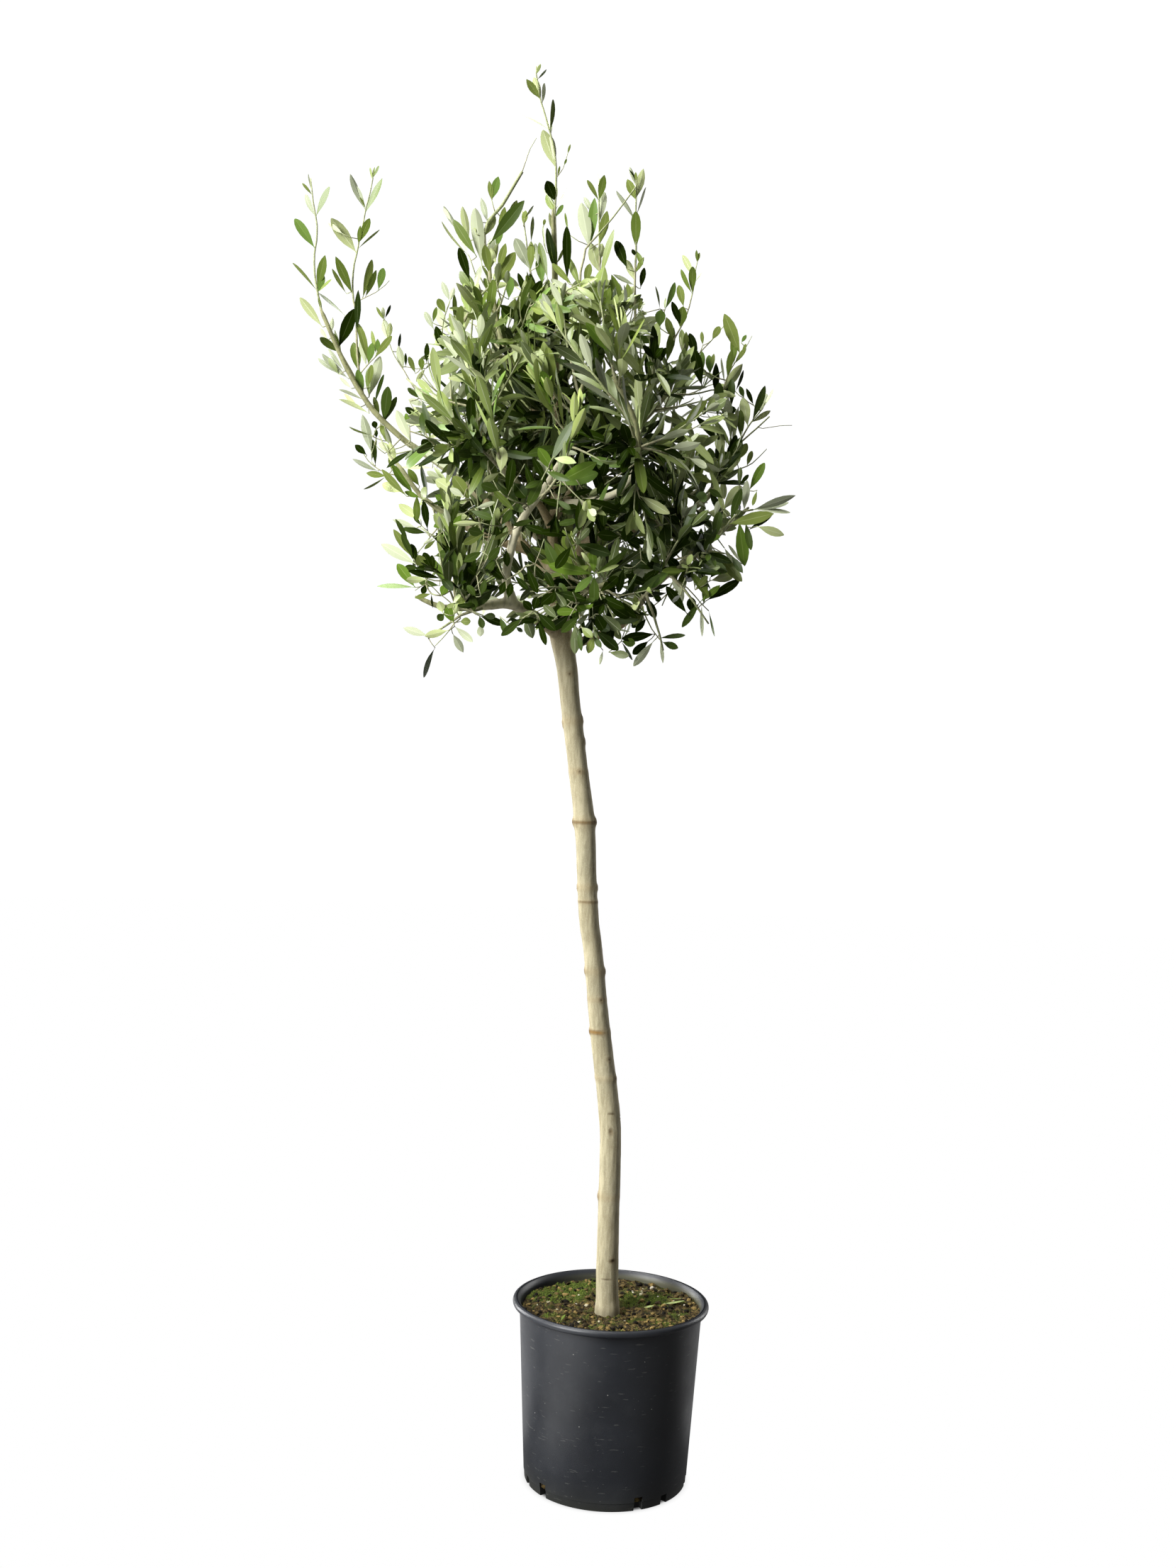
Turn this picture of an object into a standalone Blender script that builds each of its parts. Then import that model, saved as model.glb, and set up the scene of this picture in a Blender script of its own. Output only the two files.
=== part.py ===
"""A young olive tree grown as a standard, in a round nursery pot.

Metres, +Z up. The origin is the middle of the pot's flat underside, +X is the tree's right
and -Y its front. The trunk leans towards -X and forks at about 1.04 m into boughs; each
bough carries one mass of leaves, and each mass keeps to its own space in the crown.
"""

import math
import random

import bmesh
import bpy
from mathutils import Matrix, Vector
from mathutils.geometry import intersect_ray_tri

GAP = 0.0003  # air left between two pieces that touch
UP = Vector((0.0, 0.0, 1.0))

# ---------------------------------------------------------------- pot and soil
POT_HEIGHT = 0.217
RIM_RADIUS = 0.120
RIM_BAND = 0.0088  # height of the rolled rim
RIM_ROUND = 0.0040  # how far its rounded top edge reaches in and down
RIM_EDGE = 0.0012
RIM_UNDERCUT = 0.0030
WALL_TOP_RADIUS = 0.1115
WALL_FOOT_RADIUS = 0.0992
WALL = 0.0020
FOOT_WIDTH = 0.0085
FOOT_STEP_HEIGHT = 0.0100
FOOT_STEP = 0.0006  # how far the feet stand in from the wall above them
PAD_RADIUS = 0.064  # flat middle of the underside, which the pot stands on
FLOOR_LIFT = 0.0055  # the floor between the pad and the feet
FLOOR_SLANT = 0.0020
FLOOR_TOP = 0.0095
POT_SEGMENTS = 40

SLOT_WIDTH = 0.0105
SLOT_HEIGHT = 0.0160
NICK_WIDTH = 0.0095
NICK_HEIGHT = 0.0110
FRONT_FOOT_TURN = -13.0  # degrees round from the front to the middle of the widest foot
SLOT_TURNS = (35.5, 91.5, 147.5)  # to each side of the widest foot's middle
NICK_TURNS = (57.0, 119.5)
OVERRUN = 0.0040  # how far an opening's cutter passes the faces that it goes through

SOIL_TOP = 0.2046
SOIL_PATCH_RADIUS = 0.024  # level ground round the trunk
SOIL_RINGS = (0.024, 0.046, 0.070, 0.092)
SOIL_SEGMENTS = POT_SEGMENTS // 2  # in line with the pot, so that no corner meets its wall
SOIL_LUMPS = ((0.0012, 5, 60.0), (0.0009, 11, -90.0))  # (height, lumps round, turn a metre outwards)
SOIL_FALL = 0.0016  # from the back to the front
SOIL_FALL_TURN = 0.9
SOIL_EDGE_DROP = 0.0030

# ---------------------------------------------------------------- trunk
TRUNK_SIDES = 12
TRUNK_STEP = 0.060
TRUNK_FOOT = SOIL_TOP + GAP
# (x, y, z, radius) up the middle of the trunk, from the flared foot to the fork
TRUNK_LINE = (
    (-0.0040, 0.000, TRUNK_FOOT, 0.0176),
    (-0.0044, 0.000, 0.2160, 0.0155),
    (-0.0055, 0.000, 0.2500, 0.0139),
    (-0.0065, 0.000, 0.3312, 0.0133),
    (-0.0068, 0.000, 0.3900, 0.0132),
    (-0.0090, 0.000, 0.4356, 0.0132),
    (-0.0187, 0.000, 0.5048, 0.0129),
    (-0.0270, 0.000, 0.5600, 0.0124),
    (-0.0372, 0.000, 0.6434, 0.0118),
    (-0.0432, 0.000, 0.6780, 0.0123),
    (-0.0476, 0.000, 0.7300, 0.0119),
    (-0.0532, 0.000, 0.7994, 0.0126),
    (-0.0639, 0.000, 0.8687, 0.0121),
    (-0.0746, 0.000, 0.9379, 0.0121),
    (-0.0817, 0.000, 0.9898, 0.0128),
    (-0.0880, 0.000, 1.0180, 0.0138),
    (-0.0930, 0.000, 1.0420, 0.0144),
    (-0.0945, 0.000, 1.0500, 0.0105),
)

# ---------------------------------------------------------------- boughs
BOUGH_SIDES = 6
RING_STEP = 0.030  # along a bough
BURIED_RADIUS = 0.0025  # the end inside the parent, which no part of it may pass
BURIED_SHARE = 0.12
# name: (its parent and other limbs it grows against, first radius, last radius,
#        its path from the middle of its parent)
BOUGHS = {
    "bough_leader": (
        ("trunk",), 0.0086, 0.0036,
        ((-0.092, 0.000, 1.036), (-0.102, 0.000, 1.093), (-0.105, 0.003, 1.149),
         (-0.103, 0.004, 1.205), (-0.106, 0.002, 1.310), (-0.112, 0.000, 1.415)),
    ),
    "bough_low_left": (
        ("trunk", "bough_leader"), 0.0088, 0.0048,
        ((-0.090, -0.002, 1.030), (-0.118, -0.034, 1.043), (-0.149, -0.058, 1.057),
         (-0.176, -0.066, 1.054), (-0.200, -0.072, 1.050)),
    ),
    "bough_front_rise": (
        ("bough_low_left",), 0.0060, 0.0038,
        ((-0.147, -0.058, 1.058), (-0.156, -0.072, 1.086), (-0.143, -0.092, 1.143),
         (-0.114, -0.120, 1.183), (-0.093, -0.134, 1.216)),
    ),
    "bough_far_left": (
        ("bough_leader", "trunk"), 0.0066, 0.0040,
        ((-0.102, 0.001, 1.098), (-0.132, 0.022, 1.130), (-0.180, 0.034, 1.184),
         (-0.240, 0.030, 1.232), (-0.290, 0.022, 1.262)),
    ),
    "bough_left": (
        ("bough_far_left", "bough_leader"), 0.0052, 0.0036,
        ((-0.137, 0.024, 1.135), (-0.172, 0.012, 1.142), (-0.212, 0.000, 1.156),
         (-0.240, -0.008, 1.172)),
    ),
    "bough_right_back": (
        ("trunk", "bough_leader"), 0.0082, 0.0044,
        ((-0.090, 0.003, 1.040), (-0.076, 0.016, 1.110), (-0.066, 0.036, 1.170),
         (-0.036, 0.056, 1.202), (0.000, 0.078, 1.222)),
    ),
    "bough_right": (
        ("bough_right_back",), 0.0056, 0.0038,
        ((-0.070, 0.024, 1.140), (-0.040, 0.022, 1.158), (0.000, 0.014, 1.164),
         (0.045, 0.008, 1.180)),
    ),
    "bough_right_rise": (
        ("bough_leader", "bough_right_back"), 0.0056, 0.0036,
        ((-0.105, 0.003, 1.174), (-0.072, -0.004, 1.222), (-0.034, -0.006, 1.262),
         (0.000, -0.004, 1.292)),
    ),
    "bough_front_right": (
        ("bough_leader", "bough_right_rise"), 0.0056, 0.0036,
        ((-0.103, 0.002, 1.194), (-0.092, -0.034, 1.184), (-0.060, -0.074, 1.180),
         (-0.026, -0.102, 1.188), (-0.006, -0.122, 1.214)),
    ),
    "bough_front_left": (
        ("bough_leader",), 0.0052, 0.0036,
        ((-0.104, 0.002, 1.158), (-0.124, -0.026, 1.186), (-0.152, -0.056, 1.204),
         (-0.176, -0.078, 1.226)),
    ),
    "bough_low_right": (
        ("trunk",), 0.0060, 0.0038,
        ((-0.086, -0.002, 1.010), (-0.054, -0.014, 1.024), (-0.014, -0.028, 1.042),
         (0.014, -0.040, 1.080), (0.052, -0.055, 1.114)),
    ),
    "bough_low_front": (
        ("trunk", "bough_leader", "bough_low_right"), 0.0052, 0.0034,
        ((-0.091, -0.004, 1.044), (-0.080, -0.042, 1.060), (-0.060, -0.082, 1.072)),
    ),
    "bough_back_left": (
        ("bough_leader", "bough_far_left"), 0.0060, 0.0038,
        ((-0.105, 0.003, 1.126), (-0.122, 0.042, 1.152), (-0.152, 0.086, 1.178),
         (-0.176, 0.112, 1.200)),
    ),
    "bough_back": (
        ("bough_leader", "bough_right_back"), 0.0056, 0.0036,
        ((-0.104, 0.004, 1.210), (-0.098, 0.046, 1.238), (-0.090, 0.092, 1.262),
         (-0.088, 0.118, 1.284)),
    ),
    "bough_back_low": (
        ("trunk", "bough_right_back", "bough_leader"), 0.0058, 0.0038,
        ((-0.091, 0.004, 1.034), (-0.080, 0.046, 1.058), (-0.062, 0.090, 1.082),
         (-0.050, 0.118, 1.094)),
    ),
    "bough_upper_left": (
        ("bough_leader",), 0.0044, 0.0034,
        ((-0.105, 0.003, 1.262), (-0.132, -0.010, 1.300), (-0.158, -0.018, 1.342)),
    ),
    "bough_upper_right": (
        ("bough_leader",), 0.0042, 0.0034,
        ((-0.106, 0.002, 1.290), (-0.082, 0.008, 1.326), (-0.062, 0.014, 1.366)),
    ),
}

# ---------------------------------------------------------------- crown
CROWN_MIDDLE = Vector((-0.098, 0.0, 1.235))
CROWN_ACROSS = 0.220  # where shoots end, before their last leaves
CROWN_DEEP = 0.205
CROWN_ABOVE = 0.320
CROWN_BELOW = 0.210
CROWN_TAPER = 1.25  # above 1 draws the crown in towards its top
CROWN_REACH = (0.58, 1.02)  # how far out a shoot ends, as a share
REACH_POWER = 0.6  # below 1 brings more of the shoots to the outside
TRUNK_CONE = -0.88  # no shoot points more steeply down than this
AIMS = 162  # shoots that the whole crown aims for
AIM_TURN = 0.7548776662466927
AIM_RISE = 0.5698402909980532

TWIG_RADIUS = 0.0021
TWIG_TIP_RADIUS = 0.0013
TWIG_STEP = 0.055
STEM_TIP_RADIUS = 0.0026
STEM_SIDES = 4
STEM_SHARE = 0.92  # of its bough's radius, where the stem begins
STEM_FOOT = 0.0040  # the stem runs straight for so far first
SHOOT_PLACES = (0.22, 0.94)  # the part of a stem that shoots leave from
SHOOT_SLANT = 0.75  # how far below its aim a shoot starts, against how far aside the aim lies
BEND_OUT = 0.55  # a shoot's bend, as a share of its way out and of its rise
BEND_UP = 0.32
SHORTEST_SHOOT = 0.045
CELL_MARGIN = 0.0008  # to the plane between two masses
LIMB_MARGIN = 0.0032
TWIG_MARGIN = 0.0008

FIRST_PAIR = 0.026
FIRST_PAIR_RANGE = (0.80, 1.30)
PAIR_STEP = 0.030  # from one pair of leaves to the next
PAIR_RANGE = (0.85, 1.15)
LAST_PAIR = 0.010  # no pair stands nearer the tip
LONG_PAIR_STEP = 0.048  # the longest shoots stand clear of the crown, with leaves of life size
LONG_LEAF = 0.70

LEAF_LENGTH = 0.086
LEAF_WIDTH = 0.0265
LEAF_WIDEST = 0.46  # from root to tip
LEAF_KEEL = 0.036  # how far the sides rise above the keel, as a share of the length
LEAF_SUNK = 0.0012  # how far past the middle of its shoot a leaf is rooted
LEAF_FALL = 0.20  # how much smaller the leaves are towards the tip
LEAF_RANGE = (0.90, 1.10)
WIDTH_FALL = 0.60  # how much of a leaf's change of size its width follows
TIP_LEAF = 0.80
TIP_LEAF_BACK = 0.004
LEAF_SPREAD = 44.0  # degrees between a leaf and its shoot
SPREAD_RANGE = (0.65, 1.30)
TIP_SPREAD = (2.0, 10.0)
LEAF_SWING = 0.40  # radians round the shoot, either way
FACE_RISE = 0.35  # how far a leaf's upper face turns from the shoot's tip to the sky
FACE_STRAY = 0.30
LEAF_TRIES = 9  # ways a leaf is turned before it is left off
TRY_SHRINK = 0.03  # each further try makes it smaller
TRY_SPREAD = 3.0  # degrees that it opens a leaf at the tip

# name: (bough it grows on from, its stem's path beyond the bough, the middle of its space,
#        tips of its longest shoots)
MASSES = {
    "leaves_top": (
        "bough_leader",
        ((-0.114, 0.000, 1.470), (-0.118, 0.000, 1.540)),
        (-0.112, 0.000, 1.480),
        ((-0.142, 0.000, 1.690), (-0.088, 0.018, 1.565)),
    ),
    "leaves_upper_left": (
        "bough_upper_left",
        ((-0.176, -0.022, 1.385), (-0.188, -0.026, 1.440)),
        (-0.185, -0.030, 1.400),
        ((-0.192, -0.030, 1.562), (-0.224, -0.020, 1.532), (-0.162, 0.010, 1.548)),
    ),
    "leaves_upper_right": (
        "bough_upper_right",
        ((-0.050, 0.016, 1.410), (-0.044, 0.014, 1.455)),
        (-0.038, 0.020, 1.415),
        ((-0.064, 0.000, 1.560), (-0.020, 0.010, 1.572), (-0.082, -0.060, 1.440)),
    ),
    "leaves_right_rise": (
        "bough_right_rise",
        ((0.026, 0.000, 1.324), (0.044, 0.004, 1.364)),
        (0.036, -0.004, 1.335),
        ((0.060, 0.010, 1.478), (0.098, 0.000, 1.400), (0.124, 0.010, 1.368)),
    ),
    "leaves_right": (
        "bough_right",
        ((0.080, 0.012, 1.200), (0.104, 0.014, 1.236)),
        (0.082, 0.030, 1.215),
        ((0.150, 0.000, 1.322), (0.132, 0.010, 1.180)),
    ),
    "leaves_low_right": (
        "bough_low_right",
        ((0.088, -0.068, 1.142), (0.120, -0.076, 1.172)),
        (0.080, -0.072, 1.120),
        ((0.158, -0.080, 1.196), (0.144, -0.066, 1.120), (0.118, -0.040, 1.090),
         (0.094, -0.060, 1.060), (0.048, -0.050, 1.022)),
    ),
    "leaves_front_right": (
        "bough_front_right",
        ((-0.010, -0.134, 1.258), (-0.034, -0.142, 1.302)),
        (-0.006, -0.146, 1.262),
        ((-0.056, -0.128, 1.400),),
    ),
    "leaves_front": (
        "bough_front_rise",
        ((-0.082, -0.144, 1.248), (-0.074, -0.152, 1.290)),
        (-0.078, -0.146, 1.255),
        ((-0.100, -0.130, 1.395), (-0.112, -0.160, 1.310)),
    ),
    "leaves_front_left": (
        "bough_front_left",
        ((-0.194, -0.096, 1.262), (-0.206, -0.104, 1.300)),
        (-0.184, -0.108, 1.262),
        ((-0.206, -0.080, 1.410), (-0.146, -0.130, 1.330)),
    ),
    "leaves_far_left": (
        "bough_far_left",
        ((-0.331, 0.016, 1.297), (-0.366, 0.014, 1.348), (-0.397, 0.010, 1.412)),
        (-0.335, 0.020, 1.330),
        ((-0.420, 0.006, 1.534), (-0.337, 0.024, 1.598), (-0.330, 0.004, 1.392),
         (-0.378, -0.026, 1.392), (-0.396, 0.030, 1.392)),
    ),
    "leaves_left": (
        "bough_left",
        ((-0.268, -0.014, 1.192), (-0.290, -0.018, 1.220)),
        (-0.250, -0.014, 1.180),
        ((-0.320, -0.010, 1.262), (-0.300, -0.030, 1.120)),
    ),
    "leaves_low_left": (
        "bough_low_left",
        ((-0.228, -0.078, 1.048), (-0.252, -0.080, 1.056)),
        (-0.218, -0.082, 1.062),
        ((-0.262, -0.080, 1.008), (-0.286, -0.066, 1.076), (-0.206, -0.106, 1.022),
         (-0.166, -0.100, 1.020)),
    ),
    "leaves_low_front": (
        "bough_low_front",
        ((-0.046, -0.110, 1.076), (-0.032, -0.130, 1.078)),
        (-0.056, -0.104, 1.078),
        ((0.020, -0.090, 1.024), (-0.030, -0.110, 1.014), (-0.120, -0.100, 1.028)),
    ),
    "leaves_back_left": (
        "bough_back_left",
        ((-0.194, 0.132, 1.232), (-0.206, 0.142, 1.266)),
        (-0.196, 0.132, 1.232),
        ((-0.238, 0.120, 1.360),),
    ),
    "leaves_back": (
        "bough_back",
        ((-0.086, 0.132, 1.326), (-0.086, 0.136, 1.366)),
        (-0.090, 0.126, 1.330),
        ((-0.096, 0.110, 1.500),),
    ),
    "leaves_back_right": (
        "bough_right_back",
        ((0.024, 0.098, 1.250), (0.038, 0.108, 1.286)),
        (0.016, 0.112, 1.250),
        ((0.048, 0.090, 1.400),),
    ),
    "leaves_back_low": (
        "bough_back_low",
        ((-0.042, 0.142, 1.108), (-0.038, 0.156, 1.128)),
        (-0.062, 0.124, 1.100),
        ((-0.060, 0.190, 1.090),),
    ),
}
SITES = {name: Vector(parts[2]) for name, parts in MASSES.items()}

# ---------------------------------------------------------------- colours
PLASTIC = (0.018, 0.022, 0.028)
EARTH = (0.075, 0.052, 0.026)
BARK = (0.40, 0.34, 0.23)
BOUGH_BARK = (0.33, 0.26, 0.17)
LEAF_GREENS = ((0.10, 0.17, 0.05), (0.14, 0.22, 0.08), (0.07, 0.13, 0.045), (0.19, 0.26, 0.13))


def painted(obj, colour, roughness):
    """Gives the object its own plain material."""
    material = bpy.data.materials.new(obj.name + "_material")
    material.use_nodes = True
    shader = material.node_tree.nodes["Principled BSDF"]
    shader.inputs["Base Color"].default_value = (*colour, 1.0)
    shader.inputs["Roughness"].default_value = roughness
    material.diffuse_color = (*colour, 1.0)
    obj.data.materials.append(material)
    return obj


def mesh_object(name, points, faces, collection=None):
    mesh = bpy.data.meshes.new(name)
    mesh.from_pydata([tuple(p) for p in points], [], faces)
    mesh.validate()
    obj = bpy.data.objects.new(name, mesh)
    (collection or bpy.context.scene.collection).objects.link(obj)
    return obj


def turned(name, profile, segments):
    """A body turned about the Z axis from (radius, height) points, outer side first, top to bottom."""
    mesh = bpy.data.meshes.new(name)
    edges = [(i, (i + 1) % len(profile)) for i in range(len(profile))]
    if profile[0][0] == 0.0 and profile[-1][0] == 0.0:
        edges.pop()
    mesh.from_pydata([(r, 0.0, z) for r, z in profile], edges, [])
    obj = bpy.data.objects.new(name, mesh)
    bpy.context.scene.collection.objects.link(obj)
    screw = obj.modifiers.new("turn", "SCREW")
    screw.steps = screw.render_steps = segments
    screw.use_merge_vertices = True
    screw.merge_threshold = 0.00001
    screw.use_smooth_shade = False
    return obj


def cut(obj, cutters):
    """Takes each cutter out of the object and hides it from the render."""
    for cutter in cutters:
        cutter.hide_render = True
        cutter.display_type = "WIRE"
        boolean = obj.modifiers.new("cut_" + cutter.name, "BOOLEAN")
        boolean.operation = "DIFFERENCE"
        boolean.solver = "EXACT"
        boolean.object = cutter


def box(name, size, matrix):
    bpy.ops.mesh.primitive_cube_add(size=1.0)
    obj = bpy.context.object
    obj.name = name
    obj.data.transform(matrix @ Matrix.Diagonal((*size, 1.0)))
    return obj


# ---------------------------------------------------------------- pot and soil
def wall_radius(height):
    """The outer radius of the pot's wall at a height."""
    share = height / (POT_HEIGHT - RIM_BAND)
    return WALL_FOOT_RADIUS + (WALL_TOP_RADIUS - WALL_FOOT_RADIUS) * share


def foot_opening(name, turn, width, height):
    """A box across the ring of feet, turned so many degrees round from the front."""
    deep = FOOT_WIDTH * 2
    round_z = Matrix.Rotation(math.radians(turn), 4, "Z")
    middle = (0.0, deep / 2 - WALL_FOOT_RADIUS - OVERRUN, (height - OVERRUN) / 2)
    return box(name, (width, deep, height + OVERRUN), round_z @ Matrix.Translation(middle))


def make_pot():
    band = POT_HEIGHT - RIM_BAND
    foot = WALL_FOOT_RADIUS
    inner = WALL_TOP_RADIUS - WALL
    profile = (
        (RIM_RADIUS - RIM_ROUND, POT_HEIGHT),
        (RIM_RADIUS - RIM_EDGE, POT_HEIGHT - RIM_EDGE),
        (RIM_RADIUS, POT_HEIGHT - RIM_ROUND),
        (RIM_RADIUS - RIM_UNDERCUT, band),
        (WALL_TOP_RADIUS, band),
        (wall_radius(FOOT_STEP_HEIGHT), FOOT_STEP_HEIGHT),
        (wall_radius(FOOT_STEP_HEIGHT) - FOOT_STEP, FOOT_STEP_HEIGHT - FOOT_STEP),
        (foot - FOOT_STEP, 0.0),
        (foot - FOOT_WIDTH, 0.0),
        (foot - FOOT_WIDTH - FLOOR_SLANT, FLOOR_LIFT),
        (PAD_RADIUS + FLOOR_SLANT, FLOOR_LIFT),
        (PAD_RADIUS, 0.0),
        (0.0, 0.0),
        (0.0, FLOOR_TOP),
        (wall_radius(FLOOR_TOP) - WALL, FLOOR_TOP),
        (inner, band),
        (WALL_TOP_RADIUS, POT_HEIGHT - RIM_EDGE),
        (WALL_TOP_RADIUS + RIM_EDGE, POT_HEIGHT),
    )
    pot = turned("pot", profile, POT_SEGMENTS)
    openings = []
    for side in (-1, 1):
        for turn in SLOT_TURNS:
            at = FRONT_FOOT_TURN + side * turn
            openings.append(foot_opening("slot_cutter", at, SLOT_WIDTH, SLOT_HEIGHT))
        for turn in NICK_TURNS:
            at = FRONT_FOOT_TURN + side * turn
            openings.append(foot_opening("nick_cutter", at, NICK_WIDTH, NICK_HEIGHT))
    cut(pot, openings)
    return painted(pot, PLASTIC, 0.42)


def soil_height(radius, angle):
    """Lumpy ground, level round the trunk and lowest at the front."""
    if radius <= SOIL_PATCH_RADIUS:
        return SOIL_TOP
    lump = sum(high * math.sin(count * angle + turn * radius) for high, count, turn in SOIL_LUMPS)
    return SOIL_TOP + lump + SOIL_FALL * math.sin(angle + SOIL_FALL_TURN)


def make_soil():
    """The soil fills the pot to a gap from its wall, as a stack of rings with a lumpy top."""
    floor = FLOOR_TOP + GAP
    wall_low = wall_radius(floor) - WALL - GAP
    wall_high = wall_radius(SOIL_TOP) - WALL - GAP
    points = [(0.0, 0.0, SOIL_TOP)]
    loops = [(radius, None) for radius in SOIL_RINGS]
    loops += [(wall_high, SOIL_TOP - SOIL_EDGE_DROP), (wall_low, floor)]
    for radius, level in loops:
        for i in range(SOIL_SEGMENTS):
            angle = 2 * math.pi * i / SOIL_SEGMENTS
            z = soil_height(radius, angle) if level is None else level
            points.append((radius * math.cos(angle), radius * math.sin(angle), z))
    points.append((0.0, 0.0, floor))
    n = SOIL_SEGMENTS
    faces = [(0, 1 + i, 1 + (i + 1) % n) for i in range(n)]
    for ring in range(len(loops) - 1):
        a = 1 + ring * n
        for i in range(n):
            j = (i + 1) % n
            faces.append((a + i, a + n + i, a + n + j, a + j))
    last = 1 + (len(loops) - 1) * n
    faces += [(last + (i + 1) % n, last + i, len(points) - 1) for i in range(n)]
    return painted(mesh_object("soil", points, faces), EARTH, 0.95)


# ---------------------------------------------------------------- limbs
def smoothed(points, step):
    """Points about a step apart along the Catmull-Rom curve through the given ones, of any length each."""
    ends = [2 * points[0] - points[1], *points, 2 * points[-1] - points[-2]]
    found = []
    for a, b, c, d in zip(ends, ends[1:], ends[2:], ends[3:]):
        parts = max(1, round((c.xyz - b.xyz).length / step))
        for i in range(parts):
            t = i / parts
            found.append(
                0.5 * (2 * b + (c - a) * t + (2 * a - 5 * b + 4 * c - d) * t * t
                       + (3 * b - a - 3 * c + d) * t * t * t)
            )
    return [*found, points[-1].copy()]


def rings_of(path, sides, spread=0.0):
    """Rings of points square to the path, whose points are (x, y, z, radius)."""
    centres = [p.xyz for p in path]
    side = None
    rings = []
    for i, centre in enumerate(centres):
        along = (centres[min(i + 1, len(path) - 1)] - centres[max(i - 1, 0)]).normalized()
        if side is None:
            side = along.orthogonal()
        side = (side - along * side.dot(along)).normalized()
        across = along.cross(side)
        radius = path[i].w + spread
        rings.append([
            centre + radius * (math.cos(2 * math.pi * k / sides) * side
                               + math.sin(2 * math.pi * k / sides) * across)
            for k in range(sides)
        ])
    return rings


def tube(name, path, sides, spread=0.0, collection=None, level_foot=False):
    """A tapering limb along the path, with flat ends."""
    rings = rings_of(path, sides, spread)
    if level_foot:
        for point in rings[0]:
            point.z = path[0].z
    points = [p for ring in rings for p in ring]
    faces = [tuple(reversed(range(sides)))]
    for ring in range(len(rings) - 1):
        a = ring * sides
        for k in range(sides):
            j = (k + 1) % sides
            faces.append((a + k, a + j, a + sides + j, a + sides + k))
    faces.append(tuple(range(len(points) - sides, len(points))))
    return mesh_object(name, points, faces, collection)


def nearest_on(path, point):
    """The point of the path's middle line that lies nearest."""
    found = []
    for a, b in zip(path, path[1:]):
        run = b.xyz - a.xyz
        share = min(1.0, max(0.0, (point - a.xyz).dot(run) / run.length_squared))
        found.append(a.xyz + share * run)
    return min(found, key=lambda p: (p - point).length)


def limb_paths():
    """The path of the trunk and of every bough, as lists of (x, y, z, radius)."""
    paths = {"trunk": smoothed([Vector(p) for p in TRUNK_LINE], TRUNK_STEP)}
    for name, (against, first, last, line) in BOUGHS.items():
        line = [nearest_on(paths[against[0]], Vector(line[0])), *line[1:]]
        share = [i / (len(line) - 1) for i in range(len(line))]
        knots = [Vector((*p, first + (last - first) * s)) for p, s in zip(line, share)]
        path = smoothed(knots, RING_STEP)
        root = path[0].copy()
        root.w = BURIED_RADIUS
        paths[name] = [root, path[0].lerp(path[1], BURIED_SHARE), *path[1:]]
    return paths


def make_limbs(paths):
    """The trunk and the boughs. Each bough starts inside its parent and is cut back to a gap from it."""
    trunk = tube("trunk", paths["trunk"], TRUNK_SIDES, level_foot=True)
    painted(trunk, BARK, 0.85)
    cutters = {}
    for name, (against, _, _, _) in BOUGHS.items():
        bough = painted(tube(name, paths[name], BOUGH_SIDES), BOUGH_BARK, 0.85)
        for parent in against:
            if parent not in cutters:
                sides = TRUNK_SIDES if parent == "trunk" else BOUGH_SIDES
                cutters[parent] = tube(parent + "_clear", paths[parent], sides, GAP * 1.5)
        cut(bough, [cutters[parent] for parent in against])


# ---------------------------------------------------------------- masses of leaves
def in_own_space(mass, point, radius=0.0):
    """Whether the point, with so much round it, is on the mass's side half way to every other mass."""
    own = SITES[mass]
    return all(
        (point - (own + site) / 2).dot((site - own).normalized()) < -radius - CELL_MARGIN
        for other, site in SITES.items()
        if other != mass
    )


def segment_distance(a, b, c, d):
    """The shortest distance between the segments ab and cd."""
    u, v, w = b - a, d - c, a - c
    uu, uv, vv, uw, vw = u.dot(u), u.dot(v), v.dot(v), u.dot(w), v.dot(w)
    det = uu * vv - uv * uv
    s = min(1.0, max(0.0, (uv * vw - vv * uw) / det)) if det > 1e-12 else 0.0
    t = (uv * s + vw) / vv
    if t < 0.0 or t > 1.0:
        t = min(1.0, max(0.0, t))
        s = min(1.0, max(0.0, (uv * t - uw) / uu))
    return (w + s * u - t * v).length


def clear_of_limbs(a, b, capsules, margin):
    return all(segment_distance(a, b, c, d) > radius + margin for c, d, radius in capsules)


def crown_aim(k):
    """The k-th aim: directions spread evenly round the crown, each pushed out to its ragged edge."""
    azimuth = 2 * math.pi * ((k * AIM_TURN) % 1.0)
    rise = 1.0 - 2.0 * ((k * AIM_RISE) % 1.0)
    level = math.sqrt(1.0 - rise * rise)
    near, far = CROWN_REACH
    reach = near + (far - near) * random.Random(k).random() ** REACH_POWER
    height = CROWN_ABOVE if rise > 0 else CROWN_BELOW
    if rise > 0:
        level = level ** CROWN_TAPER
    out = Vector((CROWN_ACROSS * level * math.cos(azimuth), CROWN_DEEP * level * math.sin(azimuth),
                  height * rise))
    return CROWN_MIDDLE + reach * out, rise


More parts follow.
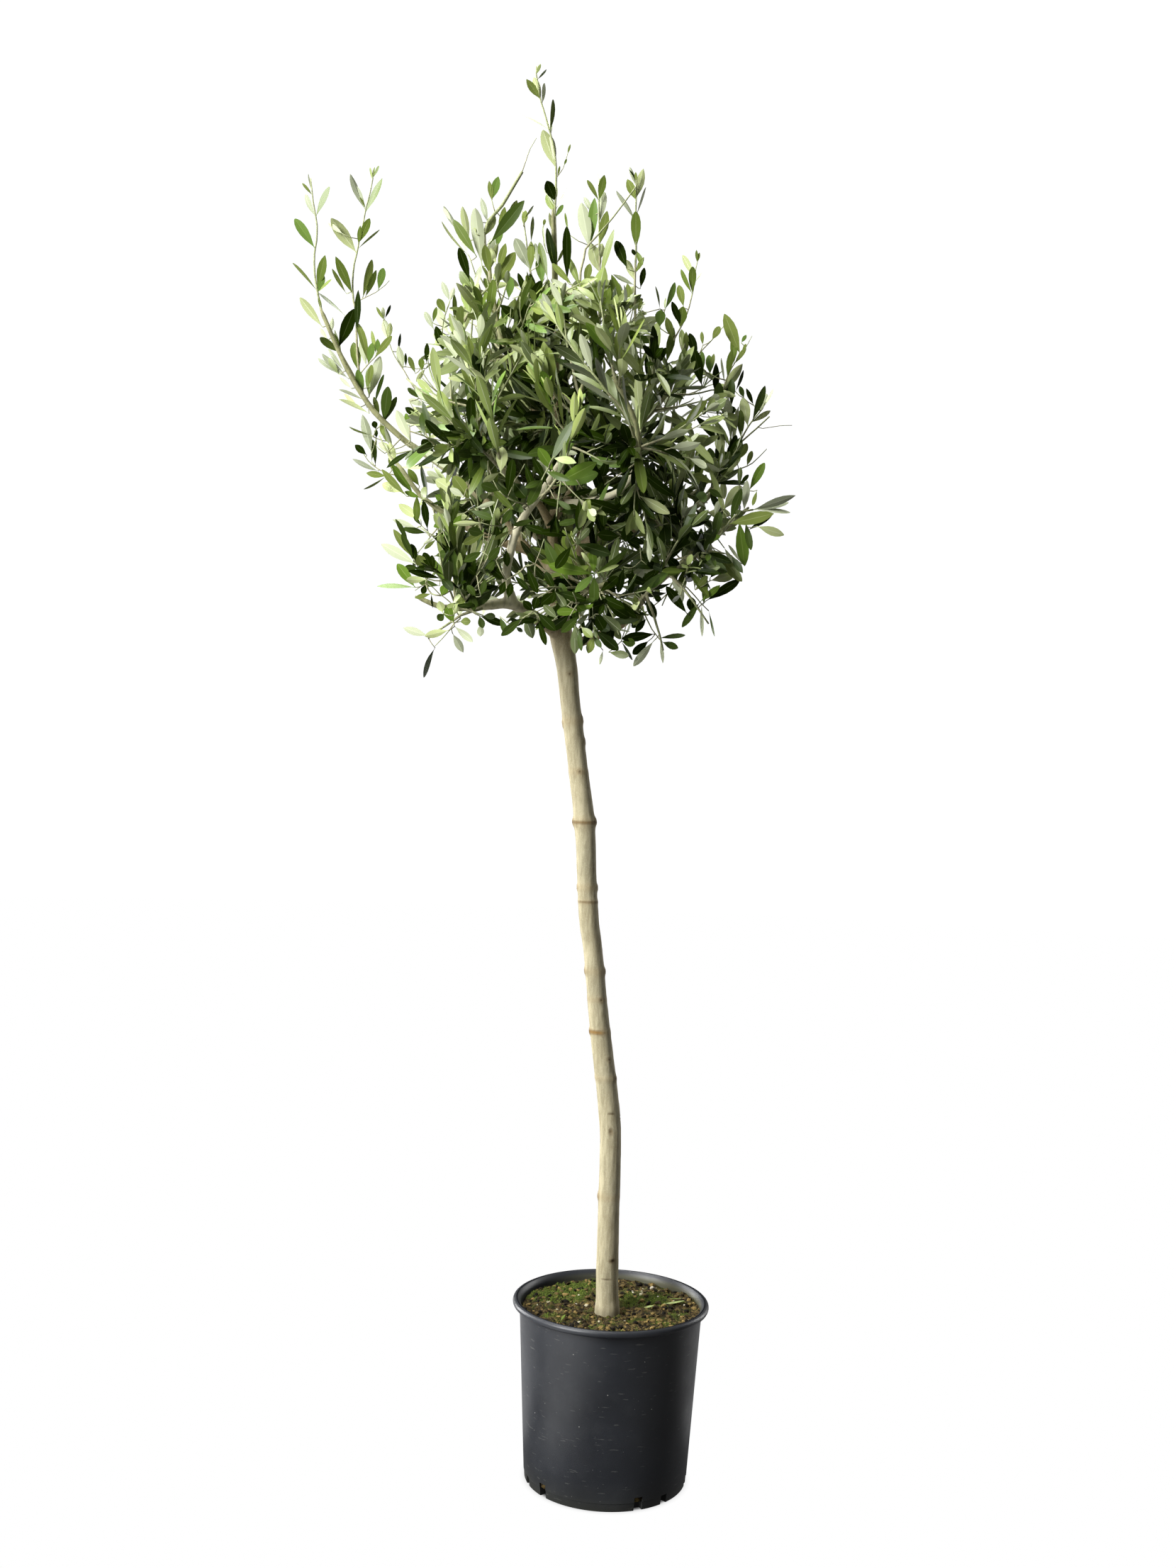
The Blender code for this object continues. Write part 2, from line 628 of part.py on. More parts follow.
def shoot_path(stem, aim):
    """A shoot leaves the stem at a slant, then bends up towards its aim."""
    foot, tip = stem[0].xyz, stem[-1].xyz
    run = tip - foot
    along = (aim - foot).dot(run) / run.length_squared
    aside = (aim - foot - along * run).length / run.length
    first, last = SHOOT_PLACES
    place = min(last, max(first, along - SHOOT_SLANT * aside)) * (len(stem) - 1)
    whole = min(int(place), len(stem) - 2)
    start = stem[whole].xyz.lerp(stem[whole + 1].xyz, place - whole)
    way = aim - start
    bend = start + Vector((BEND_OUT * way.x, BEND_OUT * way.y, BEND_UP * way.z))
    parts = max(2, round(way.length / TWIG_STEP))
    path = []
    for i in range(parts + 1):
        t = i / parts
        path.append((1 - t) ** 2 * start + 2 * t * (1 - t) * bend + t * t * aim)
    return path


def allowed_path(mass, path, capsules):
    """As much of the path as stays in the mass's space and clear of the limbs."""
    kept = [path[0]]
    for a, b in zip(path, path[1:]):
        inside = in_own_space(mass, b, TWIG_RADIUS)
        if not inside or not clear_of_limbs(a, b, capsules, LIMB_MARGIN):
            break
        kept.append(b)
    return kept


def leaf_corners(root, direction, face, length, width):
    """Root, left, right and tip of one leaf, its two sides raised so that it has a keel below."""
    across = direction.cross(face).normalized()
    belly = root + LEAF_WIDEST * length * direction + LEAF_KEEL * length * face
    return (
        root,
        belly - 0.5 * width * across,
        belly + 0.5 * width * across,
        root + length * direction,
    )


LEAF_FACES = ((0, 2, 1), (3, 1, 2), (0, 1, 3), (0, 3, 2))


def leaf_edges(corners):
    """The outline and midrib of a leaf, just clear of its root."""
    root, left, right, tip = corners
    return (
        (root.lerp(tip, 0.12), tip), (root.lerp(left, 0.15), left),
        (root.lerp(right, 0.15), right), (left, tip), (right, tip),
    )


def pierces(a, b, corners):
    """Whether the segment ab goes through the leaf."""
    root, left, right, tip = corners
    for side in (left, right):
        hit = intersect_ray_tri(root, side, tip, b - a, a, True)
        if hit and 0.0 <= (hit - a).dot(b - a) <= (b - a).length_squared:
            return True
    return False


def leaves_cross(one, two):
    if (one[3] - two[3]).length > 2.5 * LEAF_LENGTH:
        return False
    return any(pierces(a, b, two) for a, b in leaf_edges(one)) or any(
        pierces(a, b, one) for a, b in leaf_edges(two)
    )


def leaf_fits(mass, corners, capsules, twigs, leaves):
    """In its own space, clear of limbs and of other twigs, and through no other leaf."""
    edges = leaf_edges(corners)
    return (
        all(in_own_space(mass, p) for p in corners)
        and all(clear_of_limbs(a, b, capsules, LIMB_MARGIN) for a, b in edges)
        and all(clear_of_limbs(a, b, twigs, TWIG_MARGIN) for a, b in edges)
        and not any(pierces(a, b, corners) for a, b, _ in twigs)
        and not any(leaves_cross(corners, other) for other in leaves)
    )


def leaf_places(path, rng, step):
    """Where leaves spring from a shoot: pairs, each square to the last, and one at the tip."""
    lengths = [0.0]
    for a, b in zip(path, path[1:]):
        lengths.append(lengths[-1] + (b - a).length)
    total = lengths[-1]
    side = (path[1] - path[0]).orthogonal().normalized()
    turn = rng.uniform(0.0, math.pi)
    place = FIRST_PAIR * rng.uniform(*FIRST_PAIR_RANGE)
    while place < total - LAST_PAIR:
        i = max(k for k in range(len(path) - 1) if lengths[k] <= place)
        along = (path[i + 1] - path[i]).normalized()
        at = path[i] + along * (place - lengths[i])
        side = (side - along * side.dot(along)).normalized()
        across = along.cross(side)
        for angle in (turn, turn + math.pi):
            out = math.cos(angle) * side + math.sin(angle) * across
            yield at, along, out, 1.0 - LEAF_FALL * place / total
        turn += math.pi / 2
        place += step * rng.uniform(*PAIR_RANGE)
    along = (path[-1] - path[-2]).normalized()
    yield path[-1] - TIP_LEAF_BACK * along, along, None, TIP_LEAF


def leaf_lying(place, scale, tried, rng):
    """One way for a leaf to lie. Each further try turns it more freely and makes it smaller."""
    at, along, out, size = place
    size *= scale * rng.uniform(*LEAF_RANGE) * (1.0 - TRY_SHRINK * tried)
    spread = math.radians(LEAF_SPREAD * rng.uniform(*SPREAD_RANGE))
    if out is None:
        out = along.orthogonal().normalized()
        spread = math.radians(rng.uniform(*TIP_SPREAD) + TRY_SPREAD * tried)
    swing = LEAF_SWING * (1 + tried)
    out = Matrix.Rotation(rng.uniform(-swing, swing), 3, along) @ out
    direction = math.cos(spread) * along + math.sin(spread) * out
    stray = Vector((rng.uniform(-1, 1), rng.uniform(-1, 1), 0.0))
    face = along + FACE_RISE * UP + FACE_STRAY * stray
    face = (face - direction * face.dot(direction)).normalized()
    width = LEAF_WIDTH * (scale + WIDTH_FALL * (size - scale))
    return leaf_corners(at - LEAF_SUNK * direction, direction, face, LEAF_LENGTH * size, width)


def stem_of(mass, paths):
    """The mass's stem, from a gap beyond its bough's tip."""
    bough, line, _, _ = MASSES[mass]
    tip, before = paths[bough][-1], paths[bough][-2]
    along = (tip.xyz - before.xyz).normalized()
    start = tip.xyz + along * GAP
    knots = [start, *(Vector(p) for p in line)]
    radius = tip.w * STEM_SHARE
    count = len(knots) - 1
    return smoothed([
        Vector((*p, radius + (STEM_TIP_RADIUS - radius) * i / count)) for i, p in enumerate(knots)
    ], RING_STEP)


def squared_foot(path, tip, before):
    """Keeps the stem's first ring parallel to the flat end of its bough."""
    along = (tip.xyz - before.xyz).normalized()
    second = path[0].copy()
    second.xyz = path[0].xyz + along * STEM_FOOT
    return [path[0], second, *path[1:]]


def grow_mass(mass, paths, capsules, aims):
    """One mass: its stem, its shoots and their leaves, as separate closed pieces in a collection."""
    pieces = bpy.data.collections.new(mass + "_pieces")
    bpy.context.scene.collection.children.link(pieces)
    bough = MASSES[mass][0]
    stem = stem_of(mass, paths)
    whole = squared_foot(stem, paths[bough][-1], paths[bough][-2])
    core = tube(mass, whole, STEM_SIDES)
    shoots = []
    for aim, is_long in aims:
        path = allowed_path(mass, shoot_path(stem, aim), capsules)
        if len(path) > 1 and (path[-1] - path[0]).length > SHORTEST_SHOOT:
            shoots.append((path, is_long))
    leaves = []
    for number, (path, is_long) in enumerate(shoots):
        count = len(path) - 1
        twig = [
            Vector((*p, TWIG_RADIUS + (TWIG_TIP_RADIUS - TWIG_RADIUS) * i / count))
            for i, p in enumerate(path)
        ]
        tube("twig", twig, 3, collection=pieces)
        twigs = [
            (a, b, TWIG_RADIUS)
            for other, _ in shoots
            if other is not path
            for a, b in zip(other, other[1:])
        ]
        rng = random.Random(f"{mass}-{number}")
        step, scale = (LONG_PAIR_STEP, LONG_LEAF) if is_long else (PAIR_STEP, 1.0)
        for place in leaf_places(path, rng, step):
            for tried in range(LEAF_TRIES):
                corners = leaf_lying(place, scale, tried, rng)
                if leaf_fits(mass, corners, capsules, twigs, leaves):
                    leaves.append(corners)
                    mesh_object("leaf", corners, LEAF_FACES, pieces)
                    break
    return core, pieces


def keep_largest_shell(obj):
    """Drops loose scrap, and the shell of any hollow that crossing leaves have sealed."""
    shape = bmesh.new()
    shape.from_mesh(obj.data)
    left = set(shape.verts)
    shells = []
    while left:
        shell, edge = set(), [next(iter(left))]
        while edge:
            vert = edge.pop()
            if vert in left:
                left.remove(vert)
                shell.add(vert)
                edge += [e.other_vert(vert) for e in vert.link_edges]
        shells.append(shell)
    biggest = max(shells, key=len)
    bmesh.ops.delete(shape, geom=[v for v in shape.verts if v not in biggest], context="VERTS")
    bmesh.ops.triangulate(shape, faces=shape.faces)
    shape.to_mesh(obj.data)
    shape.free()


def fuse(core, pieces):
    """Joins the pieces to the stem in one union, then removes them."""
    union = core.modifiers.new("fuse", "BOOLEAN")
    union.operation = "UNION"
    union.solver = "MANIFOLD"
    union.operand_type = "COLLECTION"
    union.collection = pieces
    bpy.context.view_layer.objects.active = core
    bpy.ops.object.modifier_apply(modifier=union.name)
    for piece in list(pieces.objects):
        mesh = piece.data
        bpy.data.objects.remove(piece)
        bpy.data.meshes.remove(mesh)
    bpy.data.collections.remove(pieces)
    keep_largest_shell(core)


def make_masses(paths):
    capsules = [
        (a.xyz, b.xyz, max(a.w, b.w))
        for path in paths.values()
        for a, b in zip(path, path[1:])
    ]
    aims = {name: [(Vector(p), True) for p in parts[3]] for name, parts in MASSES.items()}
    for k in range(1, AIMS + 1):
        aim, rise = crown_aim(k)
        owner = min(SITES, key=lambda name: (SITES[name] - aim).length)
        if rise > TRUNK_CONE:
            aims[owner].append((aim, False))
    for number, mass in enumerate(MASSES):
        core, pieces = grow_mass(mass, paths, capsules, aims[mass])
        fuse(core, pieces)
        painted(core, LEAF_GREENS[number % len(LEAF_GREENS)], 0.6)


def main():
    for obj in list(bpy.data.objects):
        bpy.data.objects.remove(obj)
    make_pot()
    make_soil()
    paths = limb_paths()
    make_limbs(paths)
    make_masses(paths)


main()
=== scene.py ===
"""The looks of a young olive tree in a nursery pot.

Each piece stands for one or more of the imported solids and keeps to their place. The trunk and
boughs become one piece of bark with its rings, knots and scars. Each mass of leaves becomes a piece
of twigs and a piece of leaves, grown by the rule that grew the solids and carried on to finer
twigs. Pot and soil are modelled again with their small detail. Metres, +Z up, -Y the front.
"""

import math
import random

import bpy
import numpy as np
from bpy.props import FloatProperty, FloatVectorProperty, IntProperty, PointerProperty
from bpy.types import Operator, Panel, PropertyGroup
from mathutils import Matrix, Vector, noise


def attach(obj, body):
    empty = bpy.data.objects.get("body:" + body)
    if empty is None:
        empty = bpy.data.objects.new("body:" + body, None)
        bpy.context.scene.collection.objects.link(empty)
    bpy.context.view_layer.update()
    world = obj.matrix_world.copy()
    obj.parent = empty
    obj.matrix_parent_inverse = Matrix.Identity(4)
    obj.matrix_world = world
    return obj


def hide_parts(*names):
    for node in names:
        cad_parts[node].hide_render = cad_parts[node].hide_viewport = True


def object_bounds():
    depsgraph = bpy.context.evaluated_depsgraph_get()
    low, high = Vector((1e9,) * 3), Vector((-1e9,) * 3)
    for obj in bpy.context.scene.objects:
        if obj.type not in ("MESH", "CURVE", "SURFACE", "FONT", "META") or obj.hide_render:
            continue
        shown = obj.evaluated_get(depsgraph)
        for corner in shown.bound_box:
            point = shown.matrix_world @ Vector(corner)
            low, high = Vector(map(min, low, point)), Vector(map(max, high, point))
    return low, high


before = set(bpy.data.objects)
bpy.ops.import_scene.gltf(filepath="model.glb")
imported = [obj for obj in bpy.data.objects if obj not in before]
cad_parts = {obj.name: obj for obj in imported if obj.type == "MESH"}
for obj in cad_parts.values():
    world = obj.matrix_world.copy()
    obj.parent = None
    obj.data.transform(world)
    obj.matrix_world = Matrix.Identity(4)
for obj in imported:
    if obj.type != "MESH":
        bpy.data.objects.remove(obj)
CAD_LOW, CAD_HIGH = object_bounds()

bl_info = {
    "name": "Potted Olive Tree",
    "version": (1, 0, 0),
    "blender": (4, 5, 0),
    "location": "3D View > Sidebar > Olive Tree",
    "description": "Bark, leaves, soil and pot over the solids of a potted olive tree",
    "category": "Object",
}

GAP = 0.0003  # air between two of the solids
UP = Vector((0.0, 0.0, 1.0))

# ---------------------------------------------------------------- pot and soil, as the solids have them
POT_HEIGHT = 0.217
RIM_RADIUS = 0.120
RIM_BAND = 0.0088
WALL_TOP_RADIUS = 0.1115
WALL_FOOT_RADIUS = 0.0992
WALL = 0.0020
FOOT_WIDTH = 0.0085
FOOT_STEP_HEIGHT = 0.0100
FOOT_STEP = 0.0006
PAD_RADIUS = 0.064
FLOOR_LIFT = 0.0055
FLOOR_TOP = 0.0095
FRONT_FOOT_TURN = -13.0
# openings in the foot ring: how far round from there to both sides, and their width and height
OPENINGS = (((35.5, 91.5, 147.5), (0.0105, 0.0160)), ((57.0, 119.5), (0.0095, 0.0110)))
SOIL_TOP = 0.2046
SOIL_PATCH_RADIUS = 0.024
SOIL_LUMPS = ((0.0012, 5, 60.0), (0.0009, 11, -90.0))
SOIL_FALL = 0.0016
SOIL_FALL_TURN = 0.9
SOIL_DIP = 0.0062  # how much lower the ground lies at the trunk

# ---------------------------------------------------------------- limbs, as the solids have them
TRUNK_STEP = 0.060
BARK_STEP = 0.010  # between the rings of the bark
BARK_FOOT = 0.009  # how far the bark goes on below the solid's foot, in the soil
TRUNK_FOOT = SOIL_TOP + GAP
FOOT_SLIMMER = 0.12
TRUNK_LINE = (
    (-0.0040, 0.000, TRUNK_FOOT, 0.0176),
    (-0.0044, 0.000, 0.2160, 0.0155),
    (-0.0055, 0.000, 0.2500, 0.0139),
    (-0.0065, 0.000, 0.3312, 0.0133),
    (-0.0068, 0.000, 0.3900, 0.0132),
    (-0.0090, 0.000, 0.4356, 0.0132),
    (-0.0187, 0.000, 0.5048, 0.0129),
    (-0.0270, 0.000, 0.5600, 0.0124),
    (-0.0372, 0.000, 0.6434, 0.0118),
    (-0.0432, 0.000, 0.6780, 0.0123),
    (-0.0476, 0.000, 0.7300, 0.0119),
    (-0.0532, 0.000, 0.7994, 0.0126),
    (-0.0639, 0.000, 0.8687, 0.0121),
    (-0.0746, 0.000, 0.9379, 0.0121),
    (-0.0817, 0.000, 0.9898, 0.0128),
    (-0.0880, 0.000, 1.0180, 0.0138),
    (-0.0930, 0.000, 1.0420, 0.0144),
    (-0.0945, 0.000, 1.0500, 0.0105),
)
RING_STEP = 0.030
# name: (its parent, first radius, last radius, its path from the middle of its parent)
BOUGHS = {
    "bough_leader": (
        "trunk", 0.0086, 0.0036,
        ((-0.092, 0.000, 1.036), (-0.102, 0.000, 1.093), (-0.105, 0.003, 1.149),
         (-0.103, 0.004, 1.205), (-0.106, 0.002, 1.310), (-0.112, 0.000, 1.415)),
    ),
    "bough_low_left": (
        "trunk", 0.0088, 0.0048,
        ((-0.090, -0.002, 1.030), (-0.118, -0.034, 1.043), (-0.149, -0.058, 1.057),
         (-0.176, -0.066, 1.054), (-0.200, -0.072, 1.050)),
    ),
    "bough_front_rise": (
        "bough_low_left", 0.0060, 0.0038,
        ((-0.147, -0.058, 1.058), (-0.156, -0.072, 1.086), (-0.143, -0.092, 1.143),
         (-0.114, -0.120, 1.183), (-0.093, -0.134, 1.216)),
    ),
    "bough_far_left": (
        "bough_leader", 0.0066, 0.0040,
        ((-0.102, 0.001, 1.098), (-0.132, 0.022, 1.130), (-0.180, 0.034, 1.184),
         (-0.240, 0.030, 1.232), (-0.290, 0.022, 1.262)),
    ),
    "bough_left": (
        "bough_far_left", 0.0052, 0.0036,
        ((-0.137, 0.024, 1.135), (-0.172, 0.012, 1.142), (-0.212, 0.000, 1.156),
         (-0.240, -0.008, 1.172)),
    ),
    "bough_right_back": (
        "trunk", 0.0082, 0.0044,
        ((-0.090, 0.003, 1.040), (-0.076, 0.016, 1.110), (-0.066, 0.036, 1.170),
         (-0.036, 0.056, 1.202), (0.000, 0.078, 1.222)),
    ),
    "bough_right": (
        "bough_right_back", 0.0056, 0.0038,
        ((-0.070, 0.024, 1.140), (-0.040, 0.022, 1.158), (0.000, 0.014, 1.164),
         (0.045, 0.008, 1.180)),
    ),
    "bough_right_rise": (
        "bough_leader", 0.0056, 0.0036,
        ((-0.105, 0.003, 1.174), (-0.072, -0.004, 1.222), (-0.034, -0.006, 1.262),
         (0.000, -0.004, 1.292)),
    ),
    "bough_front_right": (
        "bough_leader", 0.0056, 0.0036,
        ((-0.103, 0.002, 1.194), (-0.092, -0.034, 1.184), (-0.060, -0.074, 1.180),
         (-0.026, -0.102, 1.188), (-0.006, -0.122, 1.214)),
    ),
    "bough_front_left": (
        "bough_leader", 0.0052, 0.0036,
        ((-0.104, 0.002, 1.158), (-0.124, -0.026, 1.186), (-0.152, -0.056, 1.204),
         (-0.176, -0.078, 1.226)),
    ),
    "bough_low_right": (
        "trunk", 0.0060, 0.0038,
        ((-0.086, -0.002, 1.010), (-0.054, -0.014, 1.024), (-0.014, -0.028, 1.042),
         (0.014, -0.040, 1.080), (0.052, -0.055, 1.114)),
    ),
    "bough_low_front": (
        "trunk", 0.0052, 0.0034,
        ((-0.091, -0.004, 1.044), (-0.080, -0.042, 1.060), (-0.060, -0.082, 1.072)),
    ),
    "bough_back_left": (
        "bough_leader", 0.0060, 0.0038,
        ((-0.105, 0.003, 1.126), (-0.122, 0.042, 1.152), (-0.152, 0.086, 1.178),
         (-0.176, 0.112, 1.200)),
    ),
    "bough_back": (
        "bough_leader", 0.0056, 0.0036,
        ((-0.104, 0.004, 1.210), (-0.098, 0.046, 1.238), (-0.090, 0.092, 1.262),
         (-0.088, 0.118, 1.284)),
    ),
    "bough_back_low": (
        "trunk", 0.0058, 0.0038,
        ((-0.091, 0.004, 1.034), (-0.080, 0.046, 1.058), (-0.062, 0.090, 1.082),
         (-0.050, 0.118, 1.094)),
    ),
    "bough_upper_left": (
        "bough_leader", 0.0044, 0.0034,
        ((-0.105, 0.003, 1.262), (-0.132, -0.010, 1.300), (-0.158, -0.018, 1.342)),
    ),
    "bough_upper_right": (
        "bough_leader", 0.0042, 0.0034,
        ((-0.106, 0.002, 1.290), (-0.082, 0.008, 1.326), (-0.062, 0.014, 1.366)),
    ),
}

# ---------------------------------------------------------------- crown, as the solids have it
CROWN_MIDDLE = Vector((-0.098, 0.0, 1.235))
CROWN_ACROSS = 0.220
CROWN_DEEP = 0.205
CROWN_ABOVE = 0.320
CROWN_BELOW = 0.210
CROWN_TAPER = 1.25
CROWN_REACH = (0.58, 1.02)
REACH_POWER = 0.6
TRUNK_CONE = -0.88
AIMS = 162
AIM_TURN = 0.7548776662466927
AIM_RISE = 0.5698402909980532
TWIG_RADIUS = 0.0021
TWIG_STEP = 0.055
STEM_TIP_RADIUS = 0.0026
STEM_SHARE = 0.92
SHOOT_PLACES = (0.22, 0.94)
SHOOT_SLANT = 0.75
BEND_OUT = 0.55
BEND_UP = 0.32
SHORTEST_SHOOT = 0.045
TWIG_PART = 0.014  # one straight part of a twig
SIDE_TURN = 2.4  # from one side twig to the next round the shoot
# radii at the foot and the tip of a long shoot, a shoot, a side twig and a shoot that stands out
LONG_RADII, SHOOT_RADII = (0.0019, 0.0008), (0.0017, 0.0007)
SIDE_RADII, OWN_RADII = (0.00105, 0.00055), (0.0021, 0.0010)
CELL_MARGIN = 0.0008
LIMB_MARGIN = 0.0032
# name: (bough it grows on from, its stem's path beyond the bough, the middle of its space,
#        tips of its longest shoots)
MASSES = {
    "leaves_top": (
        "bough_leader",
        ((-0.114, 0.000, 1.470), (-0.118, 0.000, 1.540)),
        (-0.112, 0.000, 1.480),
        ((-0.142, 0.000, 1.690), (-0.088, 0.018, 1.565)),
    ),
    "leaves_upper_left": (
        "bough_upper_left",
        ((-0.176, -0.022, 1.385), (-0.188, -0.026, 1.440)),
        (-0.185, -0.030, 1.400),
        ((-0.192, -0.030, 1.562), (-0.224, -0.020, 1.532), (-0.162, 0.010, 1.548)),
    ),
    "leaves_upper_right": (
        "bough_upper_right",
        ((-0.050, 0.016, 1.410), (-0.044, 0.014, 1.455)),
        (-0.038, 0.020, 1.415),
        ((-0.064, 0.000, 1.560), (-0.020, 0.010, 1.572), (-0.082, -0.060, 1.440)),
    ),
    "leaves_right_rise": (
        "bough_right_rise",
        ((0.026, 0.000, 1.324), (0.044, 0.004, 1.364)),
        (0.036, -0.004, 1.335),
        ((0.060, 0.010, 1.478), (0.098, 0.000, 1.400), (0.124, 0.010, 1.368)),
    ),
    "leaves_right": (
        "bough_right",
        ((0.080, 0.012, 1.200), (0.104, 0.014, 1.236)),
        (0.082, 0.030, 1.215),
        ((0.150, 0.000, 1.322), (0.132, 0.010, 1.180)),
    ),
    "leaves_low_right": (
        "bough_low_right",
        ((0.088, -0.068, 1.142), (0.120, -0.076, 1.172)),
        (0.080, -0.072, 1.120),
        ((0.158, -0.080, 1.196), (0.144, -0.066, 1.120), (0.118, -0.040, 1.090),
         (0.094, -0.060, 1.060), (0.048, -0.050, 1.022)),
    ),
    "leaves_front_right": (
        "bough_front_right",
        ((-0.010, -0.134, 1.258), (-0.034, -0.142, 1.302)),
        (-0.006, -0.146, 1.262),
        ((-0.056, -0.128, 1.400),),
    ),
    "leaves_front": (
        "bough_front_rise",
        ((-0.082, -0.144, 1.248), (-0.074, -0.152, 1.290)),
        (-0.078, -0.146, 1.255),
        ((-0.100, -0.130, 1.395), (-0.112, -0.160, 1.310)),
    ),
    "leaves_front_left": (
        "bough_front_left",
        ((-0.194, -0.096, 1.262), (-0.206, -0.104, 1.300)),
        (-0.184, -0.108, 1.262),
        ((-0.206, -0.080, 1.410), (-0.146, -0.130, 1.330)),
    ),
    "leaves_far_left": (
        "bough_far_left",
        ((-0.331, 0.016, 1.297), (-0.366, 0.014, 1.348), (-0.397, 0.010, 1.412)),
        (-0.335, 0.020, 1.330),
        ((-0.420, 0.006, 1.534), (-0.337, 0.024, 1.598), (-0.330, 0.004, 1.392),
         (-0.378, -0.026, 1.392), (-0.396, 0.030, 1.392)),
    ),
    "leaves_left": (
        "bough_left",
        ((-0.268, -0.014, 1.192), (-0.290, -0.018, 1.220)),
        (-0.250, -0.014, 1.180),
        ((-0.320, -0.010, 1.262), (-0.300, -0.030, 1.120)),
    ),
    "leaves_low_left": (
        "bough_low_left",
        ((-0.228, -0.078, 1.048), (-0.252, -0.080, 1.056)),
        (-0.218, -0.082, 1.062),
        ((-0.262, -0.080, 1.008), (-0.286, -0.066, 1.076), (-0.206, -0.106, 1.022),
         (-0.166, -0.100, 1.020)),
    ),
    "leaves_low_front": (
        "bough_low_front",
        ((-0.046, -0.110, 1.076), (-0.032, -0.130, 1.078)),
        (-0.056, -0.104, 1.078),
        ((0.020, -0.090, 1.024), (-0.030, -0.110, 1.014), (-0.120, -0.100, 1.028)),
    ),
    "leaves_back_left": (
        "bough_back_left",
        ((-0.194, 0.132, 1.232), (-0.206, 0.142, 1.266)),
        (-0.196, 0.132, 1.232),
        ((-0.238, 0.120, 1.360),),
    ),
    "leaves_back": (
        "bough_back",
        ((-0.086, 0.132, 1.326), (-0.086, 0.136, 1.366)),
        (-0.090, 0.126, 1.330),
        ((-0.096, 0.110, 1.500),),
    ),
    "leaves_back_right": (
        "bough_right_back",
        ((0.024, 0.098, 1.250), (0.038, 0.108, 1.286)),
        (0.016, 0.112, 1.250),
        ((0.048, 0.090, 1.400),),
    ),
    "leaves_back_low": (
        "bough_back_low",
        ((-0.042, 0.142, 1.108), (-0.038, 0.156, 1.128)),
        (-0.062, 0.124, 1.100),
        ((-0.060, 0.190, 1.090),),
    ),
}
SITES = {name: Vector(parts[2]) for name, parts in MASSES.items()}

# ---------------------------------------------------------------- marks on the trunk
# (height, turn from the front towards the right, width, how far it stands out)
KNOTS = (
    (0.9798, 12.0, 0.0042, 0.0006), (0.9254, 86.0, 0.0050, 0.0019), (0.9185, -84.0, 0.0046, 0.0015),
    (0.8985, 78.0, 0.0048, 0.0016), (0.8611, 8.0, 0.0036, 0.0005), (0.7994, -82.0, 0.0052, 0.0020),
    (0.8010, 84.0, 0.0052, 0.0022), (0.7196, -84.0, 0.0040, 0.0014), (0.7200, 82.0, 0.0042, 0.0016),
    (0.6174, -80.0, 0.0044, 0.0015), (0.6180, 84.0, 0.0044, 0.0016), (0.5837, 24.0, 0.0038, 0.0006),
    (0.5440, -84.0, 0.0046, 0.0016), (0.5113, 34.0, 0.0036, 0.0005), (0.4873, 62.0, 0.0040, 0.0009),
    (0.3429, -82.0, 0.0048, 0.0018), (0.2664, 28.0, 0.0036, 0.0004), (0.9510, 160.0, 0.0044, 0.0014),
    (0.8300, 196.0, 0.0048, 0.0016), (0.6800, 148.0, 0.0044, 0.0012), (0.5600, 205.0, 0.0044, 0.0014),
    (0.4300, 172.0, 0.0048, 0.0016), (0.3000, 215.0, 0.0042, 0.0010),
)
# (height, half its height, how far it stands out)
NODE_RINGS = (
    (0.9220, 0.0060, 0.0004), (0.8611, 0.0050, 0.0003), (0.7994, 0.0070, 0.0011),
    (0.7198, 0.0050, 0.0004), (0.7023, 0.0030, 0.0005), (0.6177, 0.0055, 0.0005),
    (0.5837, 0.0040, 0.0003), (0.5439, 0.0045, 0.0005), (0.4873, 0.0040, 0.0006),
    (0.3429, 0.0050, 0.0003),
)
# (height, turn, half its width round the trunk, half its height, how deep, how warm its colour is)
SCARS = (
    (0.5439, -34.0, 0.0120, 0.0022, 0.0003, 1.0), (0.4457, 10.0, 0.0040, 0.0012, 0.0003, 0.3),
    (0.4394, 86.0, 0.0034, 0.0022, 0.0014, 0.1), (0.4241, 2.0, 0.0026, 0.0036, 0.0005, 0.4),
    (0.2664, 22.0, 0.0044, 0.0014, 0.0004, 0.4), (0.2442, -6.0, 0.0060, 0.0008, 0.0004, 0.2),
    (0.7023, 4.0, 0.0150, 0.0010, 0.0002, 0.4), (0.7994, 0.0, 0.0160, 0.0016, 0.0002, 0.6),
)

# ---------------------------------------------------------------- crown's own detail
# where the front is seen from, and the camera's roll
FRONT_X, FRONT_Z, FRONT_DISTANCE = -0.0505, 0.8465, 1.925
CAMERA_ROLL = -2.044
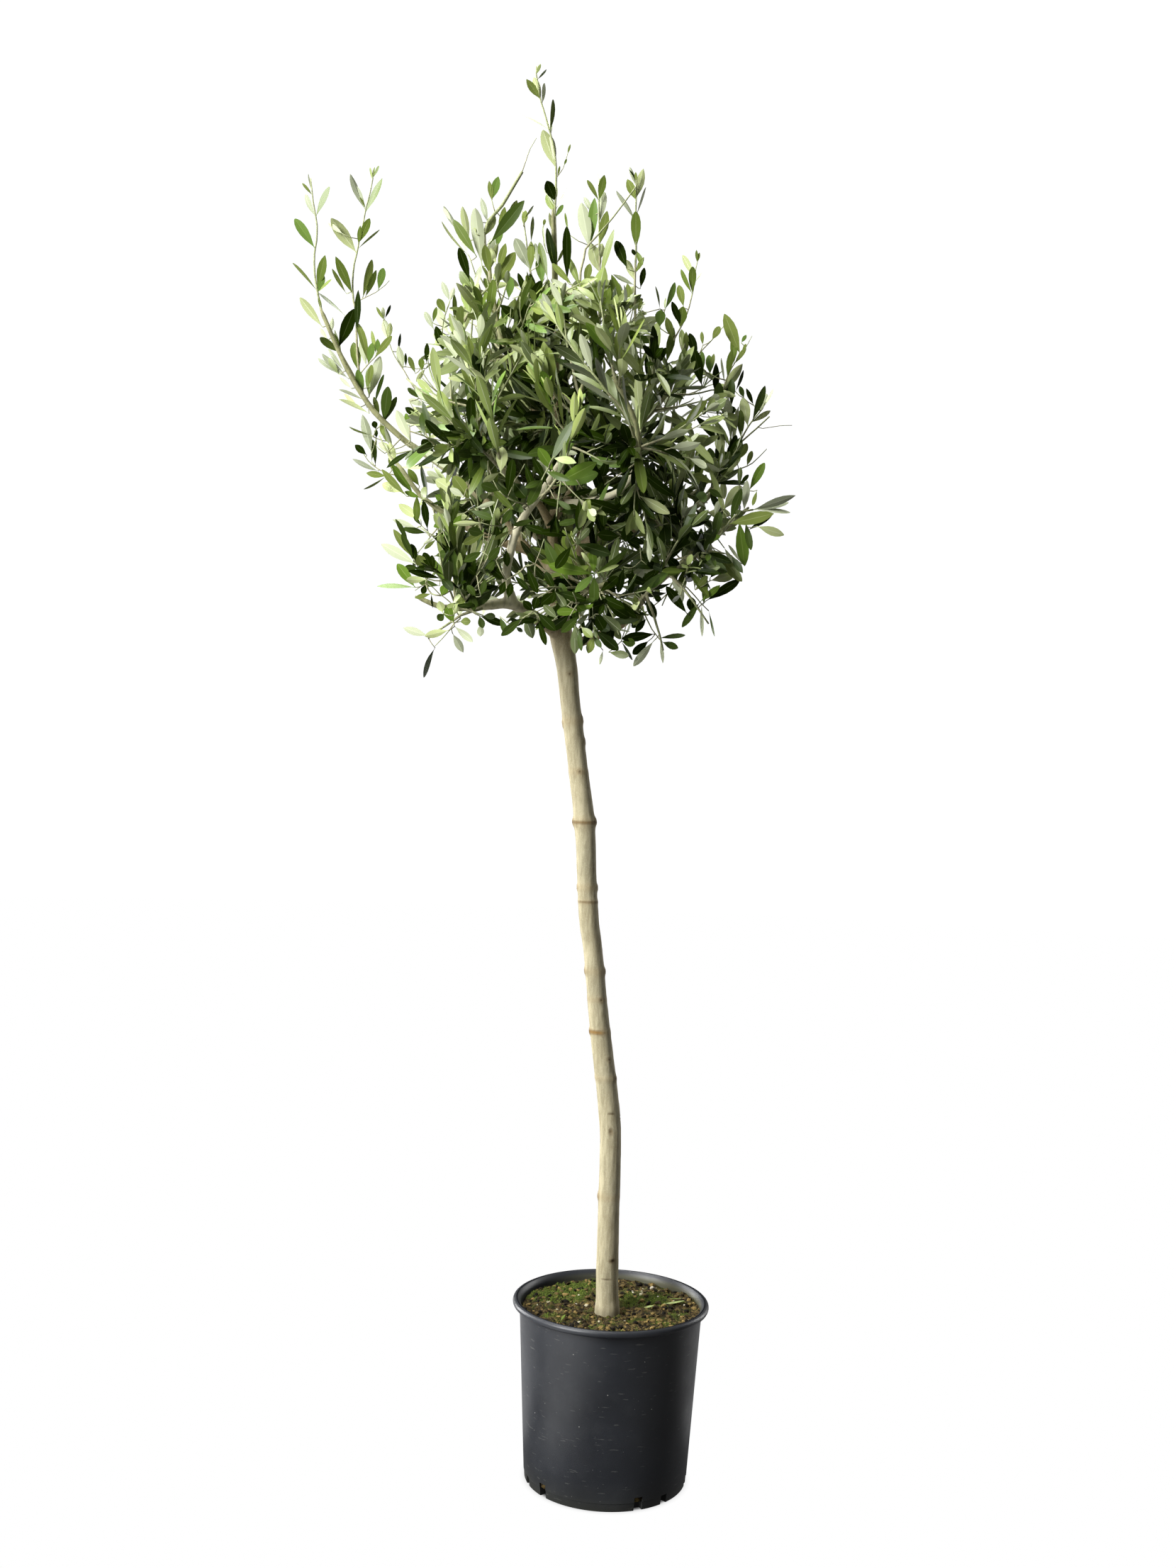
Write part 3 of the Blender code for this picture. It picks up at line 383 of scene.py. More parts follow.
# the outline of the dome of leaves seen from the front, as (x, z), which only long shoots pass
CROWN_OUTLINE = (
    (0.111, 1.327), (0.088, 1.357), (0.066, 1.378), (0.048, 1.403), (0.012, 1.413), (-0.010, 1.440),
    (-0.044, 1.461), (-0.072, 1.467), (-0.098, 1.457), (-0.124, 1.455), (-0.155, 1.457), (-0.183, 1.478),
    (-0.213, 1.464), (-0.228, 1.433), (-0.243, 1.415), (-0.259, 1.388), (-0.267, 1.357), (-0.274, 1.331),
    (-0.287, 1.304), (-0.308, 1.285), (-0.323, 1.267), (-0.314, 1.238), (-0.295, 1.207), (-0.269, 1.190),
    (-0.268, 1.162), (-0.278, 1.142), (-0.279, 1.113), (-0.266, 1.088), (-0.239, 1.078), (-0.228, 1.054),
    (-0.204, 1.050), (-0.170, 1.046), (-0.140, 1.038), (-0.109, 1.039), (-0.090, 1.033), (-0.063, 1.023),
    (-0.029, 1.027), (0.004, 1.042), (0.029, 1.065), (0.053, 1.075), (0.076, 1.089), (0.104, 1.111),
    (0.116, 1.129), (0.123, 1.167), (0.127, 1.206), (0.120, 1.241), (0.122, 1.293),
)
# tips of more shoots at the crown's edge, for each mass
EDGE_SHOOTS = {
    "leaves_low_left": (
        (-0.281, -0.085, 1.036), (-0.245, -0.100, 1.005), (-0.199, -0.110, 1.010), (-0.159, -0.120, 1.027),
        (-0.211, -0.140, 1.047), (-0.262, -0.090, 1.093), (-0.230, -0.130, 1.105), (-0.171, -0.150, 1.088),
    ),
    "leaves_left": (
        (-0.338, -0.010, 1.188), (-0.317, -0.020, 1.138), (-0.299, -0.030, 1.100), (-0.347, 0.000, 1.241),
        (-0.288, -0.070, 1.178),
    ),
    "leaves_low_front": (
        (-0.145, -0.130, 1.010), (-0.111, -0.140, 1.011), (-0.049, -0.140, 0.993), (-0.022, -0.150, 1.017),
        (-0.077, -0.170, 1.034), (0.012, -0.130, 1.032), (-0.042, -0.180, 1.072), (-0.113, -0.180, 1.062),
    ),
    "leaves_low_right": (
        (0.007, -0.090, 0.999), (0.044, -0.080, 1.022), (0.084, -0.080, 1.052), (0.116, -0.090, 1.086),
        (0.142, -0.080, 1.117), (0.048, -0.130, 1.066), (0.078, -0.140, 1.114), (0.125, -0.130, 1.182),
    ),
    "leaves_right": (
        (0.150, 0.000, 1.294), (0.158, 0.010, 1.345), (0.138, -0.030, 1.244), (0.122, 0.000, 1.380),
        (0.172, 0.000, 1.216),
    ),
    "leaves_far_left": (
        (-0.383, 0.010, 1.365), (-0.356, 0.015, 1.314), (-0.338, 0.020, 1.272), (-0.321, 0.030, 1.372),
        (-0.321, 0.020, 1.422),
    ),
    "leaves_upper_left": (
        (-0.240, 0.000, 1.541), (-0.261, -0.020, 1.447), (-0.268, -0.030, 1.392), (-0.205, -0.010, 1.547),
        (-0.171, 0.010, 1.547),
    ),
    "leaves_upper_right": (
        (0.009, 0.020, 1.520), (-0.014, 0.000, 1.549), (-0.041, 0.020, 1.573), (0.033, 0.020, 1.470),
    ),
}
# where the limbs show between the leaves, from the front: x, z and radius in millimetres
OPEN_FRONT = (
    (-150, 1147, 9), (-151, 1131, 9), (-151, 1115, 9), (-153, 1100, 8), (-143, 1083, 10), (-135, 1070, 9),
    (-131, 1178, 8), (-119, 1197, 8), (-108, 1215, 8), (-171, 1056, 7),
)
OPEN_DEPTH = -0.060  # twigs and leaves nearer to the front than this would hide them
FRONT_MASSES = ("leaves_low_front", "leaves_front")  # their leaves set one by one lie inside the outline
OWN_DEPTH = -0.130  # other leaves nearer to the front than this would hide those
# where the sky shows between the leaves, from the front: x, z and radius in millimetres
SKY_GAPS = (
    (-302, 1309, 15), (-309, 1343, 16), (93, 1385, 16), (33, 1062, 14), (-160, 1446, 7), (117, 1150, 11),
    (-269, 1139, 10), (25, 1392, 5), (28, 1416, 5), (-251, 1128, 8), (-276, 1262, 6), (-279, 1271, 5),
    (-174, 1435, 5), (-180, 1444, 5), (101, 1143, 5), (38, 1439, 5), (-213, 1403, 5), (-286, 1334, 3),
    (42, 1098, 6), (-233, 1073, 5), (-225, 1073, 4), (93, 1214, 5), (38, 1378, 4), (-65, 1080, 5),
    (116, 1318, 4), (12, 1042, 5), (-322, 1262, 5), (-24, 1088, 5), (-115, 1057, 6), (61, 1326, 5),
    (-299, 1254, 4), (-116, 1082, 5), (62, 1094, 5), (-165, 1410, 4), (-255, 1162, 4), (77, 1305, 4),
    (-115, 1113, 4), (-368, 1335, 4), (126, 1248, 4), (-20, 1424, 4), (50, 1125, 4), (-130, 1142, 4),
)
INNER_AIMS = 150  # more shoots, inside the crown
INNER_REACH = (0.30, 0.84)  # how far out they reach, as a share of the way to its edge

# along the leaf, and half its width there as a share of the widest, for a pointed leaf and a blunt one
LEAF_OUTLINE = (
    (0.00, 0.10, 0.09), (0.08, 0.08, 0.08), (0.20, 0.38, 0.34), (0.36, 0.78, 0.72), (0.55, 1.00, 0.97),
    (0.73, 0.88, 1.00), (0.87, 0.54, 0.80), (0.96, 0.20, 0.44), (1.00, 0.03, 0.12),
)
LEAF_COLUMNS = (-1.0, -0.055, 0.055, 1.0)
LEAF_THICKNESS = 0.00055
# name: (upper side, underside, how it shines), one of them dealt to a whole spray
LEAF_TINTS = {
    # painted shade: deep is a darker copy of the leaf colours, with a dark underside and little shine, and green's
    # underside is darkened, for sprays in the crown's shadow
    "deep": ((0.012, 0.024, 0.001), (0.11, 0.145, 0.046), 0.04),
    "green": ((0.049, 0.083, 0.010), (0.16, 0.20, 0.080), 0.26),
    "mid": ((0.118, 0.170, 0.024), (0.33, 0.37, 0.165), 0.32),
    "olive": ((0.185, 0.236, 0.050), (0.49, 0.55, 0.250), 0.34),
    "bright": ((0.130, 0.222, 0.022), (0.44, 0.53, 0.160), 0.34),
    "fresh": ((0.135, 0.225, 0.040), (0.28, 0.36, 0.100), 0.34),
    "young": ((0.285, 0.345, 0.120), (0.46, 0.50, 0.325), 0.28),
    "silver": ((0.200, 0.245, 0.090), (0.285, 0.315, 0.205), 0.26),
}
TINT_NAMES = tuple(LEAF_TINTS)
TINT_LETTERS = "DGMOBFYS"
# shares of the tints in that order, from the foot of the crown to its top
# painted light and shade, partly the leaves' own colour: the dark tints low in the crown, the pale ones at its top
# where the light falls
TINT_SHARES = (
    (0.77, 0.09, 0.03, 0.03, 0.04, 0.01, 0.03, 0.00),
    (0.51, 0.14, 0.10, 0.10, 0.04, 0.03, 0.08, 0.00),
    (0.12, 0.06, 0.09, 0.26, 0.03, 0.07, 0.31, 0.06),
    (0.02, 0.01, 0.03, 0.21, 0.02, 0.09, 0.52, 0.10),
)
TINTS_FROM = 1.04  # the height of the first row
TINTS_RISE = 0.42  # from there to the last
SHADED_BY = 0.17  # a spray deep in the crown takes the tints of a place so much lower
MATERIALS_A_TINT = 4
LEAF_KEEPS_TINT = 0.72  # how many leaves have their twig's tint
TWIG_KEEPS_TINT = 0.60  # how many side twigs have their shoot's
MISSING_LEAVES = {False: 0.07, True: 0.16}  # for a short twig and a long shoot
TIP_PAIRS = ((0.009, 0.66), (0.0, 0.42))  # the last two pairs: how far back, how large
# a stem, its twigs and their tips: name, colour, roughness, how fine its spots are
TWIG_FINISHES = (
    ("twig_bark", (0.238, 0.238, 0.118), 0.75, 160.0), ("twig_grey", (0.330, 0.320, 0.190), 0.70, 240.0),
    ("twig_green", (0.300, 0.325, 0.165), 0.65, 240.0),
)

# shoots that stand out, for each mass: how far apart their leaves are, and the points each runs through
OWN_SHOOTS = {
    "leaves_front_left": (
        ("near", ((-0.161, -0.165, 1.201), (-0.167, -0.175, 1.227), (-0.175, -0.185, 1.265),
                  (-0.193, -0.190, 1.299), (-0.207, -0.190, 1.323))),
        ("near", ((-0.166, -0.165, 1.201), (-0.200, -0.160, 1.235), (-0.237, -0.150, 1.270),
                  (-0.273, -0.140, 1.300))),
    ),
    "leaves_front": (
        ("near", ((-0.139, -0.140, 1.155), (-0.105, -0.170, 1.175), (-0.090, -0.190, 1.199),
                  (-0.082, -0.200, 1.228), (-0.076, -0.205, 1.256))),
    ),
    "leaves_front_right": (
        ("near", ((-0.003, -0.140, 1.216), (-0.014, -0.170, 1.240), (-0.026, -0.185, 1.261),
                  (-0.054, -0.195, 1.290), (-0.087, -0.190, 1.330), (-0.111, -0.180, 1.368))),
    ),
    "leaves_low_right": (
        ("near", ((0.019, -0.100, 1.080), (0.041, -0.130, 1.126), (0.061, -0.140, 1.147))),
        ("near", ((0.036, -0.110, 1.092), (0.061, -0.115, 1.064), (0.082, -0.115, 1.036))),
        ("near", ((0.009, -0.110, 1.068), (0.026, -0.115, 1.022), (0.031, -0.110, 1.004))),
    ),
    "leaves_low_left": (
        ("near", ((-0.182, -0.076, 1.049), (-0.207, -0.080, 1.039), (-0.227, -0.080, 1.025),
                  (-0.244, -0.080, 1.011))),
    ),
}
# twigs at the crown's edge, for each mass: how far back, radius at foot and tip, and the points (x, z) in
# millimetres that each passes, as they show from the front
OWN_TWIGS = {
    "leaves_top": (
        (0.000, 0.0023, 0.0008, ((-109, 1398), (-110, 1424), (-111, 1459), (-114, 1511), (-116, 1545),
         (-116, 1589), (-118, 1613), (-122, 1632), (-128, 1651), (-133, 1667), (-138, 1681), (-142, 1701),
         (-145, 1714), (-145, 1724))),
        (0.000, 0.0006, 0.0004, ((-116, 1588), (-113, 1592), (-108, 1600), (-104, 1614), (-101, 1628))),
        (0.000, 0.0006, 0.0004, ((-114, 1492), (-124, 1496), (-128, 1506), (-130, 1523), (-129, 1533))),
    ),
    "leaves_far_left": (
        (0.022, 0.0024, 0.0008, ((-336, 1299), (-345, 1315), (-357, 1338), (-373, 1364), (-384, 1384),
         (-394, 1405), (-400, 1422), (-403, 1435), (-408, 1461), (-409, 1485), (-407, 1500), (-407, 1519),
         (-409, 1530), (-413, 1549), (-415, 1563), (-417, 1577))),
        (0.022, 0.0019, 0.0007, ((-342, 1309), (-348, 1333), (-352, 1363), (-354, 1389), (-355, 1415),
         (-359, 1428), (-361, 1450), (-360, 1472), (-357, 1487), (-354, 1507), (-350, 1527), (-348, 1542),
         (-344, 1559), (-341, 1577), (-340, 1588))),
        (0.022, 0.0007, 0.0004, ((-358, 1426), (-345, 1433), (-332, 1440), (-321, 1449), (-316, 1455))),
        (0.022, 0.0009, 0.0005, ((-348, 1339), (-338, 1352), (-325, 1366), (-315, 1381))),
        (0.015, 0.0010, 0.0005, ((-256, 1309), (-276, 1318), (-294, 1345), (-306, 1362), (-314, 1380),
         (-322, 1406))),
        (0.015, 0.0009, 0.0005, ((-295, 1262), (-314, 1243), (-327, 1254), (-330, 1242))),
        (0.015, 0.0009, 0.0005, ((-289, 1216), (-309, 1218), (-321, 1223), (-334, 1233), (-343, 1246))),
    ),
    "leaves_upper_left": (
        (-0.025, 0.0026, 0.0020, ((-192, 1454), (-195, 1482), (-201, 1503), (-202, 1516), (-198, 1530),
         (-190, 1541), (-181, 1552), (-170, 1572), (-158, 1594))),
        (-0.025, 0.0007, 0.0004, ((-158, 1594), (-154, 1607), (-149, 1623), (-142, 1636))),
        (-0.025, 0.0008, 0.0006, ((-189, 1542), (-192, 1551), (-194, 1558))),
        (-0.030, 0.0022, 0.0012, ((-224, 1406), (-214, 1425), (-202, 1442), (-189, 1456), (-184, 1466),
         (-183, 1482))),
        (-0.015, 0.0014, 0.0007, ((-134, 1449), (-140, 1462), (-144, 1473), (-148, 1499), (-153, 1529),
         (-156, 1546))),
        (-0.025, 0.0010, 0.0006, ((-202, 1442), (-210, 1464), (-217, 1483), (-220, 1490))),
    ),
    "leaves_upper_right": (
        (-0.010, 0.0017, 0.0008, ((-57, 1408), (-58, 1461), (-60, 1504), (-62, 1547), (-63, 1573), (-62, 1589))),
        (-0.010, 0.0019, 0.0008, ((-12, 1401), (-15, 1462), (-15, 1506), (-17, 1549), (-17, 1571), (-18, 1591))),
        (-0.020, 0.0017, 0.0008, ((-82, 1438), (-82, 1473), (-79, 1488), (-77, 1502), (-65, 1517), (-47, 1539),
         (-32, 1560), (-17, 1582))),
    ),
    "leaves_right_rise": (
        (-0.010, 0.0012, 0.0006, ((35, 1394), (49, 1423), (55, 1447), (58, 1465), (59, 1482), (61, 1493))),
        (0.000, 0.0010, 0.0005, ((62, 1373), (71, 1384), (81, 1395), (91, 1408), (98, 1416))),
    ),
    "leaves_right": (
        (0.000, 0.0011, 0.0004, ((96, 1330), (103, 1353), (111, 1369), (122, 1385), (131, 1403))),
        (0.000, 0.0014, 0.0007, ((118, 1267), (130, 1291), (139, 1304), (147, 1314), (150, 1324))),
        (0.000, 0.0014, 0.0009, ((109, 1258), (124, 1274), (141, 1290), (156, 1305))),
        (0.000, 0.0005, 0.0004, ((143, 1291), (148, 1290), (169, 1294), (184, 1295))),
        (0.000, 0.0016, 0.0005, ((63, 1206), (84, 1222), (103, 1232), (123, 1240), (137, 1247), (154, 1265))),
    ),
    "leaves_low_right": (
        (-0.105, 0.0028, 0.0012, ((-9, 1051), (5, 1071), (15, 1085), (28, 1096), (41, 1109), (53, 1118),
         (70, 1130), (87, 1146), (102, 1159), (112, 1175), (125, 1187), (140, 1190))),
        (-0.105, 0.0010, 0.0006, ((36, 1106), (50, 1100), (63, 1091), (72, 1082), (81, 1072), (90, 1064))),
        (-0.105, 0.0011, 0.0006, ((6, 1070), (14, 1052), (21, 1039), (30, 1028), (34, 1024))),
    ),
    "leaves_low_left": (
        (-0.060, 0.0009, 0.0005, ((-214, 1044), (-222, 1037), (-227, 1029), (-235, 1019), (-244, 1009))),
        (-0.060, 0.0014, 0.0007, ((-208, 1116), (-226, 1130), (-243, 1141), (-257, 1147), (-270, 1155))),
        (-0.060, 0.0012, 0.0006, ((-215, 1088), (-237, 1089), (-256, 1091), (-263, 1105), (-270, 1112))),
        (-0.060, 0.0009, 0.0005, ((-214, 1044), (-227, 1063), (-241, 1073), (-256, 1085), (-271, 1076))),
    ),
    "leaves_left": (
        (0.010, 0.0014, 0.0008, ((-212, 1233), (-223, 1268), (-234, 1306), (-238, 1345), (-248, 1375),
         (-248, 1406), (-241, 1432))),
        (0.010, 0.0009, 0.0006, ((-234, 1306), (-257, 1325), (-270, 1342), (-277, 1355))),
        (0.010, 0.0010, 0.0006, ((-254, 1245), (-265, 1270), (-277, 1292), (-286, 1308))),
    ),
}
# leaves set one by one, for each mass: how far back, then for each tint, with its upper side (+) or its
# underside (-) to the front, root x and z, the run to the tip and the width, all in millimetres
OWN_LEAVES = {
    "leaves_far_left": (0.022, {
        "D+": ((-372, 1371, 14, 48, 17), (-353, 1389, 1, 53, 9), (-320, 1408, 7, 17, 4), (-329, 1302, 9, 38, 5),
         (-302, 1369, 1, 22, 4), (-292, 1350, -1, 17, 4), (-336, 1240, -15, 12, 9), (-326, 1272, -3, 10, 8),
         (-325, 1261, -1, 11, 5)),
        "F+": ((-409, 1490, -26, 37, 13), (-402, 1437, 6, 22, 8), (-331, 1446, 7, 24, 10), (-340, 1353, 6, 25, 10),
         (-330, 1366, 2, 17, 7), (-340, 1314, -11, 30, 11)),
        "G+": ((-317, 1280, 4, 45, 14), (-315, 1280, 12, 33, 8), (-325, 1227, -3, 33, 7)),
        "M+": ((-409, 1530, 14, 38, 8), (-403, 1441, 7, 42, 12), (-369, 1410, -30, 32, 3), (-374, 1363, -26, 20, 10),
         (-371, 1367, -11, 21, 7), (-341, 1578, 1, 16, 3), (-340, 1579, 7, 16, 3), (-349, 1537, 21, 42, 9),
         (-355, 1500, 12, 30, 10), (-357, 1497, 3, 24, 6), (-365, 1435, -18, 47, 12), (-350, 1341, -8, 40, 14),
         (-344, 1435, 12, 32, 8), (-337, 1314, -1, 32, 8)),
        "M-": ((-396, 1395, -28, 34, 11), (-357, 1487, -31, 39, 17), (-315, 1383, 2, 19, 8),
         (-268, 1349, -11, -17, 6)),
        "O+": ((-415, 1556, -12, 15, 4), (-405, 1438, -30, 35, 4), (-400, 1438, 12, 17, 3), (-351, 1543, -5, 14, 3),
         (-357, 1493, 24, 27, 3), (-349, 1435, 11, 45, 10), (-341, 1356, -9, 49, 10), (-329, 1364, -7, 29, 5),
         (-332, 1359, 22, 29, 9), (-325, 1407, -6, 15, 4), (-332, 1265, -28, 6, 3), (-311, 1258, -9, 20, 9),
         (-397, 1414, -5, 17, 4), (-337, 1324, 3, 27, 8), (-322, 1286, -8, 26, 7), (-320, 1279, 10, -22, 8),
         (-305, 1222, -1, 21, 9), (-368, 1437, -21, 28, 5)),
        "O-": ((-335, 1291, -34, 20, 6), (-349, 1298, -17, 16, 6)),
        "S+": ((-374, 1338, -14, 21, 8),),
        "S-": ((-410, 1530, -19, 29, 8), (-367, 1342, -23, 26, 6), (-362, 1333, -33, 24, 9), (-350, 1541, -21, 39, 8),
         (-350, 1540, -13, 31, 8), (-330, 1242, -13, 47, 13), (-321, 1221, -35, 11, 7), (-374, 1333, -26, 24, 6)),
        "Y+": ((-341, 1578, -3, 15, 3),),
        "Y-": ((-416, 1559, -3, 24, 3), (-386, 1388, 2, 20, 6), (-370, 1362, -7, 32, 5), (-375, 1510, -19, 13, 6),
         (-341, 1350, -8, 34, 10), (-315, 1381, -6, 28, 11), (-324, 1407, 1, 15, 5), (-336, 1311, 12, 50, 15),
         (-343, 1304, -29, 17, 4), (-295, 1346, -7, 28, 10), (-330, 1232, 2, 26, 5), (-358, 1321, -14, 13, 5),
         (-389, 1379, -10, 15, 5), (-315, 1279, 9, -26, 6), (-308, 1243, -13, 13, 8)),
    }),
    "leaves_left": (0.010, {
        "B+": ((-277, 1194, -28, 36, 13), (-269, 1190, -19, 7, 7), (-285, 1277, -5, 16, 7), (-226, 1178, -24, 16, 12),
         (-210, 1210, 1, 45, 8), (-220, 1169, -31, -14, 11)),
        "D+": ((-276, 1290, -15, 10, 9), (-250, 1243, -19, 19, 13), (-258, 1150, -7, 39, 10), (-267, 1355, 0, 25, 7),
         (-248, 1369, -9, 32, 11)),
        "F+": ((-245, 1370, -5, 18, 8),),
        "G+": ((-266, 1156, -10, 11, 5), (-259, 1147, -30, 5, 9), (-274, 1312, -15, 12, 7), (-241, 1083, -26, 4, 9)),
        "M+": ((-276, 1345, 2, 16, 8), (-261, 1405, 4, 20, 6), (-273, 1195, 1, -34, 10), (-270, 1204, -15, 21, 10)),
        "O+": ((-311, 1215, -25, 3, 9), (-313, 1212, -24, -16, 3), (-205, 1212, 0, 30, 5), (-280, 1342, -9, 21, 7),
         (-242, 1417, -14, 18, 10), (-285, 1191, -33, 31, 9)),
        "O-": ((-290, 1196, -28, 10, 12), (-302, 1226, -6, 30, 12), (-304, 1248, -17, 7, 8), (-266, 1277, -14, 24, 9),
         (-243, 1282, -38, 18, 11), (-255, 1227, -38, 3, 7), (-216, 1192, -35, 21, 17), (-267, 1163, -26, 17, 12)),
        "S-": ((-259, 1396, -13, 24, 8), (-242, 1432, -10, 25, 8)),
        "Y+": ((-220, 1172, -33, -3, 6),),
        "Y-": ((-283, 1258, -18, 37, 14), (-264, 1264, -19, 28, 7), (-218, 1218, -49, 31, 11),
         (-272, 1153, -29, 9, 8), (-256, 1354, -13, 19, 7), (-241, 1391, -16, 31, 12), (-241, 1433, 5, 19, 7),
         (-233, 1350, -14, 19, 11), (-266, 1303, -21, 7, 8)),
    }),
    "leaves_low_left": (-0.095, {
        "B+": ((-271, 1080, -23, 28, 13), (-271, 1075, -47, 7, 6), (-239, 1071, 6, 13, 11),
         (-222, 1039, -10, 18, 13)),
        "D+": ((-267, 1110, -11, 23, 10), (-252, 1104, -10, 19, 10), (-217, 1143, -33, 0, 10),
         (-258, 1084, -4, -12, 8), (-210, 1083, 11, -12, 12), (-191, 1048, 32, -10, 10)),
        "G+": ((-277, 1120, -13, 25, 8), (-281, 1132, -14, 33, 6), (-249, 1119, 24, 7, 11), (-267, 1104, -18, 0, 8),
         (-251, 1073, 1, -18, 3), (-234, 1049, -8, -8, 10), (-244, 1007, -19, -37, 7), (-191, 1048, 5, -15, 9),
         (-198, 1050, -3, 21, 12)),
        "O+": ((-274, 1115, -26, 35, 10), (-259, 1101, -10, 19, 13), (-247, 1140, -15, -13, 5),
         (-253, 1076, -18, -9, 6), (-214, 1079, 0, -22, 11), (-215, 1040, 14, 1, 10)),
        "O-": ((-257, 1090, -24, -1, 9), (-236, 1050, -5, 14, 11), (-223, 1047, 6, 15, 8), (-228, 1029, -28, -8, 10)),
        "Y-": ((-270, 1108, -45, 24, 13), (-249, 1142, -14, -9, 4), (-258, 1091, -16, 9, 6), (-253, 1021, -31, 9, 10),
         (-223, 1025, 14, -23, 10), (-221, 1034, 24, -19, 9), (-189, 1038, 0, -15, 9)),
    }),
    "leaves_low_front": (-0.150, {
        "B+": ((-69, 1058, -27, -2, 10), (-68, 1058, 17, 9, 5), (-57, 1106, -50, 7, 14), (-54, 1106, -2, 28, 10),
         (-52, 1104, 45, 27, 8)),
        "D+": ((-146, 1036, 9, -6, 5), (-121, 1055, 24, -22, 12), (-122, 1045, 14, -31, 8), (-58, 1052, 29, -17, 13),
         (-49, 1036, 30, -24, 13), (-62, 1047, -5, -17, 8), (-125, 1056, -13, 12, 10), (-125, 1056, 4, 18, 10),
         (-160, 1093, -19, 14, 12), (-136, 1111, 15, -32, 10), (-99, 1081, -13, 24, 9), (-81, 1138, -18, -28, 12),
         (-45, 1082, 22, 20, 12), (-75, 1141, 43, -12, 14), (-22, 1151, -28, 2, 14), (-100, 1081, -16, -16, 12),
         (-100, 1081, -3, -15, 7), (-95, 1078, 34, -6, 11), (-157, 1090, -9, -14, 9), (-157, 1070, 4, 20, 9),
         (-49, 1055, 12, -20, 14), (-44, 1077, 30, -13, 11), (-32, 1070, 25, -18, 13), (-125, 1114, -9, 13, 8),
         (-161, 1131, 2, -22, 9), (-144, 1162, 33, -10, 10), (-196, 1097, -11, 10, 8), (-150, 1099, 18, -17, 8)),
        "F+": ((-55, 1104, -20, -23, 10),),
        "G+": ((-138, 1047, -26, -23, 10), (-68, 1053, -23, -23, 11), (-69, 1036, 4, -26, 6), (-50, 1028, 10, -14, 7),
         (-166, 1048, 10, -23, 8), (-84, 1072, -10, 20, 10), (-186, 1151, -23, 2, 12), (-190, 1127, -22, -13, 10),
         (-190, 1072, 5, 22, 8), (-196, 1071, -11, 14, 9), (-115, 1145, 15, -31, 13), (-54, 1100, 3, -34, 13),
         (-84, 1065, -11, -13, 9), (-67, 1069, 18, 5, 7), (-167, 1135, -15, -18, 10), (-173, 1117, -12, -16, 9)),
        "G-": ((-135, 1049, 11, -28, 13), (-95, 1048, -17, 15, 10), (-73, 1038, 1, -33, 11), (-42, 1056, 24, -20, 13),
         (-48, 1108, 2, 19, 7), (-76, 1141, 16, 19, 9), (-81, 1149, 9, 14, 6), (-95, 1078, 9, -16, 10),
         (-74, 1042, 7, -21, 10)),
        "O+": ((-50, 1028, -6, -21, 10), (-66, 1039, 15, -13, 10), (-189, 1149, -26, -14, 10),
         (-157, 1154, -19, -13, 5)),
        "Y+": ((-52, 1103, 30, 13, 5),),
        "Y-": ((-38, 1011, -4, -18, 4),),
    }),
    "leaves_low_right": (-0.105, {
        "B+": ((-18, 1020, 19, 1, 11), (84, 1078, 19, 18, 8), (83, 1151, 18, 5, 8), (123, 1177, 9, -56, 16),
         (134, 1213, 18, 35, 11)),
        "D+": ((25, 1032, -40, -6, 12), (18, 1025, -19, -17, 10), (14, 1053, -13, -18, 8), (-16, 1023, 16, -22, 4),
         (13, 1078, 12, -25, 11), (22, 1079, 9, -4, 8), (64, 1059, -28, 34, 12), (69, 1060, -1, 20, 12),
         (86, 1076, 40, 27, 12), (66, 1118, 39, 8, 10), (90, 1104, 12, 17, 9), (74, 1128, 3, 37, 9),
         (123, 1218, 10, 15, 5), (5, 1123, 36, -14, 10), (18, 1093, -32, 12, 10), (34, 1130, 18, -16, 13),
         (3, 1141, 9, -19, 6), (13, 1165, 7, -31, 16), (31, 1168, 4, -28, 16), (-13, 1170, -2, -25, 13),
         (-5, 1114, -2, -33, 9), (-16, 1114, -6, -32, 10), (59, 1169, 15, -21, 10), (-11, 1060, -14, 12, 10),
         (-24, 1081, -12, 13, 10), (52, 1167, -14, 12, 10), (20, 1202, -17, -11, 10), (4, 1171, 17, -10, 10),
         (-30, 1201, 11, -19, 12), (-6, 1188, -8, -20, 11), (46, 1203, 7, -30, 12), (33, 1211, -8, -24, 10),
         (134, 1164, 28, 21, 6)),
        "G+": ((32, 1030, 30, 7, 6), (34, 1024, 20, -7, 9), (79, 1074, -21, -31, 9), (89, 1063, 9, -30, 3),
         (84, 1071, 1, 34, 8), (90, 1155, 9, 31, 12), (113, 1174, 12, 42, 11), (102, 1203, -17, 10, 8),
         (48, 1095, -3, 16, 7), (27, 1116, -5, 15, 7), (115, 1133, 15, -21, 9), (131, 1175, 8, -34, 9)),
        "G-": ((56, 1129, 13, 27, 11), (8, 1061, -6, -20, 7)),
        "O+": ((-31, 1009, 27, -4, 10), (93, 1140, 36, -38, 13), (76, 1089, 11, 18, 8), (113, 1169, 52, 17, 15),
         (144, 1214, -5, -19, 5), (7, 1064, -9, -21, 8), (-2, 1081, 5, -20, 8)),
        "O-": ((90, 1101, 33, 9, 12), (145, 1170, 35, -10, 11), (103, 1188, 22, 33, 15)),
        "S-": ((140, 1190, 52, 19, 10), (138, 1189, 45, 12, 8)),
        "Y+": ((109, 1169, -13, 78, 7),),
        "Y-": ((31, 1025, 6, -27, 5), (24, 1025, -24, -32, 10), (79, 1071, 1, -39, 5), (129, 1123, -19, 22, 4),
         (126, 1177, 35, 9, 8), (140, 1189, 47, 4, 6), (129, 1187, 2, 38, 10), (93, 1182, 6, 19, 8),
         (45, 1106, 10, -20, 9), (50, 1094, 7, -21, 8)),
    }),
    "leaves_right": (0.000, {
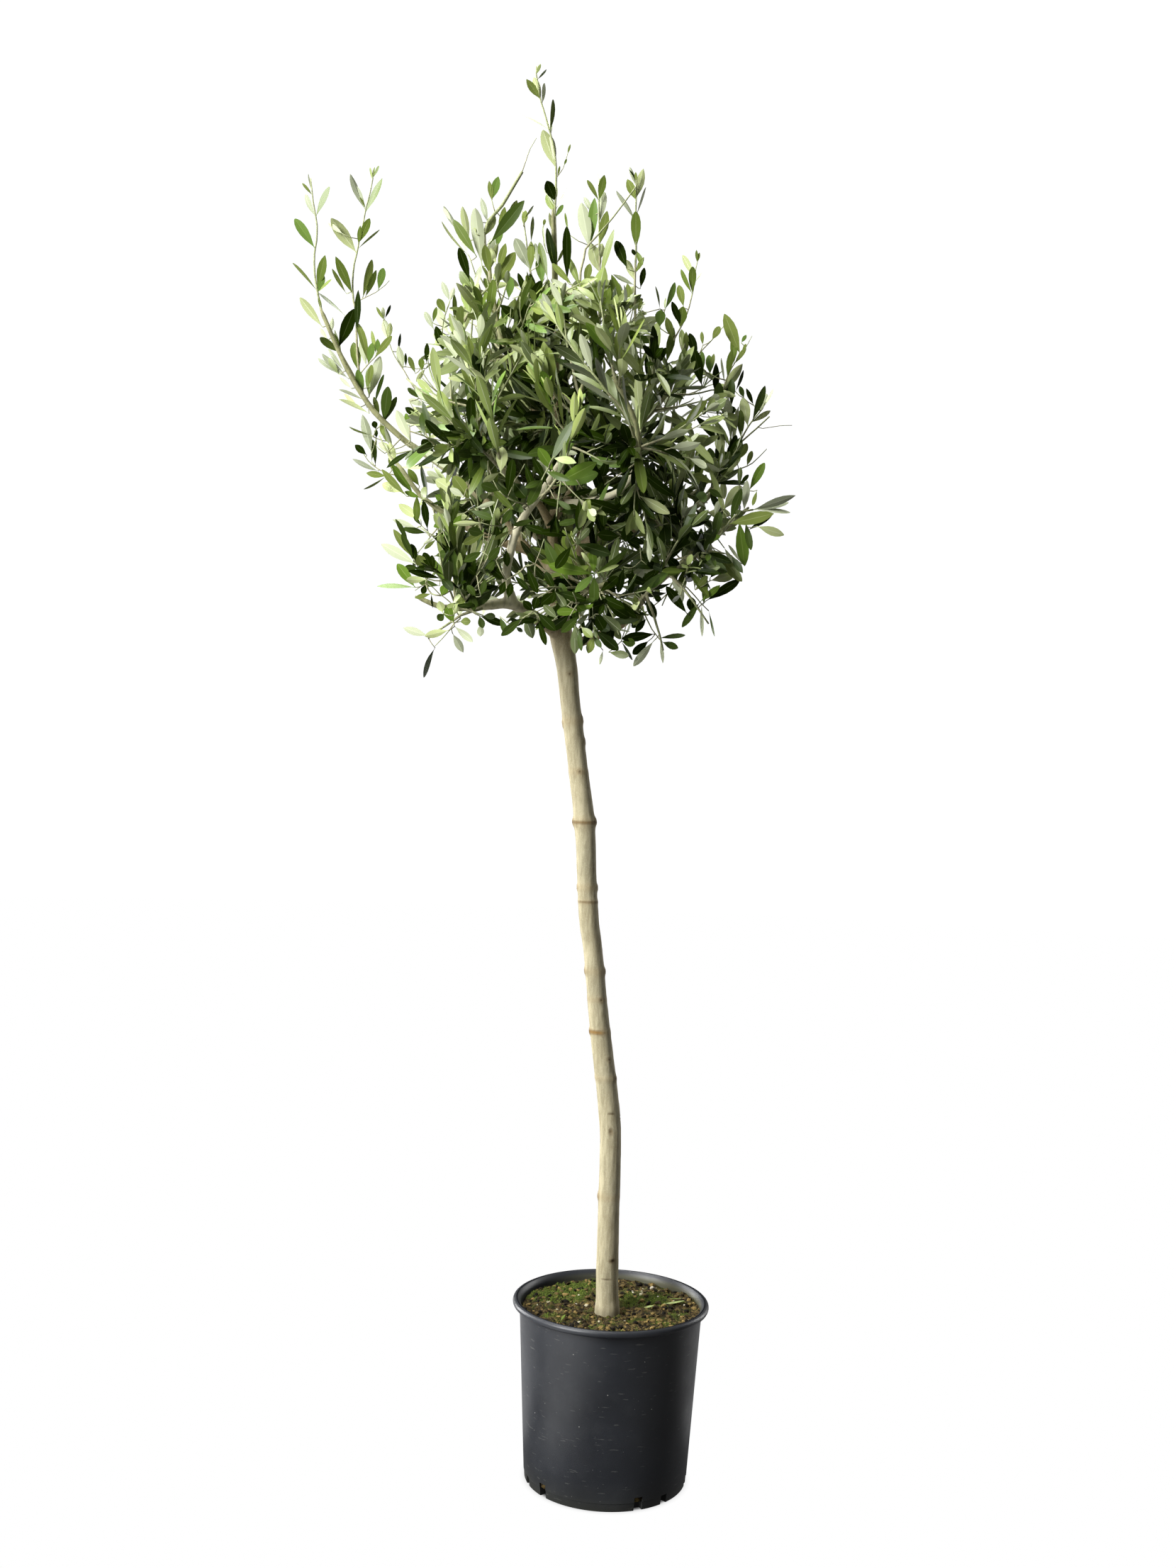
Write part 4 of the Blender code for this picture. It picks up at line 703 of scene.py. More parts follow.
        "D+": ((136, 1318, -10, 21, 6), (113, 1334, 11, 26, 4), (89, 1327, -1, 41, 10), (72, 1338, -12, 47, 15),
         (65, 1373, -11, 31, 11), (108, 1301, -4, 16, 19), (61, 1306, 34, -31, 11)),
        "F+": ((118, 1394, 6, 10, 5), (73, 1359, -3, 23, 7), (79, 1351, 0, 28, 10)),
        "G+": ((86, 1229, -2, 35, 14), (134, 1300, 16, 42, 10), (124, 1326, -6, 15, 7), (92, 1301, 1, 43, 13),
         (109, 1315, -1, 35, 10)),
        "M+": ((114, 1364, -5, 39, 10), (103, 1351, 4, 35, 9), (27, 1365, 8, 45, 11), (121, 1277, -1, 35, 10)),
        "M-": ((100, 1333, 19, 33, 13), (103, 1227, 1, -26, 9)),
        "O+": ((118, 1249, 12, 23, 11), (130, 1245, 6, 17, 7), (71, 1211, 3, 62, 15), (115, 1380, -19, 49, 16),
         (121, 1380, 3, 13, 4), (81, 1354, 4, 25, 6), (51, 1376, -1, 29, 8), (82, 1396, 9, 17, 9),
         (71, 1389, -2, 17, 5), (110, 1366, 14, 22, 6)),
        "O-": ((98, 1246, -3, 46, 14), (103, 1230, 17, 32, 17), (130, 1291, -8, 39, 14), (134, 1295, 23, 17, 7)),
        "Y-": ((142, 1309, 11, 28, 8), (146, 1313, 13, 27, 4), (94, 1342, 1, 33, 3)),
    }),
    "leaves_right_rise": (-0.010, {
        "D+": ((40, 1412, -9, 30, 9),),
        "F+": ((23, 1435, 15, 31, 8), (17, 1409, 1, 22, 14)),
        "M+": ((59, 1490, 0, 16, 4), (54, 1453, 1, 32, 10), (54, 1453, -14, 28, 6), (45, 1407, 0, 29, 14),
         (17, 1432, -6, 28, 3)),
        "M-": ((56, 1471, -14, 28, 8),),
        "O+": ((61, 1489, 2, 14, 4), (46, 1435, -7, 27, 10), (23, 1431, 0, 15, 3), (35, 1394, -10, 28, 10),
         (-10, 1427, 4, 15, 5)),
        "Y-": ((58, 1465, 17, 29, 3),),
    }),
    "leaves_upper_right": (-0.010, {
        "D+": ((-17, 1585, -8, 19, 3), (-25, 1480, -15, 34, 13), (-8, 1456, 4, 26, 8), (-16, 1495, -4, 9, 5),
         (-98, 1461, -3, 68, 12)),
        "F+": ((-71, 1506, 3, 59, 13),),
        "F-": ((-68, 1410, 15, 72, 21), (-82, 1456, -16, 34, 9)),
        "M+": ((-62, 1562, 5, 32, 10), (-16, 1504, -1, 45, 13), (-14, 1503, 8, -18, 7), (-28, 1434, -16, 38, 10),
         (-99, 1520, -2, 26, 3), (-83, 1423, -31, 31, 12)),
        "M-": ((-61, 1473, -10, 39, 17), (-56, 1488, -1, 22, 10), (-16, 1567, 6, 34, 11), (-17, 1465, -9, 25, 9)),
        "O+": ((-65, 1561, -12, 27, 6), (-60, 1507, 8, 43, 12), (-63, 1463, 17, 65, 8), (-76, 1458, 5, 26, 10),
         (-79, 1425, -4, 39, 13), (-18, 1563, -11, 27, 11), (-18, 1587, -1, 12, 4), (-13, 1473, 8, 22, 6),
         (-19, 1427, -5, 35, 10), (-91, 1457, -26, 26, 8)),
        "S-": ((-68, 1545, -15, 23, 7), (-17, 1538, -21, 42, 7), (-17, 1459, -25, 13, 6)),
        "Y-": ((-60, 1535, 4, 37, 10), (-63, 1574, -4, 23, 3), (-72, 1502, -12, 57, 17), (-63, 1413, 15, 54, 13),
         (-18, 1581, -8, 24, 5), (-14, 1544, 11, 36, 3), (-73, 1429, -45, 35, 12)),
    }),
    "leaves_top": (0.000, {
        "D+": ((-117, 1558, -11, 27, 14), (-116, 1467, -8, 59, 10)),
        "F+": ((-111, 1540, 5, 16, 6),),
        "F-": ((-116, 1544, -11, 22, 10),),
        "M+": ((-143, 1708, 10, 13, 3), (-125, 1643, 4, 42, 7), (-107, 1602, 3, 10, 3), (-113, 1478, -4, 35, 8)),
        "M-": ((-139, 1681, -9, 30, 10), (-118, 1599, -16, 46, 16), (-115, 1514, -8, 31, 6)),
        "O+": ((-143, 1683, -14, 25, 10), (-114, 1590, 2, 13, 3), (-102, 1617, 2, 13, 3), (-128, 1500, -2, 29, 3),
         (-129, 1529, 1, 8, 4), (-108, 1483, 6, 19, 4)),
        "Y+": ((-145, 1715, 5, 12, 4),),
        "Y-": ((-145, 1714, 1, 15, 3), (-137, 1679, 5, 26, 6), (-131, 1644, -30, 29, 3), (-126, 1638, -2, 26, 7),
         (-118, 1605, -7, 34, 9), (-115, 1552, -18, 21, 4), (-114, 1558, -2, 21, 6), (-113, 1549, 11, 27, 3)),
    }),
    "leaves_upper_left": (-0.025, {
        "D+": ((-217, 1457, -15, 41, 12), (-150, 1409, -29, 21, 11), (-145, 1436, -13, 34, 8),
         (-134, 1436, -10, 34, 8)),
        "G+": ((-195, 1504, 41, 55, 17),),
        "F+": ((-192, 1558, 5, 29, 11), (-128, 1456, -6, 37, 13), (-169, 1437, 2, 28, 11), (-200, 1393, 2, 41, 13),
         (-171, 1403, -4, 27, 9), (-186, 1499, 4, 27, 10)),
        "F-": ((-215, 1414, -9, 41, 15),),
        "M+": ((-210, 1488, -30, 44, 12), (-203, 1436, -28, 34, 15), (-181, 1411, -1, 28, 6),
         (-129, 1432, -20, 36, 10), (-122, 1464, -11, 44, 10), (-193, 1438, -7, 24, 7)),
        "M-": ((-220, 1507, -10, 41, 10), (-219, 1488, -39, 37, 3), (-196, 1512, 6, 27, 12), (-222, 1394, 3, 35, 12),
         (-191, 1471, 5, 34, 8), (-216, 1533, 5, -30, 9), (-212, 1516, -4, 26, 8), (-186, 1480, -7, 19, 7)),
        "O+": ((-194, 1557, -4, 24, 7), (-184, 1510, 7, 40, 9), (-174, 1530, 11, 29, 9), (-153, 1537, 11, 16, 3),
         (-154, 1528, 2, 19, 8), (-144, 1507, 0, 33, 4), (-143, 1473, -1, 38, 10), (-192, 1466, -9, 37, 12),
         (-184, 1470, 9, 36, 10), (-185, 1453, 22, 42, 15), (-234, 1406, -1, 35, 6), (-121, 1430, 0, 33, 10)),
        "S-": ((-230, 1514, -23, 34, 7), (-194, 1529, -13, 31, 8), (-144, 1471, -20, 42, 15),
         (-134, 1480, -5, 26, 8)),
        "Y-": ((-203, 1477, -11, 68, 17), (-183, 1406, -10, 22, 10), (-194, 1477, 3, 38, 11), (-211, 1446, 4, 35, 8),
         (-242, 1530, -11, 16, 5), (-195, 1502, 33, 45, 7), (-225, 1493, -14, 31, 6)),
    }),
    "leaves_front": (-0.165, {
        "B+": ((-102, 1214, 48, 27, 17), (-106, 1228, -20, 28, 13), (-209, 1215, 0, 31, 6), (-217, 1172, -9, -15, 8)),
        "D+": ((-113, 1211, -20, 34, 9), (-162, 1194, 5, 47, 12), (-92, 1198, 33, 10, 7), (-155, 1213, 16, -18, 17),
         (-142, 1236, 11, -29, 8), (-123, 1193, 30, -5, 9), (-97, 1179, 24, 6, 13), (-52, 1200, 6, 17, 8),
         (-40, 1248, -6, -24, 10)),
        "F+": ((-102, 1211, 50, 17, 15),),
        "G+": ((-172, 1202, -23, 7, 12), (-169, 1159, 13, 20, 9), (-208, 1177, 28, -9, 9), (-127, 1168, -27, -8, 7),
         (-105, 1162, 33, 8, 8), (-103, 1194, 20, -12, 7)),
        "O+": ((-207, 1189, -22, 29, 15), (-174, 1167, 18, 15, 8)),
        "O-": ((-171, 1224, 1, 32, 14), (-172, 1225, -22, -14, 8), (-192, 1162, -35, -3, 7), (-63, 1199, 13, 10, 7)),
        "Y-": ((-106, 1221, -23, 20, 8), (-215, 1194, -18, 9, 8), (-202, 1179, 25, 9, 6), (-99, 1250, 21, 1, 6)),
    }),
}
STALK_RADIUS = 0.0006
STALKS_SWELL = 2.6  # how much thicker a stalk that carries many leaves may be
AT_TWIG = 0.006  # a root this near a twig sits on it
LOW_LEAVES = 1.20  # leaves below this height are a little shorter
REDRAWN = 0.045  # a long tip this near the end of such a shoot is the same shoot


# ---------------------------------------------------------------- sizes and colours to change
COLOUR = {"subtype": "COLOR", "size": 3, "min": 0.0, "max": 1.0}
LENGTH = {"subtype": "DISTANCE", "unit": "LENGTH"}


class PotSettings(PropertyGroup):
    """The pot's finish."""

    plastic: FloatVectorProperty(
        name="Plastic", description="Colour of the moulded pot", default=(0.0135, 0.0150, 0.0185), **COLOUR)
    gloss: FloatProperty(
        name="Roughness", description="How matt the pot's plastic is", default=0.40, min=0.05, max=1.0)
    dust: FloatVectorProperty(
        name="Dust", description="Colour of the dust specks and scuffs", default=(0.42, 0.42, 0.38), **COLOUR)


class SoilSettings(PropertyGroup):
    """The ground in the pot and what lies on it."""

    crumbs: IntProperty(name="Crumbs", description="Crumbs of soil on the ground", default=1300, min=0, max=4000)
    pebbles: IntProperty(name="Pebbles", description="Pale pebbles on the ground", default=34, min=0, max=200)
    tufts: IntProperty(name="Moss tufts", description="Blades of moss on the ground", default=5200, min=0, max=9000)
    roughness: FloatProperty(
        name="Lumps", description="Height of the small lumps", default=0.0026, min=0.0, max=0.01, **LENGTH)
    earth: FloatVectorProperty(
        name="Earth", description="Colour of the dry soil", default=(0.120, 0.083, 0.028), **COLOUR)
    moss: FloatVectorProperty(
        name="Moss", description="Colour of the moss", default=(0.078, 0.108, 0.015), **COLOUR)


class BarkSettings(PropertyGroup):
    """The bark of the trunk and boughs."""

    voxel: FloatProperty(
        name="Grain of the mesh", description="Size of the faces of the bark", default=0.0016,
        min=0.001, max=0.004, **LENGTH)
    relief: FloatProperty(
        name="Relief", description="Height of the fine bark relief", default=0.00022, min=0.0, max=0.002, **LENGTH)
    trunk_colour: FloatVectorProperty(
        name="Trunk", description="Colour of the trunk's bark", default=(0.470, 0.420, 0.270), **COLOUR)
    bough_colour: FloatVectorProperty(
        name="Boughs", description="Colour of the boughs' bark", default=(0.330, 0.255, 0.135), **COLOUR)


class LeafSettings(PropertyGroup):
    """How the twigs and leaves grow."""

    length: FloatProperty(
        name="Leaf length", description="Length of a full-grown leaf", default=0.0535, min=0.02, max=0.1, **LENGTH)
    width: FloatProperty(
        name="Leaf width", description="Width of a full-grown leaf", default=0.0122, min=0.005, max=0.04, **LENGTH)
    pair_step: FloatProperty(
        name="Between pairs", description="From one pair of leaves to the next in the crown",
        default=0.0185, min=0.01, max=0.06, **LENGTH)
    long_step: FloatProperty(
        name="On long shoots", description="From one pair of leaves to the next on a long shoot",
        default=0.041, min=0.01, max=0.08, **LENGTH)
    side_step: FloatProperty(
        name="Between side twigs", description="From one side twig to the next on a shoot",
        default=0.036, min=0.02, max=0.2, **LENGTH)
    side_length: FloatProperty(
        name="Side twigs", description="Length of a side twig", default=0.058, min=0.02, max=0.15, **LENGTH)
    spread: FloatProperty(
        name="Leaf spread", description="Angle between a leaf and its twig", default=math.radians(29),
        min=0.0, max=math.radians(90), subtype="ANGLE", unit="ROTATION")


class StageSettings(PropertyGroup):
    """Floor, light and camera."""

    key: FloatProperty(name="Key light", description="Power of the large light on the left", default=232.0,
                       min=0.0, max=500.0, unit="POWER")
    fill: FloatProperty(name="Surroundings", description="Strength of the even light", default=0.11,
                        min=0.0, max=3.0)
    lens: FloatProperty(name="Lens", description="Focal length for a 36 mm sensor", default=36.03,
                        min=10.0, max=200.0)


# ---------------------------------------------------------------- shared helpers
def deselect():
    if bpy.context.object and bpy.context.object.mode != "OBJECT":
        bpy.ops.object.mode_set(mode="OBJECT")
    bpy.ops.object.select_all(action="DESELECT")


def only(obj):
    """Makes the object the only one selected, and the active one."""
    deselect()
    obj.select_set(True)
    bpy.context.view_layer.objects.active = obj
    return obj


def settle(obj, *nodes, slot=None):
    """Hands a finished piece to the frame, for the nodes that it stands for."""
    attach(obj, "root")
    if nodes:
        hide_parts(*nodes)
    return obj


def applied(obj, kind, **values):
    """Adds one modifier with these values and applies it."""
    modifier = obj.modifiers.new(kind.lower(), kind)
    for key, value in values.items():
        setattr(modifier, key, value)
    only(obj)
    bpy.ops.object.modifier_apply(modifier=modifier.name)
    return obj


def mesh_from_arrays(name, points, faces, material_index=None, smooth=True):
    """One joined mesh from arrays of points and faces."""
    mesh = bpy.data.meshes.new(name)
    mesh.from_pydata(np.asarray(points).tolist(), [], faces)
    if material_index is not None:
        mesh.polygons.foreach_set("material_index", np.asarray(material_index, np.int32))
    mesh.polygons.foreach_set("use_smooth", np.full(len(mesh.polygons), smooth))
    mesh.update()
    obj = bpy.data.objects.new(name, mesh)
    bpy.context.scene.collection.objects.link(obj)
    return obj


def dressed(obj, materials):
    """Gives the piece its materials, in the order that its faces count them."""
    for material in materials:
        obj.data.materials.append(material)
    return obj


def ease(x):
    """0 below 0, 1 above 1, and smooth between."""
    x = np.clip(x, 0.0, 1.0)
    return x * x * (3.0 - 2.0 * x)


def held(value, low=0.0, high=1.0):
    return min(high, max(low, value))


def square(side, along):
    """The direction nearest to side that is square to along."""
    return (side - along * side.dot(along)).normalized()


def note(mesh, **layers):
    """Writes numbers to the mesh's points, one list under each name, for its finish to read."""
    for name, values in layers.items():
        layer = mesh.attributes.new(name, "FLOAT", "POINT")
        layer.data.foreach_set("value", np.asarray(values, np.float32))


# ---------------------------------------------------------------- materials
class Finish:
    """A material in the making: its nodes, with the Principled shader at hand."""

    def __init__(self, name, roughness, specular=0.5):
        self.material = bpy.data.materials.new(name)
        self.material.use_nodes = True
        self.nodes = self.material.node_tree.nodes
        self.links = self.material.node_tree.links
        self.shader = self.nodes["Principled BSDF"]
        self.shader.inputs["Roughness"].default_value = roughness
        self.shader.inputs["Specular IOR Level"].default_value = specular
        self.place = None

    def node(self, kind, **values):
        made = self.nodes.new("ShaderNode" + kind)
        for key, value in values.items():
            setattr(made, key, value)
        return made

    def coordinates(self, scale=(1.0, 1.0, 1.0)):
        """Object coordinates, stretched by the scale."""
        if self.place is None:
            self.place = self.node("TexCoord")
        mapping = self.node("Mapping")
        mapping.inputs["Scale"].default_value = scale
        self.links.new(self.place.outputs["Object"], mapping.inputs["Vector"])
        return mapping.outputs["Vector"]

    def noise(self, scale, detail=3.0, roughness=0.55, stretch=(1.0, 1.0, 1.0)):
        made = self.node("TexNoise")
        made.inputs["Scale"].default_value = scale
        made.inputs["Detail"].default_value = detail
        made.inputs["Roughness"].default_value = roughness
        self.links.new(self.coordinates(stretch), made.inputs["Vector"])
        return made.outputs["Fac"]

    def specks(self, scale, size, stretch=(1.0, 1.0, 1.0)):
        """1 inside small round specks, 0 between them."""
        made = self.node("TexVoronoi")
        made.inputs["Scale"].default_value = scale
        self.links.new(self.coordinates(stretch), made.inputs["Vector"])
        return self.ramp(made.outputs["Distance"], ((0.0, 1.0), (size, 1.0), (size * 1.4, 0.0)))

    def ramp(self, source, stops):
        """Maps 0..1 through stops of (place, grey or colour)."""
        made = self.node("ValToRGB")
        points = made.color_ramp.elements
        while len(points) < len(stops):
            points.new(0.5)
        for point, (place, value) in zip(points, stops):
            point.position = place
            point.color = (*value, 1.0) if isinstance(value, tuple) else (value, value, value, 1.0)
        self.links.new(source, made.inputs["Fac"])
        return made.outputs["Color"]

    def attribute(self, name):
        return self.node("Attribute", attribute_name=name).outputs["Fac"]

    def math(self, operation, a, b):
        made = self.node("Math", operation=operation)
        for socket, value in zip(made.inputs, (a, b)):
            if isinstance(value, (int, float)):
                socket.default_value = value
            else:
                self.links.new(value, socket)
        return made.outputs["Value"]

    def mix(self, share, a, b):
        """Colour a where share is 0, and b where it is 1."""
        made = self.node("Mix", data_type="RGBA")
        self.links.new(share, made.inputs["Factor"])
        for socket, value in ((made.inputs[6], a), (made.inputs[7], b)):
            if isinstance(value, tuple):
                socket.default_value = (*value, 1.0)
            else:
                self.links.new(value, socket)
        return made.outputs[2]

    def colour(self, source):
        if isinstance(source, tuple):
            self.shader.inputs["Base Color"].default_value = (*source, 1.0)
        else:
            self.links.new(source, self.shader.inputs["Base Color"])

    def roughness(self, source):
        self.links.new(source, self.shader.inputs["Roughness"])

    def bump(self, source, distance, strength=1.0):
        made = self.node("Bump")
        made.inputs["Distance"].default_value = distance
        made.inputs["Strength"].default_value = strength
        self.links.new(source, made.inputs["Height"])
        self.links.new(made.outputs["Normal"], self.shader.inputs["Normal"])


# colour of the painted light with dust inside the pot's wall at the back right, and of the lighter bottom of the pot
DUST_AND_LIGHT = (0.155, 0.150, 0.085)


def times(colour, share):
    return tuple(min(1.0, c * share) for c in colour)


def plastic_finish(settings):
    """Satin black plastic with a fine grain, faint scratches, a lighter film towards the bottom, and painted light
    with dust inside the wall at the back right.
    """
    finish = Finish("pot_plastic", settings.gloss, 0.5)
    plastic, dust = tuple(settings.plastic), tuple(settings.dust)
    cloud = finish.noise(9.0, 4.0)
    base = finish.mix(finish.ramp(cloud, ((0.35, 0.0), (0.75, 1.0))), plastic, times(plastic, 1.8))
    film = finish.math("MULTIPLY", finish.ramp(finish.noise(38.0, 6.0, 0.7), ((0.52, 0.0), (0.78, 1.0))), 0.016)
    base = finish.mix(film, base, dust)
    scratch = finish.ramp(finish.noise(60.0, 2.0, 0.5, (1.0, 1.0, 7.0)), ((0.68, 0.0), (0.71, 1.0)))
    scratch = finish.math("MULTIPLY", scratch, 0.10)
    base = finish.mix(scratch, base, dust)
    for fineness, size, share in ((56.0, 0.026, 0.75), (104.0, 0.030, 0.40)):
        base = finish.mix(finish.math("MULTIPLY", finish.specks(fineness, size), share), base, dust)
    # painted light with dust: the inside of the wall is lighter at the back right, where the key light falls; the
    # outside is lighter towards the bottom
    finish.colour(finish.mix(finish.math("MULTIPLY", finish.attribute("grime"), 0.62), base, DUST_AND_LIGHT))
    gloss = ((0.3, settings.gloss - 0.05), (0.75, settings.gloss + 0.12))
    finish.roughness(finish.ramp(finish.noise(26.0, 5.0, 0.65), gloss))
    shine = finish.math("MULTIPLY", finish.attribute("shine"), 0.54)
    finish.links.new(shine, finish.shader.inputs["Specular IOR Level"])
    finish.bump(finish.noise(900.0, 2.0), 0.00012, 0.35)
    return finish.material


def soil_finish(settings):
    """Lumpy earth with painted shade in its hollows, dry and ochre on top, and green where moss grows."""
    finish = Finish("soil_earth", 0.95, 0.2)
    earth, moss = tuple(settings.earth), tuple(settings.moss)
    broad = finish.noise(55.0, 5.0, 0.65)
    clods = finish.noise(210.0, 4.0, 0.7)
    fine = finish.noise(560.0, 4.0, 0.75)
    ground = finish.ramp(broad, ((0.34, times(earth, 0.42)), (0.52, earth), (0.68, times(earth, 2.40))))
    for share, dark in (
        (finish.ramp(clods, ((0.45, 0.95), (0.55, 0.0))), 0.09),
        (finish.ramp(fine, ((0.50, 0.0), (0.60, 0.70))), 0.08),
        # painted shade in the hollows
        (finish.attribute("hollow"), 0.06),
    ):
        ground = finish.mix(share, ground, times(earth, dark))
    green = finish.mix(finish.ramp(fine, ((0.40, 0.0), (0.62, 1.0))), moss, times(moss, 0.30))
    finish.colour(finish.mix(finish.attribute("moss"), ground, green))
    finish.bump(finish.noise(520.0, 5.0, 0.7), 0.0012, 0.9)
    return finish.material


def bark_finish(settings):
    """Pale bark with a fine upright grain, dark knots and warm scars; the boughs are browner, those in front painted
    paler as lit, with painted shade at the fork.
    """
    finish = Finish("bark", 0.78, 0.25)
    trunk, bough = tuple(settings.trunk_colour), tuple(settings.bough_colour)
    upright = (1.0, 1.0, 0.16)
    streak = finish.noise(210.0, 5.0, 0.65, upright)
    cloud = finish.noise(22.0, 4.0, 0.6, (1.0, 1.0, 0.45))
    grain = finish.noise(1400.0, 3.0, 0.6, (1.0, 1.0, 0.5))
    wood = finish.mix(finish.attribute("young"), trunk, bough)
    for share, colour in (
        (finish.ramp(streak, ((0.42, 0.55), (0.62, 0.0))), (0.205, 0.170, 0.092)),
        (finish.ramp(cloud, ((0.45, 0.0), (0.75, 0.42))), (0.300, 0.282, 0.190)),
        (finish.ramp(grain, ((0.52, 0.0), (0.70, 0.42))), (0.640, 0.590, 0.430)),
        # painted light: the boughs in front, paler as lit
        (finish.attribute("pale"), (0.740, 0.700, 0.500)),
        (finish.attribute("green"), (0.330, 0.340, 0.185)),
        (finish.attribute("warm"), (0.330, 0.195, 0.062)),
        (finish.attribute("dark"), (0.050, 0.034, 0.016)),
    ):
        wood = finish.mix(share, wood, colour)
    finish.colour(wood)
    height = finish.math("ADD", finish.math("MULTIPLY", streak, 0.7), finish.math("MULTIPLY", grain, 0.3))
    finish.bump(height, 0.0007, 0.75)
    return finish.material


def plain_finish(name, colour, roughness, specular=0.5, sheen=0.0):
    finish = Finish(name, roughness, specular)
    finish.colour(colour)
    finish.shader.inputs["Sheen Weight"].default_value = sheen
    return finish.material


def speckled_finish(name, colour, roughness, fineness):
    """One colour, lighter and darker in small spots, with a fine relief."""
    finish = Finish(name, roughness, 0.2)
    spots = finish.noise(fineness, 3.0, 0.6)
    finish.colour(finish.ramp(spots, ((0.36, times(colour, 0.74)), (0.64, times(colour, 1.20)))))
    finish.bump(finish.noise(fineness * 5.0, 3.0, 0.6), 0.0003, 0.5)
    return finish.material


def blend(a, b, share):
    return tuple(p + (q - p) * share for p, q in zip(a, b))


def leaf_finishes():
    """Upper side, its rib, underside and its rib, for every tint."""
    made = []
    for name, (upper, under, shine) in LEAF_TINTS.items():
        made.append(plain_finish(f"leaf_{name}_upper", upper, 0.36, shine))
        made.append(plain_finish(f"leaf_{name}_rib", blend(upper, under, 0.30), 0.45, 0.06 + shine))
        made.append(plain_finish(f"leaf_{name}_under", under, 0.60, 0.05 + 0.5 * shine))
        made.append(plain_finish(f"leaf_{name}_rib_below", blend(under, (0.72, 0.76, 0.55), 0.45), 0.6, 0.3))
    return made


# ---------------------------------------------------------------- limbs
def smoothed(points, step):
    """Points about a step apart along the Catmull-Rom curve through the given ones."""
    ends = [2 * points[0] - points[1], *points, 2 * points[-1] - points[-2]]
    found = []
    for a, b, c, d in zip(ends, ends[1:], ends[2:], ends[3:]):
        parts = max(1, round((c.xyz - b.xyz).length / step))
        for i in range(parts):
            t = i / parts
            found.append(
                0.5 * (2 * b + (c - a) * t + (2 * a - 5 * b + 4 * c - d) * t * t
                       + (3 * b - a - 3 * c + d) * t * t * t)
            )
    return [*found, points[-1].copy()]


def nearest_on(path, point):
    """The point of the path's middle line that lies nearest."""
    found = []
    for a, b in zip(path, path[1:]):
        run = b.xyz - a.xyz
        share = held((point - a.xyz).dot(run) / run.length_squared)
        found.append(a.xyz + share * run)
    return min(found, key=lambda p: (p - point).length)


def trunk_path(step):
    return smoothed([Vector(p) for p in TRUNK_LINE], step)


def limb_paths():
    """The path of the trunk and of every bough, as lists of (x, y, z, radius)."""
    paths = {"trunk": trunk_path(TRUNK_STEP)}
    for name, (parent, first, last, line) in BOUGHS.items():
        line = [nearest_on(paths[parent], Vector(line[0])), *line[1:]]
        share = [i / (len(line) - 1) for i in range(len(line))]
        knots = [Vector((*p, first + (last - first) * s)) for p, s in zip(line, share)]
        paths[name] = smoothed(knots, RING_STEP)
    return paths


def tube_arrays(path, sides):
    """Points and faces of a closed tapering tube along (x, y, z, radius) points."""
    centres = [p.xyz for p in path]
    side = None
    points = []
    for i, centre in enumerate(centres):
        along = (centres[min(i + 1, len(path) - 1)] - centres[max(i - 1, 0)]).normalized()
        if side is None:
            side = along.orthogonal()
        side = square(side, along)
        across = along.cross(side)
        for k in range(sides):
            angle = 2 * math.pi * k / sides
            points.append(centre + path[i].w * (math.cos(angle) * side + math.sin(angle) * across))
    faces = [tuple(reversed(range(sides)))]
    for ring in range(len(path) - 1):
        a = ring * sides
        for k in range(sides):
            j = (k + 1) % sides
            faces.append((a + k, a + j, a + sides + j, a + sides + k))
    faces.append(tuple(range(len(points) - sides, len(points))))
    return points, faces


class JoinedTubes:
    """Gathers tubes for one mesh, each with the finish of its faces."""

    def __init__(self):
        self.points = []
        self.faces = []
        self.finishes = []

    def add(self, path, sides, finish=0, finish_from=None):
        """finish_from = (share of the length, finish) changes the finish part of the way along."""
        points, faces = tube_arrays(path, sides)
        base = len(self.points)
        self.points += [tuple(p) for p in points]
        self.faces += [tuple(base + i for i in face) for face in faces]
        rings = len(path) - 1
        for number in range(len(faces)):
            share = (number - 1) / (rings * sides)
            self.finishes.append(finish_from[1] if finish_from and share >= finish_from[0] else finish)

    def made(self, name):
        return mesh_from_arrays(name, self.points, self.faces, self.finishes)


def collared(path):
    """The bough's path at the fineness of its bark, thicker where it leaves its parent."""
    fine = smoothed([p.copy() for p in path], BARK_STEP)
    run = 0.0
    for i, point in enumerate(fine):
        if i:
            run += (point.xyz - fine[i - 1].xyz).length
        point.w *= 1.0 + 0.34 * math.exp(-((run / 0.019) ** 2))
        point.w *= 1.0 + 0.05 * noise.noise(point.xyz * 90.0)
    return fine


def trunk_middle(height):
    """x and radius of the trunk's middle line at each height."""
    line = np.array([tuple(p) for p in trunk_path(BARK_STEP)])
    return np.interp(height, line[:, 2], line[:, 0]), np.interp(height, line[:, 2], line[:, 3])


